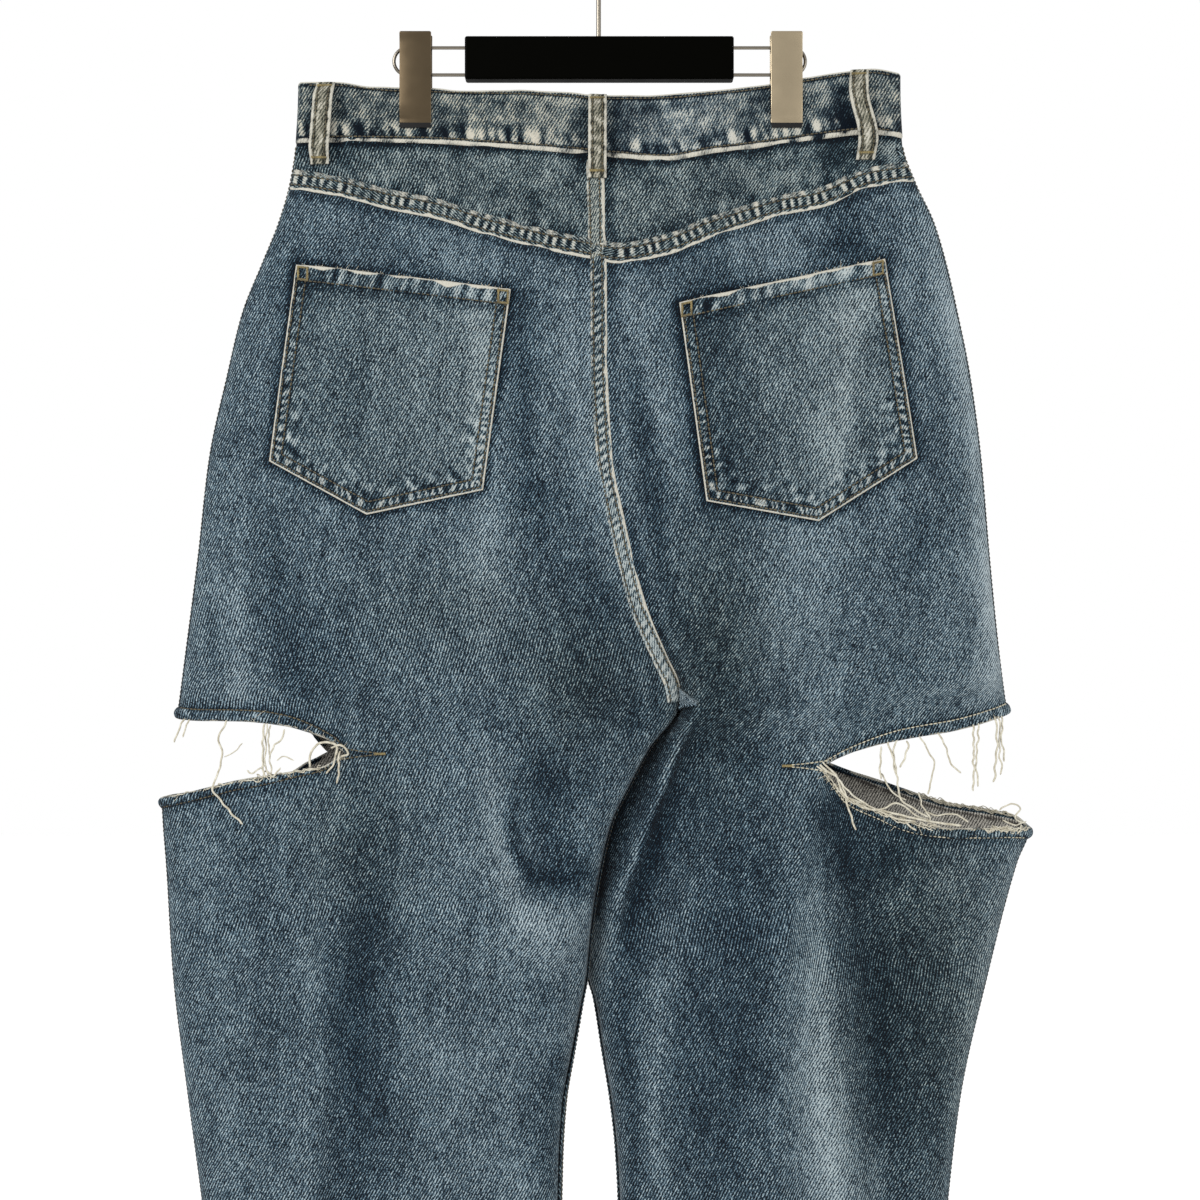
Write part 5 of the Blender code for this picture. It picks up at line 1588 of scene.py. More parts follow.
    def grid(self) -> ClothGrid:
        """Cuts the panel, hems its rip and its end, and wears it."""
        across = self.columns()
        top = self.cross_row(across, self.top_seam)
        upper, lower = self.rip(across)
        drops, split = self.rows(across, top)
        torn = across > RIPS[self.face, self.side][0].across
        to_rip = np.where(drops <= upper, upper - drops, drops - lower)
        to_rip = np.where((drops > upper) & (drops < lower), 0, to_rip)
        taper = self.taper(across)
        hem_wide = self.rip_hem * taper
        at_rip = torn * fade(self.rip_hem - 0.5, self.rip_hem + self.hem_step, to_rip / taper)
        to_end = FORM.leg_length - drops
        at_hem = fade(self.leg_hem, self.leg_hem + self.hem_step, to_end)
        rounding = 1 - self.edge_thin * torn * fade(0, self.edge_round, to_rip)
        rounding = rounding - self.edge_thin * fade(0, self.edge_round, to_end)
        thickness = (self.cloth + self.rip_extra * at_rip + self.hem_extra * at_hem) * rounding
        points, x = FORM.on_leg(self.face, self.side, across[None], drops)
        ripple = Ripples(10, 31 + self.face.value * 2 + self.side.value)(x, drops)
        hemmed = torn * (to_rip <= hem_wide)
        slanted = x + 0.9 * to_rip * np.where(drops <= upper, 1, -1)
        rope = np.sin(2 * math.pi * slanted / self.rope_pitch + 2.2 * ripple)
        lift = 0.35 * Ripples(34, 7)(x, drops) * (1 - at_rip)
        points[..., 1] += self.face.value * lift * ease(0, 0.04, 1 - across)
        bulge = np.sin(math.pi * np.clip(to_rip / hem_wide, 0, 1)) ** 0.7 * taper
        line = np.abs(to_rip - np.where(drops <= upper, self.stitched[0], self.stitched[1]) * taper)
        groove = torn * fade(0.2, 1.5, line)
        points[..., 1] += self.face.value * torn * (bulge * (1.5 + 0.35 * rope + 0.4 * ripple) - 0.3 * groove)
        points[..., 0] += self.side.value * self.side_swell * hemmed * bulge * ease(0.955, 1.0, across)
        run = arc(points, 1)
        start = FORM.inner(self.face, self.side, drops[:, :1])
        flat = np.stack([start + self.side.value * run, drops], axis=-1)
        patchy = Ripples(15, 37 + self.side.value)(x, 0 * x)
        frayed = 0.25 + 0.75 * ease(0.2, 1.2, patchy + 0.6 * (drops >= lower))
        wear = torn * self.edge_bare * fade(0.3, 1.3, to_rip) * frayed
        wear = wear + self.rope_bare * hemmed * ease(0.3, 1.0, rope)
        wear = wear + self.end_bare * fade(0, self.hem_worn, to_end)
        on_hem = self.rope_wash * rope + self.ripple_wash * ripple - self.hem_dark
        wash = FORM.wash(self.face, self.side, x, drops) + hemmed * on_hem
        # The leg's hem is paler; painted shade lies in the rip hems' stitch grooves, and a painted shadow on
        # the cloth just past each rip hem.
        wash = wash + self.hem_wash * at_hem * (1 + Ripples(11, 5)(x, drops)) - self.groove_shade * groove
        wash = wash - self.foot_dark * torn * bell(to_rip - hem_wide - 3.0, 2.2)
        shown = self.front_turn if self.face is Face.FRONT else self.rip_hem + self.hem_step
        turned = ((at_rip > 0.5) & (to_rip < shown)) | (at_hem > 0.5)
        if self.face is Face.FRONT:
            to_mouth, mouth = drops - top, ease(0.5, 4.0, self.scoop(x))
            wear = wear + self.mouth_bare * mouth * fade(0.8, 1.8, to_mouth)
            between = ease(2.6, 3.4, to_mouth) * fade(6.8, 7.6, to_mouth)
            roped = self.mouth_wash * between * roping(x + 0.6 * drops, self.mouth_rope_pitch, 2 * ripple)
            lines = to_rows(to_mouth, self.mouth_rows)
            # Painted shade in the mouth's stitch grooves, and a painted shadow below its turned edge.
            wash = wash + mouth * (roped - self.line_groove_shade * fade(0.3, 1.2, lines))
            wash = wash - self.foot_dark * mouth * bell(to_mouth - 11.0, 3.0)
        tint = FORM.patches(TINTS[self.face], x, drops)
        grid = ClothGrid(points, flat, thickness, wear, wash, tint, split, ~torn, turned)
        return orient(grid, (0, self.face.value, 0))

    def rip_stitches(self, tailor: Tailor) -> None:
        """Sews the rip's two hems, the dart at its tip with its bartack, and frays its edges."""
        tip = RIPS[self.face, self.side][0]
        across = np.linspace(tip.across + 0.003, 0.99, 60)
        upper, lower = self.rip(across)
        thread = tailor.tan if self.side is Side.LEFT else tailor.pale
        little, some, much = self.fray
        hems = ((upper, -1, self.stitched[0]), (lower, 1, self.stitched[1]))
        for number, (edge, way, hem) in enumerate(hems):
            drop = edge + way * hem * self.taper(across)
            x = FORM.x_at(self.face, self.side, across, drop)
            thread.sew(self.face, self.side, x, drop, self.stitch_lift)
            x = FORM.x_at(self.face, self.side, across, edge)
            if way == 1 and self.side is Side.RIGHT:
                amount = much
            else:
                amount = some if (self.face, way) == (Face.BACK, 1) else little
            seed = 40 + number + 2 * self.side.value + 5 * self.face.value
            worn = FORM.lifted(self.face, self.side, x, edge, self.worn_lift)
            tailor.frayed_edge(worn, -way, amount, self.fibre, seed)
        tip_x = float(FORM.x_at(self.face, self.side, tip.across, tip.upper))
        dart = np.linspace(0, self.dart, 14)
        for way in (-1, 1):
            x = tip_x - self.side.value * (dart - 4)
            drop = tip.upper + way * (0.7 + self.dart_spread * (1 - dart / self.dart) ** 1.3)
            thread.sew(self.face, self.side, x, drop, self.dart_lift)
        end_x = tip_x - self.side.value * (self.dart - 2)
        end = FORM.lifted(self.face, self.side, end_x, tip.upper, self.tack_lift)
        tailor.amber.bar(end, ACROSS, UP, self.tack_long, self.tack_wide)

    def build(self, tailor: Tailor) -> None:
        """Makes the panel and sews its rip and hem."""
        tailor.lay(f"denim_{self.name}", self.grid(), self.name)
        self.rip_stitches(tailor)
        across = np.linspace(0.02, 0.98, 90)
        drop = np.full(len(across), FORM.leg_length - self.leg_hem + self.hem_stitch_up)
        x = FORM.x_at(self.face, self.side, across, drop)
        tailor.tan.sew(self.face, self.side, x, drop, self.worn_lift)


@dataclass
class Yoke:
    """The pointed piece between the waistband and one half of the seat; its top is sewn up into the band."""

    side: Side
    row: float = 3.2
    tuck: float = 4.0

    def build(self, tailor: Tailor) -> None:
        """Makes the yoke."""
        panel = LegPanel(Face.BACK, self.side)
        across = panel.columns()
        top = panel.cross_row(across, lambda x: FORM.edge(Face.BACK, "waist", x)) - self.tuck
        bottom = panel.cross_row(across, lambda x: FORM.edge(Face.BACK, "yoke", x))
        share = np.linspace(0, 1, int(np.max(bottom - top) / self.row) + 1)[:, None]
        drops = top + (bottom - top) * share
        points, x = FORM.on_leg(Face.BACK, self.side, across[None], drops)
        points[..., 1] -= 0.4 * Ripples(26, 12 + self.side.value)(x, drops) * ease(0, 0.03, 1 - across)
        start = FORM.inner(Face.BACK, self.side, drops[:, :1])
        flat = np.stack([start + self.side.value * arc(points, 1), drops], axis=-1)
        to_seam = bottom - drops
        wash = FORM.wash(Face.BACK, self.side, x, drops) + 0.03 + 0.06 * Ripples(20, 14)(x, drops)
        wash = wash + 0.14 * Ripples(9, 3)(x, 0.4 * drops) * fade(14, 26, to_seam)
        below = drops - top - self.tuck
        wash = wash + 0.10 * Ripples(9, 4)(x, 0.4 * drops) * fade(3, 16, below)
        # A painted shadow just below the waistband's lower edge.
        wash = wash - 0.4 * bell(below - 1.0, 1.7)
        grid = ClothGrid(points, flat, tailor.cloth, 0.0, wash, 0.6)
        name = self.side.label
        tailor.lay(f"yoke_denim_{name}", orient(grid, (0, -1, 0)), f"yoke_{name}")


@dataclass
class Waistband:
    """The two-layer band, once round from the lap at the fly, puckered along its lower stitching."""

    lap: float = 18.0
    lap_lift: float = 1.7
    lap_ease: float = 25.0
    spacing: float = 1.8
    pucker: float = 0.5
    cloth: float = 2.6
    # Shares down the band of its rows, finer at its edges.
    first_rows: tuple[float, ...] = (0, 0.012, 0.03, 0.06, 0.1, 0.15)
    last_rows: tuple[float, ...] = (0.95, 0.975, 0.99, 1.0)
    top_stitch: float = 2.5
    low_stitch: float = 4.0
    clip_half: float = 13.0
    clip_ease: float = 8.0
    stitched: tuple[float, float, int] = (-208, 209, 300)
    stitch_lift: float = 0.25
    crowd: float = 0.35
    # Shares of wear on the top fold, the rolled lower edge and the puckers.
    top_bare: float = 0.95
    roll_bare: float = 0.66
    fold_bare: float = 0.38
    # Shares of wash: the puckers' range; and of painted shade: in the stitch rows' grooves and on the turned
    # lower edge.
    fold_wash: float = 0.42
    line_groove_shade: float = 0.68
    edge_dark: float = 0.30

    def stations(self) -> tuple[Array, Array, Array, Array]:
        """Face, share across the hips, lap layer and whether it is a side edge, for each column."""
        waist = float(FORM.outer(Side.RIGHT, 0) - FORM.outer(Side.LEFT, 0))
        middle = -float(FORM.outer(Side.LEFT, 0)) / waist
        past = self.lap / waist
        step = self.spacing / waist
        left = spread(middle + past, 0, step, self.crowd)
        back = spread(0, 1, step, self.crowd)[1:]
        right = spread(1, middle - past, step, self.crowd)[1:]
        share = np.concatenate([left, back, right])
        face = np.concatenate([np.ones(len(left)), -np.ones(len(back)), np.ones(len(right))])
        layer = np.concatenate([np.ones(len(left)), np.zeros(len(back)), -np.ones(len(right))])
        at_side = np.minimum(share, 1 - share) < 1e-6
        return face, share, layer, at_side

    def grid(self) -> ClothGrid:
        """Cuts the band."""
        face, share, layer, at_side = self.stations()
        v = np.array([*self.first_rows, *np.linspace(0.2, 0.92, 16), *self.last_rows])[:, None]
        x = FORM.outer(Side.LEFT, 0) + (FORM.outer(Side.RIGHT, 0) - FORM.outer(Side.LEFT, 0)) * share
        top, seam = (np.where(face < 0, *[FORM.edge(f, name, x) for f in Face]) for name in ("top", "waist"))
        drops = top + (seam - top) * v
        left, right = FORM.outer(Side.LEFT, drops), FORM.outer(Side.RIGHT, drops)
        x = left + (right - left) * share
        ys = [FORM.y(f, Side.RIGHT, x, drops) for f in Face]
        y = np.where(at_side, 0, np.where(face < 0, *ys))
        y = y + layer * self.lap_lift * fade(self.lap, self.lap + self.lap_ease, np.abs(x))
        points = FORM.place(x, y, drops)
        run = arc(points, 1)[:1]
        above, to_top = seam - drops, drops - top
        low = fade(9, 19, above) * ease(4.0, 5.2, above)
        folds = Ripples(7.0, 21)(run + above * 0.1, above * 0.2)
        slack = Ripples(30, 22)(run + 0 * above, above)
        roll = fade(2.4, 3.3, above)
        free = ease(self.clip_half, self.clip_half + self.clip_ease, to_rows(x, FORM.clip_centres))
        shape = self.pucker * folds * low + 0.35 * slack * ease(0, 6, above)
        shape = shape + 0.45 * roll * ease(0, 0.8, above)
        points[..., 1] += face * shape * np.where(at_side, 0, 1) * free
        points[..., 2] += 0.35 * Ripples(40, 23)(run + 0 * above, 0 * above) * fade(0, 10, to_top)
        flat = np.stack([run + 0 * drops, to_top + 0 * x], axis=-1)
        patchy = Ripples(13, 25)(run + 0 * above, above)
        wear = self.top_bare * fade(0.6, 1.5, to_top) + roll * (self.roll_bare + 0.2 * patchy)
        wear = wear + self.fold_bare * low * ease(0.2, 1.2, folds)
        lines = np.minimum(np.abs(to_top - self.top_stitch), np.abs(above - self.low_stitch))
        # Painted shade in the stitch rows' grooves and on the turned lower edge.
        wash = self.fold_wash * folds * low + 0.02 - self.line_groove_shade * fade(0.4, 1.5, lines)
        wash = wash - self.edge_dark * fade(0.1, 0.6, above)
        wash = wash + 0.11 * patchy - 0.07 * Ripples(45, 24)(run + 0 * above, above) * ease(0, 8, above)
        washes = [FORM.wash(each, None, x, drops, False) for each in Face]
        wash = wash + np.where(face < 0, *washes)
        rounding = 1 - 0.5 * fade(0, 1.3, to_top) - 0.4 * fade(0, 1.2, above)
        tint = 0.75 - 0.55 * bell(x - 60, 60) - 0.3 * bell(x - 175, 30)
        tint = np.where(face < 0, tint, 0.6)
        turned = np.ones(points.shape[:2], bool)
        return ClothGrid(points, flat, self.cloth * rounding, wear, wash, tint, turned=turned)

    def build(self, tailor: Tailor) -> None:
        """Makes the band with its two rows of stitches."""
        grid = self.grid()
        row, middle = len(self.first_rows) + 8, grid.points.shape[1] // 2
        across = grid.points[row, middle + 1] - grid.points[row, middle - 1]
        down = grid.points[row + 1, middle] - grid.points[row - 1, middle]
        if np.cross(down, across)[1] > 0:
            grid.mirror()
        tailor.lay("waistband_denim", grid, "waistband", tailor.palette.band)
        x = np.linspace(*self.stitched)
        for seam, off in (("top", self.top_stitch), ("waist", -self.low_stitch)):
            for face in Face:
                drop = FORM.edge(face, seam, x) + off
                y = FORM.y(face, Side.RIGHT, x, drop) + face.value * (self.cloth / 2 + self.stitch_lift)
                path = FORM.place(x, y, drop)
                tailor.tan.row(path, np.broadcast_to((0.0, float(face.value), 0.0), path.shape))


@dataclass
class SeamStrip:
    """A felled seam: a raised band of folded cloth with two rows of stitches, roped by the wash."""

    name: str
    path: Array
    put: Callable[[Array, Array, Array], Spots]
    width: float = 12.0
    rise: float = 0.9
    rope: float = 0.28
    period: float = 6.4
    slant: float = 0.0
    worn_side: float = 1.0
    worn_wide: float = 1.7
    worn: float = 0.85
    ladder: float = 0.42
    tone: tuple[float, float] = (0.0, 0.0)
    faded: float = 0.0
    rows: tuple[float, float] = (-4.4, 2.6)
    tint: float = 0.4
    seed: int = 3
    turned_in: float = 1.5
    columns: int = 27
    foot: float = 0.2
    stitch_sink: float = 0.35
    stitch_reach: float = 0.6
    stitch_lift: float = 0.55
    hardness: float = 1.8
    row_dark: float = 0.5
    edge_dark: float = 0.3

    def ropes(self, run: Array, u: Array) -> Array:
        """The puckers' height at a place along and across the strip, from -1 to 1."""
        wander = 0.9 * Ripples(30, self.seed)(run, 0 * run)
        size = np.clip(0.85 + 0.35 * Ripples(17, self.seed + 1)(run, u), 0.2, 1.3)
        return roping(run + self.slant * u, self.period, wander, self.hardness) * size

    def level(self, run: Array, u: Array) -> tuple[Array, Array, Array]:
        """How far the strip stands off the cloth, its puckers and its nearness to a row of stitches."""
        low, high = self.rows
        between = ease(low + 0.3, low + 1.1, u) * ease(-high + 0.3, -high + 1.1, -u)
        rope = self.ropes(run, u) * (0.2 + 0.8 * between)
        row = sum(bell(u - row, self.stitch_reach) for row in self.rows)
        crown = 1 - (np.abs(u) / (self.width / 2)) ** 6
        lift = self.foot + crown * self.rise + self.rope * rope * crown - self.stitch_sink * row * crown
        return lift, rope, row

    def build(self, tailor: Tailor) -> None:
        """Makes the strip and its stitches."""
        worn = self.worn_side
        shares = np.array([-0.5, -0.48, -0.45, *np.linspace(-0.42, 0.42, self.columns), 0.45, 0.48, 0.5])
        u = shares[None] * self.width
        run = arc(self.path[None], 1)[0][:, None]
        along = np.gradient(self.path, axis=0)
        along /= np.linalg.norm(along, axis=1, keepdims=True)

        def spots(off: Array) -> Spots:
            """Places at an offset from the path, on the worn side where it is positive."""
            return self.path[:, :1] + along[:, 1:] * off * worn, self.path[:, 1:] - along[:, :1] * off * worn

        lift, rope, row = self.level(run, u)
        points, out = self.put(*spots(u), lift)
        flat = np.stack([u * (1 + 2 * self.turned_in / self.width) + 0 * run, run + 0 * u], axis=-1)
        edge = self.width / 2 - u
        uneven = Ripples(7, self.seed + 2)(run, 0 * run)
        wear = self.worn * fade(self.worn_wide - 0.5, self.worn_wide + 0.5, edge + 0.35 * uneven)
        wear = wear + self.ladder * ease(0.2, 1.0, rope)
        outside = ease(-self.rows[0] + 0.4, -self.rows[0] + 1.0, -u)
        wear = wear + outside * self.worn * (0.42 + 0.18 * uneven + 0.1 * rope) + self.faded
        tone = self.tone[0] + (self.tone[1] - self.tone[0]) * run / run[-1]
        # Painted shade in the stitch rows' grooves and on the worn side's edge as it turns down.
        wash = tone + self.ladder * rope - self.row_dark * np.clip(row, 0, 1)
        wash = wash - self.edge_dark * fade(0.1, 0.5, edge)
        grid = ClothGrid(points, flat, 1.0, wear, wash, self.tint)
        tailor.lay(self.name, orient(grid, out), None)
        for place in self.rows:
            off = np.full((len(self.path), 1), place)
            path, way = self.put(*spots(off), self.level(run, off)[0] + self.stitch_lift)
            tailor.tan.row(path[:, 0], way[:, 0])


@dataclass
class Seams:
    """Every felled seam of the jeans: yoke, rise, inseams and side seams."""

    spacing: float = 1.4
    # How far each strip's middle lies off its seam.
    above_yoke: float = 6.6
    beside_yoke: float = 5.6
    beside_rise: float = 4.6
    side_margin: float = 1.2
    # The drops between which the strips run.
    yoke_centre: Point = (54.0, 131.0)
    back_rise: Point = (128.0, 445.0)
    front_rise: Point = (224.0, 445.0)
    inseam: Point = (450.0, 1046.0)
    side_top: float = 46.0
    # Where an inseam's strip lies behind the edge, and how far the left one moves to it lower down.
    inseam_back: float = 8.0
    left_moves: float = 11.0
    left_moves_at: Point = (640.0, 740.0)

    def on_back(self, x: Array, drop: Array, lift: Array) -> Spots:
        """Puts a strip on the back, no further out than the side seams."""
        left, right = FORM.outer(Side.LEFT, drop), FORM.outer(Side.RIGHT, drop)
        x = np.clip(x, left + self.side_margin, right - self.side_margin)
        return FORM.on_seat(Face.BACK, x, drop, lift)

    def on_front(self, x: Array, drop: Array, lift: Array) -> Spots:
        """Puts a strip on the front."""
        return FORM.on_seat(Face.FRONT, x, drop, lift)

    def edge_put(self, side: Side, inseam: bool) -> Callable[[Array, Array, Array], Spots]:
        """Puts a strip round a side seam or an inseam; its places are (y, drop)."""
        return lambda y, drop, lift: FORM.on_edge(side, inseam, drop, y, lift)

    def beside(self, face: Face, drops: Point, off: float) -> Array:
        """Points (x, drop) at one distance beside the rise seam, between two drops."""
        drop = np.arange(*drops, self.spacing)
        return np.stack([FORM.inner(face, Side.LEFT, drop) - off, drop], axis=1)

    def corner(self, tailor: Tailor) -> None:
        """The folded corner of cloth that covers the point where the legs part."""
        u, v = np.meshgrid(np.linspace(0, 1, 13), np.linspace(0, 1, 13))
        top = np.array((57.0, 433.0)) + u[..., None] * (14.0, 11.0)
        bottom = np.array((56.0, 450.5)) + u[..., None] * (14.0, -3.6)
        spot = top + (bottom - top) * v[..., None]
        bow = np.sin(math.pi * v) * 0.8 + np.sin(math.pi * u) * 0.5
        points, out = self.on_back(spot[..., 0], spot[..., 1], 1.4 + bow)
        flat = np.stack([arc(points, 1), arc(points, 0)], axis=-1)
        wash = 0.22 * fade(0.4, 1.0, v) - 0.2 * ease(0.7, 1.0, v)
        grid = orient(ClothGrid(points, flat, 1.0, 0.3 * fade(0.0, 0.2, v), wash), out)
        tailor.lay("crotch_corner", grid, None)

    def build(self, tailor: Tailor) -> None:
        """Makes them all."""
        for side in Side:
            x = np.linspace(2.5, float(FORM.outer(side, 80)) - side.value * 1.5, 240)
            path = np.stack([x, FORM.edge(Face.BACK, "yoke", x) - self.above_yoke], axis=1)
            SeamStrip(
                f"yoke_seam_{side.label}", path, self.on_back, worn_side=-side.value,
                seed=5 + side.value, width=14.4, rows=(-3.2, 3.8), ladder=0.5, tint=0.7,
            ).build(tailor)
        path = self.beside(Face.BACK, self.yoke_centre, self.beside_yoke)
        SeamStrip(
            "yoke_centre_seam", path, self.on_back, ladder=0.08, tone=(0.22, 0.26),
            faded=0.22, tint=0.9, slant=0.5, seed=11
        ).build(tailor)
        path = self.beside(Face.BACK, self.back_rise, self.beside_rise)
        SeamStrip(
            "back_rise_seam", path, self.on_back, width=11.0, rows=(-3.6, 2.4), worn_wide=1.5, slant=0.7,
            ladder=0.38, tone=(-0.02, 0.5), seed=13,
        ).build(tailor)
        self.corner(tailor)
        path = self.beside(Face.FRONT, self.front_rise, self.beside_rise)
        SeamStrip("front_rise_seam", path, self.on_front, slant=0.5, seed=14, columns=15).build(tailor)
        for side in Side:
            name = side.label
            drop = np.arange(*self.inseam, 1.5 * self.spacing)
            moves = (self.left_moves if side is Side.LEFT else 0) * ease(*self.left_moves_at, drop)
            path = np.stack([self.inseam_back - moves, drop], axis=1)
            SeamStrip(
                f"inseam_{name}", path, self.edge_put(side, True), width=10.0, rows=(-3.4, 2.0), slant=0.5,
                ladder=0.14, worn=0.1, tone=(-0.4, 0.3), worn_side=-1.0, seed=20 + side.value, columns=13,
            ).build(tailor)
            edge = RIPS[Face.BACK, side][-1]
            runs = (("upper", self.side_top, edge.upper), ("lower", edge.lower, self.inseam[1]))
            for part, first, last in runs:
                drop = np.linspace(first, last - 1.0, int((last - first) / (2 * self.spacing)))
                path = np.stack([np.full(len(drop), 0.0), drop], axis=1)
                SeamStrip(
                    f"side_seam_{name}_{part}", path, self.edge_put(side, False), width=7.6, rise=0.3,
                    rope=0.03, rows=(-2.4, 1.2), ladder=0.05, worn=0.1, worn_wide=1.2, worn_side=-1.0,
                    seed=30 + side.value, columns=11,
                ).build(tailor)


@dataclass
class BackPocket:
    """A five-sided patch with a turned mouth, two rows of stitches round it and a frayed top fold."""

    side: Side
    across: int = 128
    down: int = 118
    hem: float = 12.0
    inset: tuple[float, float] = (2.3, 8.6)
    mouth: float = 11.4
    seed: int = 50
    rope_pitch: float = 6.2
    cloth: float = 1.2
    hem_extra: float = 0.9
    stand_off: float = 1.3
    crowd: float = 0.4
    tack_long: float = 9.4
    tack_short: float = 7.0
    tack_wide: float = 1.7
    stitch_lifts: Point = (2.15, 2.4)
    mouth_lift: float = 3.7
    tack_lift: float = 3.5
    fray_lift: float = 3.4
    fray: float = 0.35
    fibre: float = 1.3
    # Shares of wear on the mouth's fold, the sewn edges, the roping between the rows, the hem and inside.
    mouth_bare: float = 0.95
    edge_bare: float = 0.8
    rope_bare: float = 0.42
    hem_bare: float = 0.24
    inner_bare: float = 0.24
    # Shares of wash: the range of the same ropes; and of painted shade: in the rows' grooves and the mouth
    # row's groove, and a painted shadow at the mouth's foot.
    rope_wash: float = 0.36
    hem_wash: float = 0.20
    inner_wash: float = 0.22
    row_dark: float = 0.5
    mouth_dark: float = 0.34
    foot_dark: float = 0.20
    # Bartacks at each end of the mouth: off the corner, below the mouth, and whether upright.
    bartacks: tuple[tuple[float, float, bool], ...] = (
        (2.0, 6.2, True), (8.6, 6.2, True), (5.3, 1.8, False), (5.3, 10.6, False),
    )

    def where(self, t: Array, v: Array) -> Spots:
        """X and drop at shares across and down the patch."""
        cut = BACK_POCKETS[self.side]
        turn = cut.turn()
        low = np.where(t <= turn, t / turn, (1 - t) / (1 - turn))[..., None]
        corner = np.where((t <= turn)[..., None], cut.inner_bottom, cut.outer_bottom)
        bottom = corner + (np.array(cut.point) - corner) * low
        top = np.array(cut.inner_top) + t[..., None] * np.subtract(cut.outer_top, cut.inner_top)
        spot = top + (bottom - top) * v[..., None]
        return spot[..., 0], spot[..., 1]

    def build(self, tailor: Tailor) -> None:
        """Makes the pocket, its stitches, its bartacks and the fray on its mouth."""
        cut = BACK_POCKETS[self.side]
        turn = cut.turn()
        half = self.across // 2
        inner, outer = ((0, turn, turn / half), (turn, 1, (1 - turn) / half))
        t = np.concatenate([spread(*inner, self.crowd), spread(*outer, self.crowd)[1:]])
        t, v = np.meshgrid(t, spread(0, 1, 1 / self.down, self.crowd))
        x, drop = self.where(t, v)
        depth = drop[-1:] - drop[:1]
        wide = np.hypot(*(np.subtract(cut.outer_top, cut.inner_top)))
        to_side = np.minimum(t, 1 - t) * wide
        to_low, to_top = (1 - v) * depth * 0.92, v * depth
        to_edge = np.minimum(to_side, to_low)
        along = np.where(to_side < to_low, drop, x * np.where(t < turn, 1, -1))
        bulk = ease(2, 26, to_edge)
        rope = Ripples(9.0, self.seed + self.side.value)(x, drop)
        near = fade(6, 15, to_edge)
        mouth = fade(0, 34, to_top)
        lift = self.stand_off + 0.75 * bulk + 0.9 * mouth * ease(0, 20, to_side)
        lift = lift + 0.40 * rope * near * ease(0.6, 2.4, to_edge)
        lift = lift + 0.45 * Ripples(36, self.seed + 9)(x, drop) * bulk + 0.35 * ease(11.5, 9.0, to_top)
        points, _ = FORM.lifted(Face.BACK, self.side, x, drop, lift)
        in_hem = fade(self.hem - 0.6, self.hem + 1.4, to_top)
        rounding = 1 - 0.45 * fade(0, 1.2, np.minimum(to_edge, to_top))
        hem_rope = Ripples(8.0, 61 + self.side.value)(x + 0.25 * to_top, 0.3 * drop)
        frayed = 1.5 + 0.8 * Ripples(16, 6)(x, 0 * x) + 1.6 * bell(x + 104, 9.0)
        wear = self.mouth_bare * fade(frayed - 0.8, frayed + 0.8, to_top)
        wear = wear + self.edge_bare * fade(0.7, 1.5, to_edge)
        first, second = self.inset
        squares = roping(along, self.rope_pitch, 2.0 * Ripples(24, 8)(x, drop))
        between = ease(first + 0.3, first + 1.2, to_edge) * ease(-second + 0.3, -second + 1.2, -to_edge)
        between = between * (0.45 + 0.55 * ease(0, 30, to_top) * ease(0.30, 0.75, v)) * (1 - in_hem)
        wear = wear + self.rope_bare * between * ease(0.2, 1.0, squares)
        wear = wear + in_hem * self.hem_bare * ease(0.2, 1.2, hem_rope)
        inside = ease(second, second + 1.5, to_edge) * fade(12, 26, to_edge) * ease(0.35, 0.9, v)
        wear = wear + self.inner_bare * inside * ease(0.5, 1.5, rope)
        lines = to_rows(to_edge, self.inset)
        wash = FORM.wash(Face.BACK, self.side, x, drop, False) + 0.03 + self.rope_wash * between * squares
        wash = wash + self.inner_wash * rope * inside
        # Painted shade in the rows' grooves; below, in the mouth row's groove, and a painted shadow under the
        # mouth's hem.
        wash = wash - self.row_dark * fade(0.3, 1.2, lines) * (1 - in_hem)
        wash = wash + in_hem * (self.hem_wash * hem_rope - 0.02)
        wash = wash - self.mouth_dark * fade(0.3, 1.1, np.abs(to_top - self.mouth))
        wash = wash - self.foot_dark * bell(to_top - self.mouth - 3, 3.5)
        flat = np.stack([x, drop], axis=-1)
        thickness = (self.cloth + self.hem_extra * in_hem) * rounding
        grid = ClothGrid(points, flat, thickness, wear, wash, 0.3)
        grid, name = orient(grid, (0, -1, 0)), self.side.label
        tailor.lay(f"pocket_{name}", grid, f"pocket_back_{name}")
        self.sew(tailor)

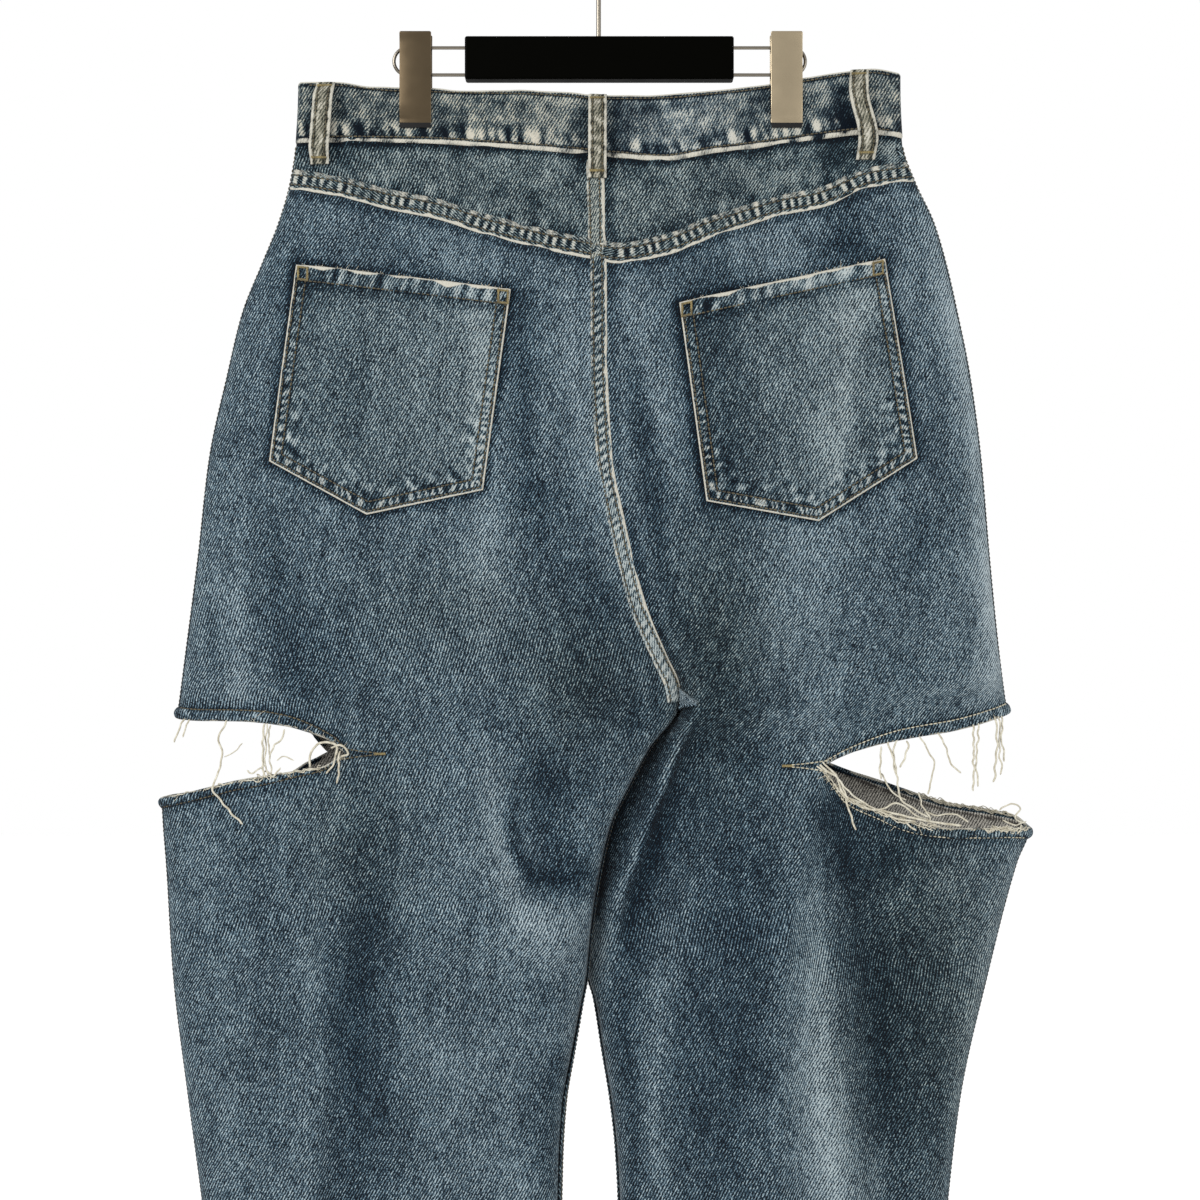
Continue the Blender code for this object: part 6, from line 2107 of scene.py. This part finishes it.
    def sew(self, tailor: Tailor) -> None:
        """Sews the patch down with two rows, and its mouth with one, and frays its top fold."""
        cut = BACK_POCKETS[self.side]
        corners = np.array(cut.edge())
        centre = corners.mean(axis=0)
        for inset, lift in zip(self.inset, self.stitch_lifts):
            inner = []
            for i, corner in enumerate(corners):
                ways = []
                for j in (i - 1, i):
                    if 0 <= j < len(corners) - 1:
                        side = corners[j + 1] - corners[j]
                        square = np.array([side[1], -side[0]]) / np.hypot(*side)
                        ways.append(square * np.sign(np.dot(square, centre - corners[j])))
                move = ways[0] if len(ways) == 1 else (ways[0] + ways[1]) / (1 + np.dot(*ways))
                inner.append(corner + move * inset)
            inner = np.array(inner)
            for a, b in zip(inner, inner[1:]):
                line = a + (b - a) * np.linspace(0, 1, 60)[:, None]
                tailor.tan.sew(Face.BACK, self.side, line[:, 0], line[:, 1], lift)
        a, b = np.array(cut.inner_top), np.array(cut.outer_top)
        line = a + (b - a) * np.linspace(0.02, 0.98, 60)[:, None] + (0, self.mouth)
        tailor.tan.sew(Face.BACK, self.side, line[:, 0], line[:, 1], self.mouth_lift)
        for corner, other in ((a, b), (b, a)):
            way = (other - corner) / np.linalg.norm(other - corner)
            right, down = np.array((way[0], 0, -way[1])), -UP
            for off, below, upright in self.bartacks:
                spot = FORM.lifted(Face.BACK, self.side, *(corner + way * off + (0, below)), self.tack_lift)
                ways = (down, right) if upright else (right, down)
                tailor.amber.bar(spot, *ways, self.tack_long if upright else self.tack_short, self.tack_wide)
        edge = a + (b - a) * np.linspace(0.03, 0.97, 60)[:, None]
        worn = FORM.lifted(Face.BACK, self.side, edge[:, 0], edge[:, 1], self.fray_lift)
        tailor.frayed_edge(worn, 1, self.fray, self.fibre, self.seed + 3)


@dataclass
class BeltLoop:
    """A folded strip, sewn down at both ends by bartacks, that arches off the waistband."""

    place: LoopPlace
    width: float = 13.0
    cloth: float = 1.6
    band: float = 2.6
    arch: float = 7.4
    end: float = 0.2
    gap: float = 0.5
    row: float = 3.5
    tacks: Point = (0.05, 0.93)
    tack_long: float = 10.5
    tack_wide: float = 2.3
    tack_lift: float = 1.0
    stitch_lift: float = 0.9
    edge_bare: float = 0.60
    row_dark: float = 0.5

    def where(self, u: Array, v: Array) -> tuple[Array, Array, Array]:
        """X, drop and lift at a distance off the middle and a share down."""
        top, bottom = self.place.top, self.place.bottom
        x = top[0] + (bottom[0] - top[0]) * v + self.place.sway * np.sin(2 * math.pi * v) + u
        drop = top[1] + (bottom[1] - top[1]) * v + 0 * u
        arch = ease(0, self.end, v) * ease(0, self.end, 1 - v)
        return x, drop, self.band / 2 + self.gap * arch + self.cloth / 2 + self.arch * arch + 0 * u

    def build(self, tailor: Tailor) -> None:
        """Makes the loop."""
        side = Side.RIGHT if self.place.top[0] > 0 else Side.LEFT
        u, v = np.meshgrid(spread(-0.5, 0.5, 1 / 14, 0.35) * self.width, spread(0, 1, 1 / 60, 0.2))
        x, drop, lift = self.where(u, v)
        long = self.place.bottom[1] - self.place.top[1]
        rope = Ripples(8, int(70 + abs(self.place.top[0])))(x, drop)
        edge = self.width / 2 - np.abs(u)
        lift = lift + 0.25 * rope - 0.35 * fade(0, 2.2, edge)
        points, _ = FORM.lifted(self.place.face, side, x, drop, lift)
        wear = self.edge_bare * fade(1.4, 2.5, edge) + 0.10 + 0.10 * rope
        # Painted shade in the stitch rows' grooves.
        wash = 0.12 * rope - self.row_dark * fade(0.4, 1.2, np.abs(np.abs(u) - self.row)) + 0.03
        rounding = 1 - 0.4 * fade(0, 1.4, edge)
        grid = ClothGrid(points, np.stack([u, v * long], axis=-1), self.cloth * rounding, wear, wash)
        grid = orient(grid, (0, self.place.face.value, 0))
        node, finish = self.place.node, tailor.palette.faded
        tailor.lay(f"{node}_denim", grid, node, finish)
        share = np.linspace(0.03, 0.97, 70)
        for row in (-self.row, self.row):
            x, drop, lift = self.where(np.full(len(share), row), share)
            tailor.tan.sew(self.place.face, side, x, drop, lift + self.stitch_lift)
        for share in self.tacks:
            x, drop, lift = self.where(np.array(0.0), np.array(share))
            spot = FORM.lifted(self.place.face, side, x, drop, lift + self.tack_lift)
            tailor.amber.bar(spot, ACROSS, UP, self.tack_long, self.tack_wide)


@dataclass
class FrontDetails:
    """What the front has: the facing behind each pocket's mouth, the lapped fly and the mouths' stitches."""

    inset: float = 3.0
    side_inset: float = 5.0
    past_mouth: float = 20.0
    fly_lap: float = 4.0
    fly_length: float = 165.0
    fly_width: float = 38.0
    straight: float = 0.72
    foot: float = 0.17
    fly_rows: tuple[float, float] = (2.0, 8.0)
    rope_pitch: float = 7.0
    tuck: float = 3.0
    tucked: float = 2.0
    # Where a facing starts and ends to lie behind its mouth: inwards, and at the side seam.
    goes_behind: tuple[Point, Point] = ((-22.0, -9.0), (-7.0, -1.0))
    fly_stand: float = 1.7
    mouth_lift: float = 0.85
    fly_lift: float = 2.6
    edge_bare: float = 0.6
    rope_wash: float = 0.24
    row_dark: float = 0.4
    shadow_dark: float = 0.36

    def waist(self, x: Array) -> Array:
        """Drop of the band's lower edge on the front."""
        return FORM.edge(Face.FRONT, "waist", x)

    def facing(self, tailor: Tailor, side: Side) -> None:
        """Makes one pocket's facing."""
        panel = LegPanel(Face.FRONT, side)
        across = np.concatenate([np.linspace(0.47, 0.9, 50), spread(0.9, 1.0, 0.004, 0.3)[1:]])
        mouth = panel.cross_row(across, lambda x: self.waist(x) + panel.scoop(x))
        top = panel.cross_row(across, self.waist) - self.tuck
        drops = top + (mouth + self.past_mouth - top) * np.linspace(0, 1, 34)[:, None]
        to_seam = ease(0.9, 1.0, across)
        starts, ends = (far + (near - far) * to_seam for far, near in self.goes_behind)
        behind = ease(starts, ends, drops - mouth)
        outer = FORM.outer(side, drops) - side.value * self.side_inset * behind
        inner = FORM.inner(Face.FRONT, side, drops)
        x = inner + (outer - inner) * across
        inset = np.minimum(self.inset, FORM.y(Face.FRONT, side, x, drops)) * behind
        points, _ = FORM.lifted(Face.FRONT, side, x, drops, -inset)
        wash = FORM.wash(Face.FRONT, side, x, drops) - 0.04 - self.shadow_dark * bell(mouth - drops, 5.0)
        grid = ClothGrid(points, np.stack([x, drops], axis=-1), tailor.cloth, 0.0, wash)
        grid, name = orient(grid, (0, 1, 0)), side.label
        tailor.lay(f"facing_{name}", grid, f"pocket_facing_{name}")
        x = side.value * (panel.mouth_start + panel.mouth_width * spread(0.0, 0.93, 0.01))
        for off in panel.mouth_rows:
            drop = self.waist(x) + panel.scoop(x) + off
            tailor.tan.sew(Face.FRONT, side, x, drop, self.mouth_lift)

    def narrowing(self, share: Array) -> Array:
        """The fly's width at a share of the way down it, as a share of its full width."""
        round_foot = np.clip((share - self.straight) / (1 - self.straight), 0, 1)
        return np.maximum(np.sqrt(1 - round_foot**2), self.foot)

    def fly(self, tailor: Tailor) -> None:
        """Makes the fly and sews its curve."""
        v, u = np.meshgrid(spread(0, 1, 1 / 80, 0.3), spread(0, 1, 1 / 22, 0.3), indexing="ij")
        x = self.fly_lap - self.fly_width * self.narrowing(v) * u
        drop = self.waist(x) - self.tucked + (self.fly_length + self.tucked) * v
        lift = self.fly_stand + 0.2 * Ripples(12, 81)(x, drop)
        points, _ = FORM.lifted(Face.FRONT, Side.LEFT, x, drop, lift)
        to_edge = self.fly_width * (1 - u)
        wear = self.edge_bare * fade(0, 0.04, u) + self.edge_bare * fade(0.7, 1.5, to_edge)
        lines = to_rows(to_edge, self.fly_rows)
        between = ease(2.4, 3.2, to_edge) * fade(6.8, 7.6, to_edge)
        roped = self.rope_wash * between * roping(drop, self.rope_pitch, 2 * Ripples(20, 83)(x, drop))
        wash = FORM.wash(Face.FRONT, Side.LEFT, x, drop) + 0.04 + 0.05 * Ripples(9, 82)(x, drop)
        # Painted shade in the fly's stitch grooves.
        wash = wash + roped - self.row_dark * fade(0.3, 1.2, lines)
        grid = ClothGrid(points, np.stack([x, drop], axis=-1), tailor.cloth, wear, wash)
        tailor.lay("fly_denim", orient(grid, (0, 1, 0)), "fly")
        share = np.linspace(0.0, 0.97, 90)
        for off in self.fly_rows:
            x = self.fly_lap - (self.fly_width - off) * self.narrowing(share)
            drop = self.waist(x) + (self.fly_length - off) * share
            tailor.tan.sew(Face.FRONT, Side.LEFT, x, drop, self.fly_lift)

    def build(self, tailor: Tailor) -> None:
        """Makes the front's pieces."""
        for side in Side:
            self.facing(tailor, side)
        self.fly(tailor)


LOOSE_THREADS = {
    Side.LEFT: table(
        LooseThread,
        (0.5, 3.0, ((-294, 456), (-297, 466), (-300, 474))),
        (0.45, 3.2, ((-290, 456), (-292, 464), (-293, 470))),
        (
            0.5, 3.5,
            (
                (-262, 456), (-267, 468), (-267, 475), (-265, 482), (-267, 490), (-271, 506), (-264, 516),
                (-250, 530),
            ),
        ),
        (0.5, 3.0, ((-235, 459), (-236, 474), (-236, 490), (-234, 497))),
        (0.45, 3.6, ((-231, 460), (-232, 474), (-230, 498))),
        (0.4, 3.2, ((-233, 459), (-234, 478), (-233, 496))),
        (0.45, 3.0, ((-221, 463), (-223, 471), (-228, 475), (-231, 482))),
        (0.4, 3.4, ((-235, 488), (-243, 494), (-248, 492))),
        (0.4, 3.2, ((-234, 492), (-228, 496), (-224, 490))),
        (0.3, 2.6, ((-264, 483), (-257, 479), (-250, 473))),
        (0.3, 2.6, ((-226, 485), (-221, 482), (-215, 485))),
        (
            0.55, 3.4,
            ((-203, 490), (-202, 481), (-198, 474), (-192, 472), (-186, 473), (-183, 476), (-184, 481)),
        ),
        (0.5, 3.8, ((-184, 479), (-186, 487), (-191, 494))),
        (0.5, 3.4, ((-181, 478), (-182, 492), (-184, 501))),
        (0.5, 3.8, ((-188, 476), (-180, 474), (-176, 480), (-182, 482))),
    ),
    Side.RIGHT: table(
        LooseThread,
        (0.5, 3.2, ((199, 475), (198, 487), (199, 498))),
        (0.5, 3.4, ((204, 471), (208, 488), (211, 506), (213, 513), (222, 519), (232, 525))),
        (0.45, 3.0, ((210, 470), (207, 479), (210, 495))), (0.45, 3.6, ((217, 471), (218, 476), (212, 490))),
        (0.45, 3.2, ((226, 468), (232, 478), (236, 488), (232, 509))),
        (0.45, 3.4, ((239, 465), (245, 478), (248, 488), (255, 494))),
        (0.5, 3.2, ((264, 459), (264, 485), (264, 507))), (0.45, 3.6, ((267, 459), (266, 481), (267, 504))),
        (0.5, 3.2, ((280, 455), (281, 478), (278, 501))), (0.45, 3.5, ((283, 454), (283, 474), (283, 496))),
        (0.45, 3.2, ((285, 453), (284, 471), (287, 487))),
        (
            0.55, 2.8,
            (
                (156, 488), (162, 493), (168, 497), (171, 506), (176, 513), (186, 518), (198, 520),
                (233, 528), (255, 531),
            ),
        ),
        (0.5, 3.4, ((158, 486), (166, 494), (172, 502), (181, 511), (193, 518), (207, 525), (223, 528))),
        (0.45, 2.4, ((154, 489), (160, 493), (167, 494), (171, 503), (175, 510), (180, 513), (186, 515))),
        (0.45, 2.4, ((184, 514), (190, 519), (200, 519), (209, 515), (216, 518), (224, 524), (233, 527))),
        (0.4, 2.2, ((230, 521), (238, 524), (246, 523), (254, 524), (260, 529))),
        (0.45, 3.0, ((174, 511), (177, 523), (181, 534))), (0.45, 3.0, ((212, 523), (218, 530), (223, 534))),
        (0.4, 2.0, ((199, 494), (207, 507), (216, 513))), (0.4, 2.0, ((225, 508), (229, 518), (233, 527))),
        (0.4, 3.2, ((283, 521), (291, 517), (298, 521), (294, 527), (302, 531))),
        (0.4, 2.8, ((286, 528), (294, 532), (303, 530))),
    ),
}


class Fray(NamedTuple):
    """Where yarns lie along a rip's lower edge, as shares of the way across the panel."""

    face: Face
    count: int
    first: float
    last: float
    waver: float
    lift: float


FRAYS = {
    Side.LEFT: (Fray(Face.BACK, 12, 0.66, 0.97, 0.5, 2.3), Fray(Face.BACK, 5, 0.76, 0.80, 1.3, 2.6)),
    Side.RIGHT: (
        Fray(Face.FRONT, 34, 0.72, 0.99, 0.8, -1.0),
        Fray(Face.BACK, 26, 0.50, 0.86, 0.9, 2.6),
        Fray(Face.BACK, 16, 0.88, 0.99, 1.0, 2.4),
    ),
}


@dataclass
class LooseThreads:
    """The yarns that hang across each rip from its upper hem, and those that lie along its lower one."""

    spacing: float = 1.0
    waver: float = 0.35
    size: float = 1.45

    def fuzz(self, yarns: Yarns, side: Side, fray: Fray) -> None:
        """Thin wavering yarns that lie along a rip's lower edge; on the front they are on its wrong side.

        Args:
            yarns: What they are added to.
            side: The leg.
            fray: Where they lie and how many they are.
        """
        chance = np.random.default_rng(300 + fray.count)
        across = np.linspace(fray.first, fray.last, 160)
        edge = LegPanel(fray.face, side).rip(across)[1]
        knots = np.stack([FORM.x_at(fray.face, side, across, edge), edge], axis=1)[::8]
        line = smooth_path(knots, self.spacing)
        for number in range(fray.count):
            start = int(chance.integers(0, max(1, len(line) - 10)))
            part = line[start : start + int(chance.integers(10, 26))]
            sway = Ripples(6, 400 + number)(part[:, 0], part[:, 1])
            x = part[:, 0] + 0.4 * sway
            drop = part[:, 1] + fray.waver * (sway + chance.normal(0, 0.7)) + 0.3
            points, _ = FORM.lifted(fray.face, side, x, drop, fray.lift + 0.6 * np.roll(sway, 3))
            yarns.tube(points, self.size * chance.uniform(0.2, 0.34))

    def build(self, tailor: Tailor) -> None:
        """Makes them all, one piece for each rip."""
        for side, threads in LOOSE_THREADS.items():
            yarns = Yarns()
            for number, thread in enumerate(threads):
                path = smooth_path(thread.path, self.spacing)
                chance = np.random.default_rng(90 + number)
                x = path[:, 0] + self.waver * Ripples(9, 100 + number)(path[:, 1], path[:, 0])
                lift = thread.stand * ease(-2, 6, np.arange(len(path)))
                lift = lift + 0.8 * Ripples(16, 200 + number)(path[:, 1], path[:, 0])
                points, _ = FORM.lifted(Face.BACK, side, x, path[:, 1], np.maximum(lift, 1.2))
                yarns.tube(points, self.size * thread.radius * chance.uniform(0.9, 1.1))
            for fray in FRAYS[side]:
                self.fuzz(yarns, side, fray)
            name = side.label
            obj = yarns.build(f"loose_threads_{name}", tailor.palette.loose_thread, "threads")
            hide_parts(f"fringe_{name}")
            LOG.info("loose_threads_%s: %d yarns", name, len(threads))


@dataclass
class Clip:
    """A spring clip on the hanger's wires: two pressed plates with rubber lips, and a coiled spring."""

    side: Side
    width: float = 22.8
    top: float = -86.0
    sheet: float = 1.2
    pad_top: float = 65.4
    plate_past: float = 0.5
    pad_past: float = 1.2
    pad_inset: float = 0.4
    pad_thinner: float = 0.1
    corner: float = 0.45
    rounding: float = 1.3
    spring_radius: float = 2.75
    spring_wire: float = 0.45
    spring_turns: int = 7
    spring_reach: float = 8.0
    wire_top: float = -96.6
    # How far below its top a plate is how far from the middle.
    bends: tuple[Point, ...] = (
        (0, 5.4), (8, 4.2), (20, 4.0), (36, 4.6), (52, 5.0), (60, 4.2), (63, 3.65), (69, 3.65),
    )

    @property
    def centre(self) -> float:
        """X of the clip's middle."""
        return FORM.clip_centres[0 if self.side is Side.LEFT else 1]

    def profile(self, face: Face) -> Array:
        """Points (y, below the top) of a plate's middle, smoothly bent."""
        below = np.array([*np.linspace(0, 58, 30), *np.linspace(59, 69, 16)])
        off = SmoothCurve(*zip(*self.bends))(below) + self.sheet / 2
        return np.stack([face.value * off, below], axis=1)

    def plate(
        self, name: str, line: Array, width: float, thick: float, finish: Material
    ) -> Object:
        """A strip of sheet with rounded edges.

        Args:
            name: The piece's name.
            line: Points (y, below the top) that it is bent along.
            width: From left to right.
            thick: Of the sheet.
            finish: What it is made of.

        Returns:
            The object.
        """
        along = np.gradient(line, axis=0)
        along /= np.linalg.norm(along, axis=1, keepdims=True)
        square = np.stack([along[:, 1], -along[:, 0]], axis=1) * thick / 2
        bm = bmesh.new()
        rings = []
        for (y, below), (off_y, off_below) in zip(line, square):
            ring = []
            for end, sign in ((-1, -1), (-1, 1), (1, 1), (1, -1)):
                spot = (self.centre + end * width / 2, y + sign * off_y, self.top - below - sign * off_below)
                ring.append(bm.verts.new(Vector(spot) * MM))
            rings.append(ring)
        for first, second in zip(rings, rings[1:]):
            for i in range(4):
                bm.faces.new([first[i], first[(i + 1) % 4], second[(i + 1) % 4], second[i]])
        bm.faces.new(rings[0][::-1])
        bm.faces.new(rings[-1])
        bmesh.ops.recalc_face_normals(bm, faces=bm.faces[:])
        upper = [bm.edges.get((rings[0][i], rings[0][i + 1])) for i in (0, 2)]
        bevel = partial(bmesh.ops.bevel, bm, profile=0.5, affect="EDGES")
        bevel(geom=upper, offset=self.rounding * MM, segments=4)
        sharp = [edge for edge in bm.edges if edge.calc_face_angle(0) > math.radians(40)]
        bevel(geom=sharp, offset=self.corner * MM, segments=3)
        mesh = bpy.data.meshes.new(name)
        bm.to_mesh(mesh)
        bm.free()
        mesh.shade_smooth()
        mesh.set_sharp_from_angle(angle=math.radians(50))
        mesh.materials.append(finish)
        obj = bpy.data.objects.new(name, mesh)
        bpy.context.scene.collection.objects.link(obj)
        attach(obj, "root")
        return obj

    def build(self, palette: Palette) -> None:
        """Makes the two plates with their lips, and the spring."""
        name = self.side.label
        finish = palette.darker_nickel if self.side is Side.LEFT else palette.nickel
        for face in Face:
            line = self.profile(face)
            upper = line[line[:, 1] < self.pad_top + self.plate_past]
            lower = line[line[:, 1] > self.pad_top - self.pad_past]
            plate = self.plate(f"clip_plate_{name}_{face.label}", upper, self.width, self.sheet, finish)
            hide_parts(f"clip_{name}_{face.label}")
            wide, thick = self.width - 2 * self.pad_inset, self.sheet - self.pad_thinner
            lip = self.plate(f"clip_lip_{name}_{face.label}", lower, wide, thick, palette.rubber)
        turns = np.linspace(0, 2 * math.pi * self.spring_turns, 24 * self.spring_turns)
        x = self.centre + self.spring_reach * (turns / turns[-1] - 0.5)
        y, z = self.spring_radius * np.cos(turns), self.wire_top + self.spring_radius * np.sin(turns)
        spring = Yarns(sides=8)
        spring.tube(np.stack([x, y, z], axis=1), self.spring_wire)
        obj = spring.build(f"clip_coil_{name}", palette.spring, "clip_steel")
        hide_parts(f"clip_{name}_spring")
        LOG.info("clip_%s: two plates, two lips and a spring", name)


@dataclass
class Hanger:
    """The bar with its wire ends and its hook, all round wires smoothly bent."""

    bar_top: float = -89.5
    bar_length: float = 193.0
    bar_x: float = 0.5
    wire: float = 1.25
    hook_wire: float = 1.7
    hook_inner: float = 21.0
    hook_start: float = 195.0
    bend: float = 14.0
    wire_tuck: float = 1.5
    # The two runs of each end wire below the bar's top, and X of the wires' outer ends.
    upper_run: float = 7.1
    lower_run: float = 26.6
    wire_ends: tuple[float, float] = (-148.5, 150.0)
    step: float = 0.8
    sides: int = 18

    def tube(self, name: str, path: Array, radius: float, palette: Palette, node: str) -> None:
        """Makes one wire.

        Args:
            name: The piece's name.
            path: Points along it.
            radius: Half its thickness.
            palette: The finishes.
            node: The solid that it stands for.
        """
        run = arc(path[None], 1)[0]
        keep = np.concatenate([[True], np.diff(run) > 1e-6])
        path, run = path[keep], run[keep]
        even = np.linspace(0, run[-1], int(run[-1] / self.step))
        yarn = Yarns(sides=self.sides)
        yarn.tube(np.stack([np.interp(even, run, path[:, i]) for i in range(3)], axis=1), radius)
        obj = yarn.build(name, palette.wire, "bright_steel")
        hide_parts(node)

    @staticmethod
    def bent(x: float, z: float, radius: float, turn: Array) -> Array:
        """Points of a bend round a middle (x, z), in the plane of the hanger."""
        return np.stack([x + radius * np.cos(turn), 0 * turn, z + radius * np.sin(turn)], axis=1)

    def build(self, palette: Palette) -> None:
        """Makes the hook and the two wire ends, and finishes the bar."""
        radius = self.hook_inner + self.hook_wire
        reverse = math.acos(self.bend / (radius + self.bend))
        turn = np.linspace(math.radians(self.hook_start), -reverse, 120)
        hook = self.bent(0.0, -self.hook_inner, radius, turn)
        x, z = math.cos(reverse) * (radius + self.bend), math.sin(reverse) * (radius + self.bend)
        turn = math.pi - reverse + reverse * np.linspace(0, 1, 40)
        back = self.bent(x, -self.hook_inner - z, self.bend, turn)
        shank = np.array([[0, 0, self.bar_top - self.wire_tuck]])
        self.tube("hook_wire", np.concatenate([hook, back, shank]), self.hook_wire, palette, "hanger_hook")
        upper, lower = self.bar_top - self.upper_run, self.bar_top - self.lower_run
        bend = (upper - lower) / 2
        for side, outside in zip(Side, self.wire_ends):
            start = self.bar_x + side.value * (self.bar_length / 2 - self.wire_tuck)
            centre = outside - side.value * (bend + self.wire)
            turn = np.linspace(math.pi / 2, -math.pi / 2, 60)
            curve = self.bent(0.0, lower + bend, bend, turn)
            curve[:, 0] = centre + side.value * bend * np.cos(turn)
            path = np.concatenate([[[start, 0, upper]], curve, [[start, 0, lower]]])
            self.tube(f"end_wire_{side.label}", path, self.wire, palette, f"hanger_wire_{side.label}")
        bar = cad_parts["hanger_bar"]
        for slot in bar.material_slots:
            slot.material = palette.lacquer
        LOG.info("hanger: hook, two wire ends and the bar")


@dataclass
class WaistButton:
    """A shank button on the lapped end of the band: a domed, rimmed cap."""

    radius: float = 8.5
    below_top: float = 22.0
    stand_off: float = 3.5
    sides: int = 40
    # Height and share of the radius of each ring, from the rim's back to the middle of the dome.
    rings: tuple[Point, ...] = (
        (0.0, 0.80), (0.5, 0.86), (0.9, 0.98), (1.4, 1.0), (2.0, 0.99), (2.5, 0.94), (2.75, 0.86),
        (2.6, 0.78), (2.35, 0.72), (2.35, 0.66), (2.7, 0.55), (2.95, 0.35), (3.0, 0.15), (3.0, 0.0),
    )

    def build(self, palette: Palette) -> None:
        """Makes the button."""
        drop = float(FORM.edge(Face.FRONT, "top", 0.0)) + self.below_top
        foot = float(FORM.y(Face.FRONT, Side.LEFT, np.array(0.0), np.array(drop)))
        foot, middle = foot + self.stand_off, -FORM.waist_below_hook - drop
        turns = 2 * math.pi * np.arange(self.sides) / self.sides
        points, faces = [], []
        for number, (height, share) in enumerate(self.rings):
            for i, turn in enumerate(turns):
                reach = self.radius * share
                points.append((reach * math.cos(turn), foot + height, middle + reach * math.sin(turn)))
                if number:
                    a, b = number * self.sides + i, number * self.sides + (i + 1) % self.sides
                    faces.append((a, b, b - self.sides, a - self.sides))
        faces.append(tuple(range(self.sides - 1, -1, -1)))
        obj = add_mesh("button_cap", np.array(points), faces)
        obj.data.materials.append(palette.button)
        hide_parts("waist_button")
        LOG.info("button_cap: %.0f mm across", 2 * self.radius)


class Lamp(NamedTuple):
    """A square soft light: its place and aim and side in metres, and its power in watts."""

    name: str
    place: tuple[float, float, float]
    aim: tuple[float, float, float]
    size: float
    power: float


@dataclass
class Studio:
    """A pale floor under an even white sky, two soft lights from the left and right, and the camera."""

    floor_drop: float = 1.32
    floor_size: float = 6.0
    lens: float = 64.6
    sensor: float = 36.0
    camera_place: tuple[float, float, float] = (0.001, -1.55, -0.494)
    lamps: tuple[Lamp, ...] = (
        Lamp("key", (-1.7, -1.9, 0.7), (0, 0, -0.5), 1.2, 60.0),
        Lamp("fill", (1.8, -1.6, -0.2), (0, 0, -0.6), 1.4, 20.0),
    )

    def light(self, lamp: Lamp) -> None:
        """Adds one soft light."""
        light = bpy.data.lights.new(lamp.name, "AREA")
        light.shape = "SQUARE"
        light.size = lamp.size
        light.energy = lamp.power
        obj = bpy.data.objects.new(lamp.name, light)
        obj.location = lamp.place
        obj.rotation_euler = (Vector(lamp.aim) - Vector(lamp.place)).to_track_quat("-Z", "Y").to_euler()
        bpy.context.scene.collection.objects.link(obj)

    def sky(self, scene: bpy.types.Scene) -> None:
        """Makes the white sky and keeps the colours as they are."""
        scene.view_settings.view_transform = "Standard"
        scene.view_settings.look = "None"
        world = bpy.data.worlds.new("white_sky")
        world.use_nodes = True
        background = world.node_tree.nodes["Background"]
        background.inputs["Color"].default_value = (1, 1, 1, 1)
        background.inputs["Strength"].default_value = 1.0
        scene.world = world

    def build(self, palette: Palette) -> None:
        """Makes the sky, the floor, the lights and the camera."""
        scene = bpy.context.scene
        self.sky(scene)
        bm = bmesh.new()
        bmesh.ops.create_grid(bm, x_segments=1, y_segments=1, size=self.floor_size)
        mesh = bpy.data.meshes.new("floor")
        bm.to_mesh(mesh)
        bm.free()
        floor = bpy.data.objects.new("floor", mesh)
        floor.location = (0, 0, -self.floor_drop)
        mesh.materials.append(palette.floor)
        scene.collection.objects.link(floor)
        for lamp in self.lamps:
            self.light(lamp)
        camera = bpy.data.cameras.new("camera")
        camera.lens = self.lens
        camera.sensor_width = self.sensor
        obj = bpy.data.objects.new("camera", camera)
        obj.location = self.camera_place
        obj.rotation_euler = (math.radians(90), 0, 0)
        scene.collection.objects.link(obj)
        scene.camera = obj


def main() -> None:
    """Builds the jeans, the hanger and the studio, in order."""
    logging.basicConfig(level=logging.INFO, format="%(message)s")
    palette = Palette.build()
    tailor = Tailor(palette)
    for side in Side:
        LegPanel(Face.BACK, side).build(tailor)
    for side in Side:
        LegPanel(Face.FRONT, side, column=3.8, row=5.6).build(tailor)
    for side in Side:
        Yoke(side).build(tailor)
    Waistband().build(tailor)
    Seams().build(tailor)
    for side in Side:
        BackPocket(side).build(tailor)
    for place in BELT_LOOPS:
        BeltLoop(place).build(tailor)
    FrontDetails().build(tailor)
    LooseThreads().build(tailor)
    tailor.pale.build("pale_stitches", palette.pale_thread, "threads")
    tailor.tan.build("tan_stitches", palette.tan_thread, "threads")
    tailor.amber.build("bartacks", palette.amber_thread, "threads")
    tailor.fray.build("edge_fray", palette.loose_thread, "threads")
    WaistButton().build(palette)
    Hanger().build(palette)
    for side in Side:
        Clip(side).build(palette)
    Studio().build(palette)


if __name__ == "__main__":
    main()
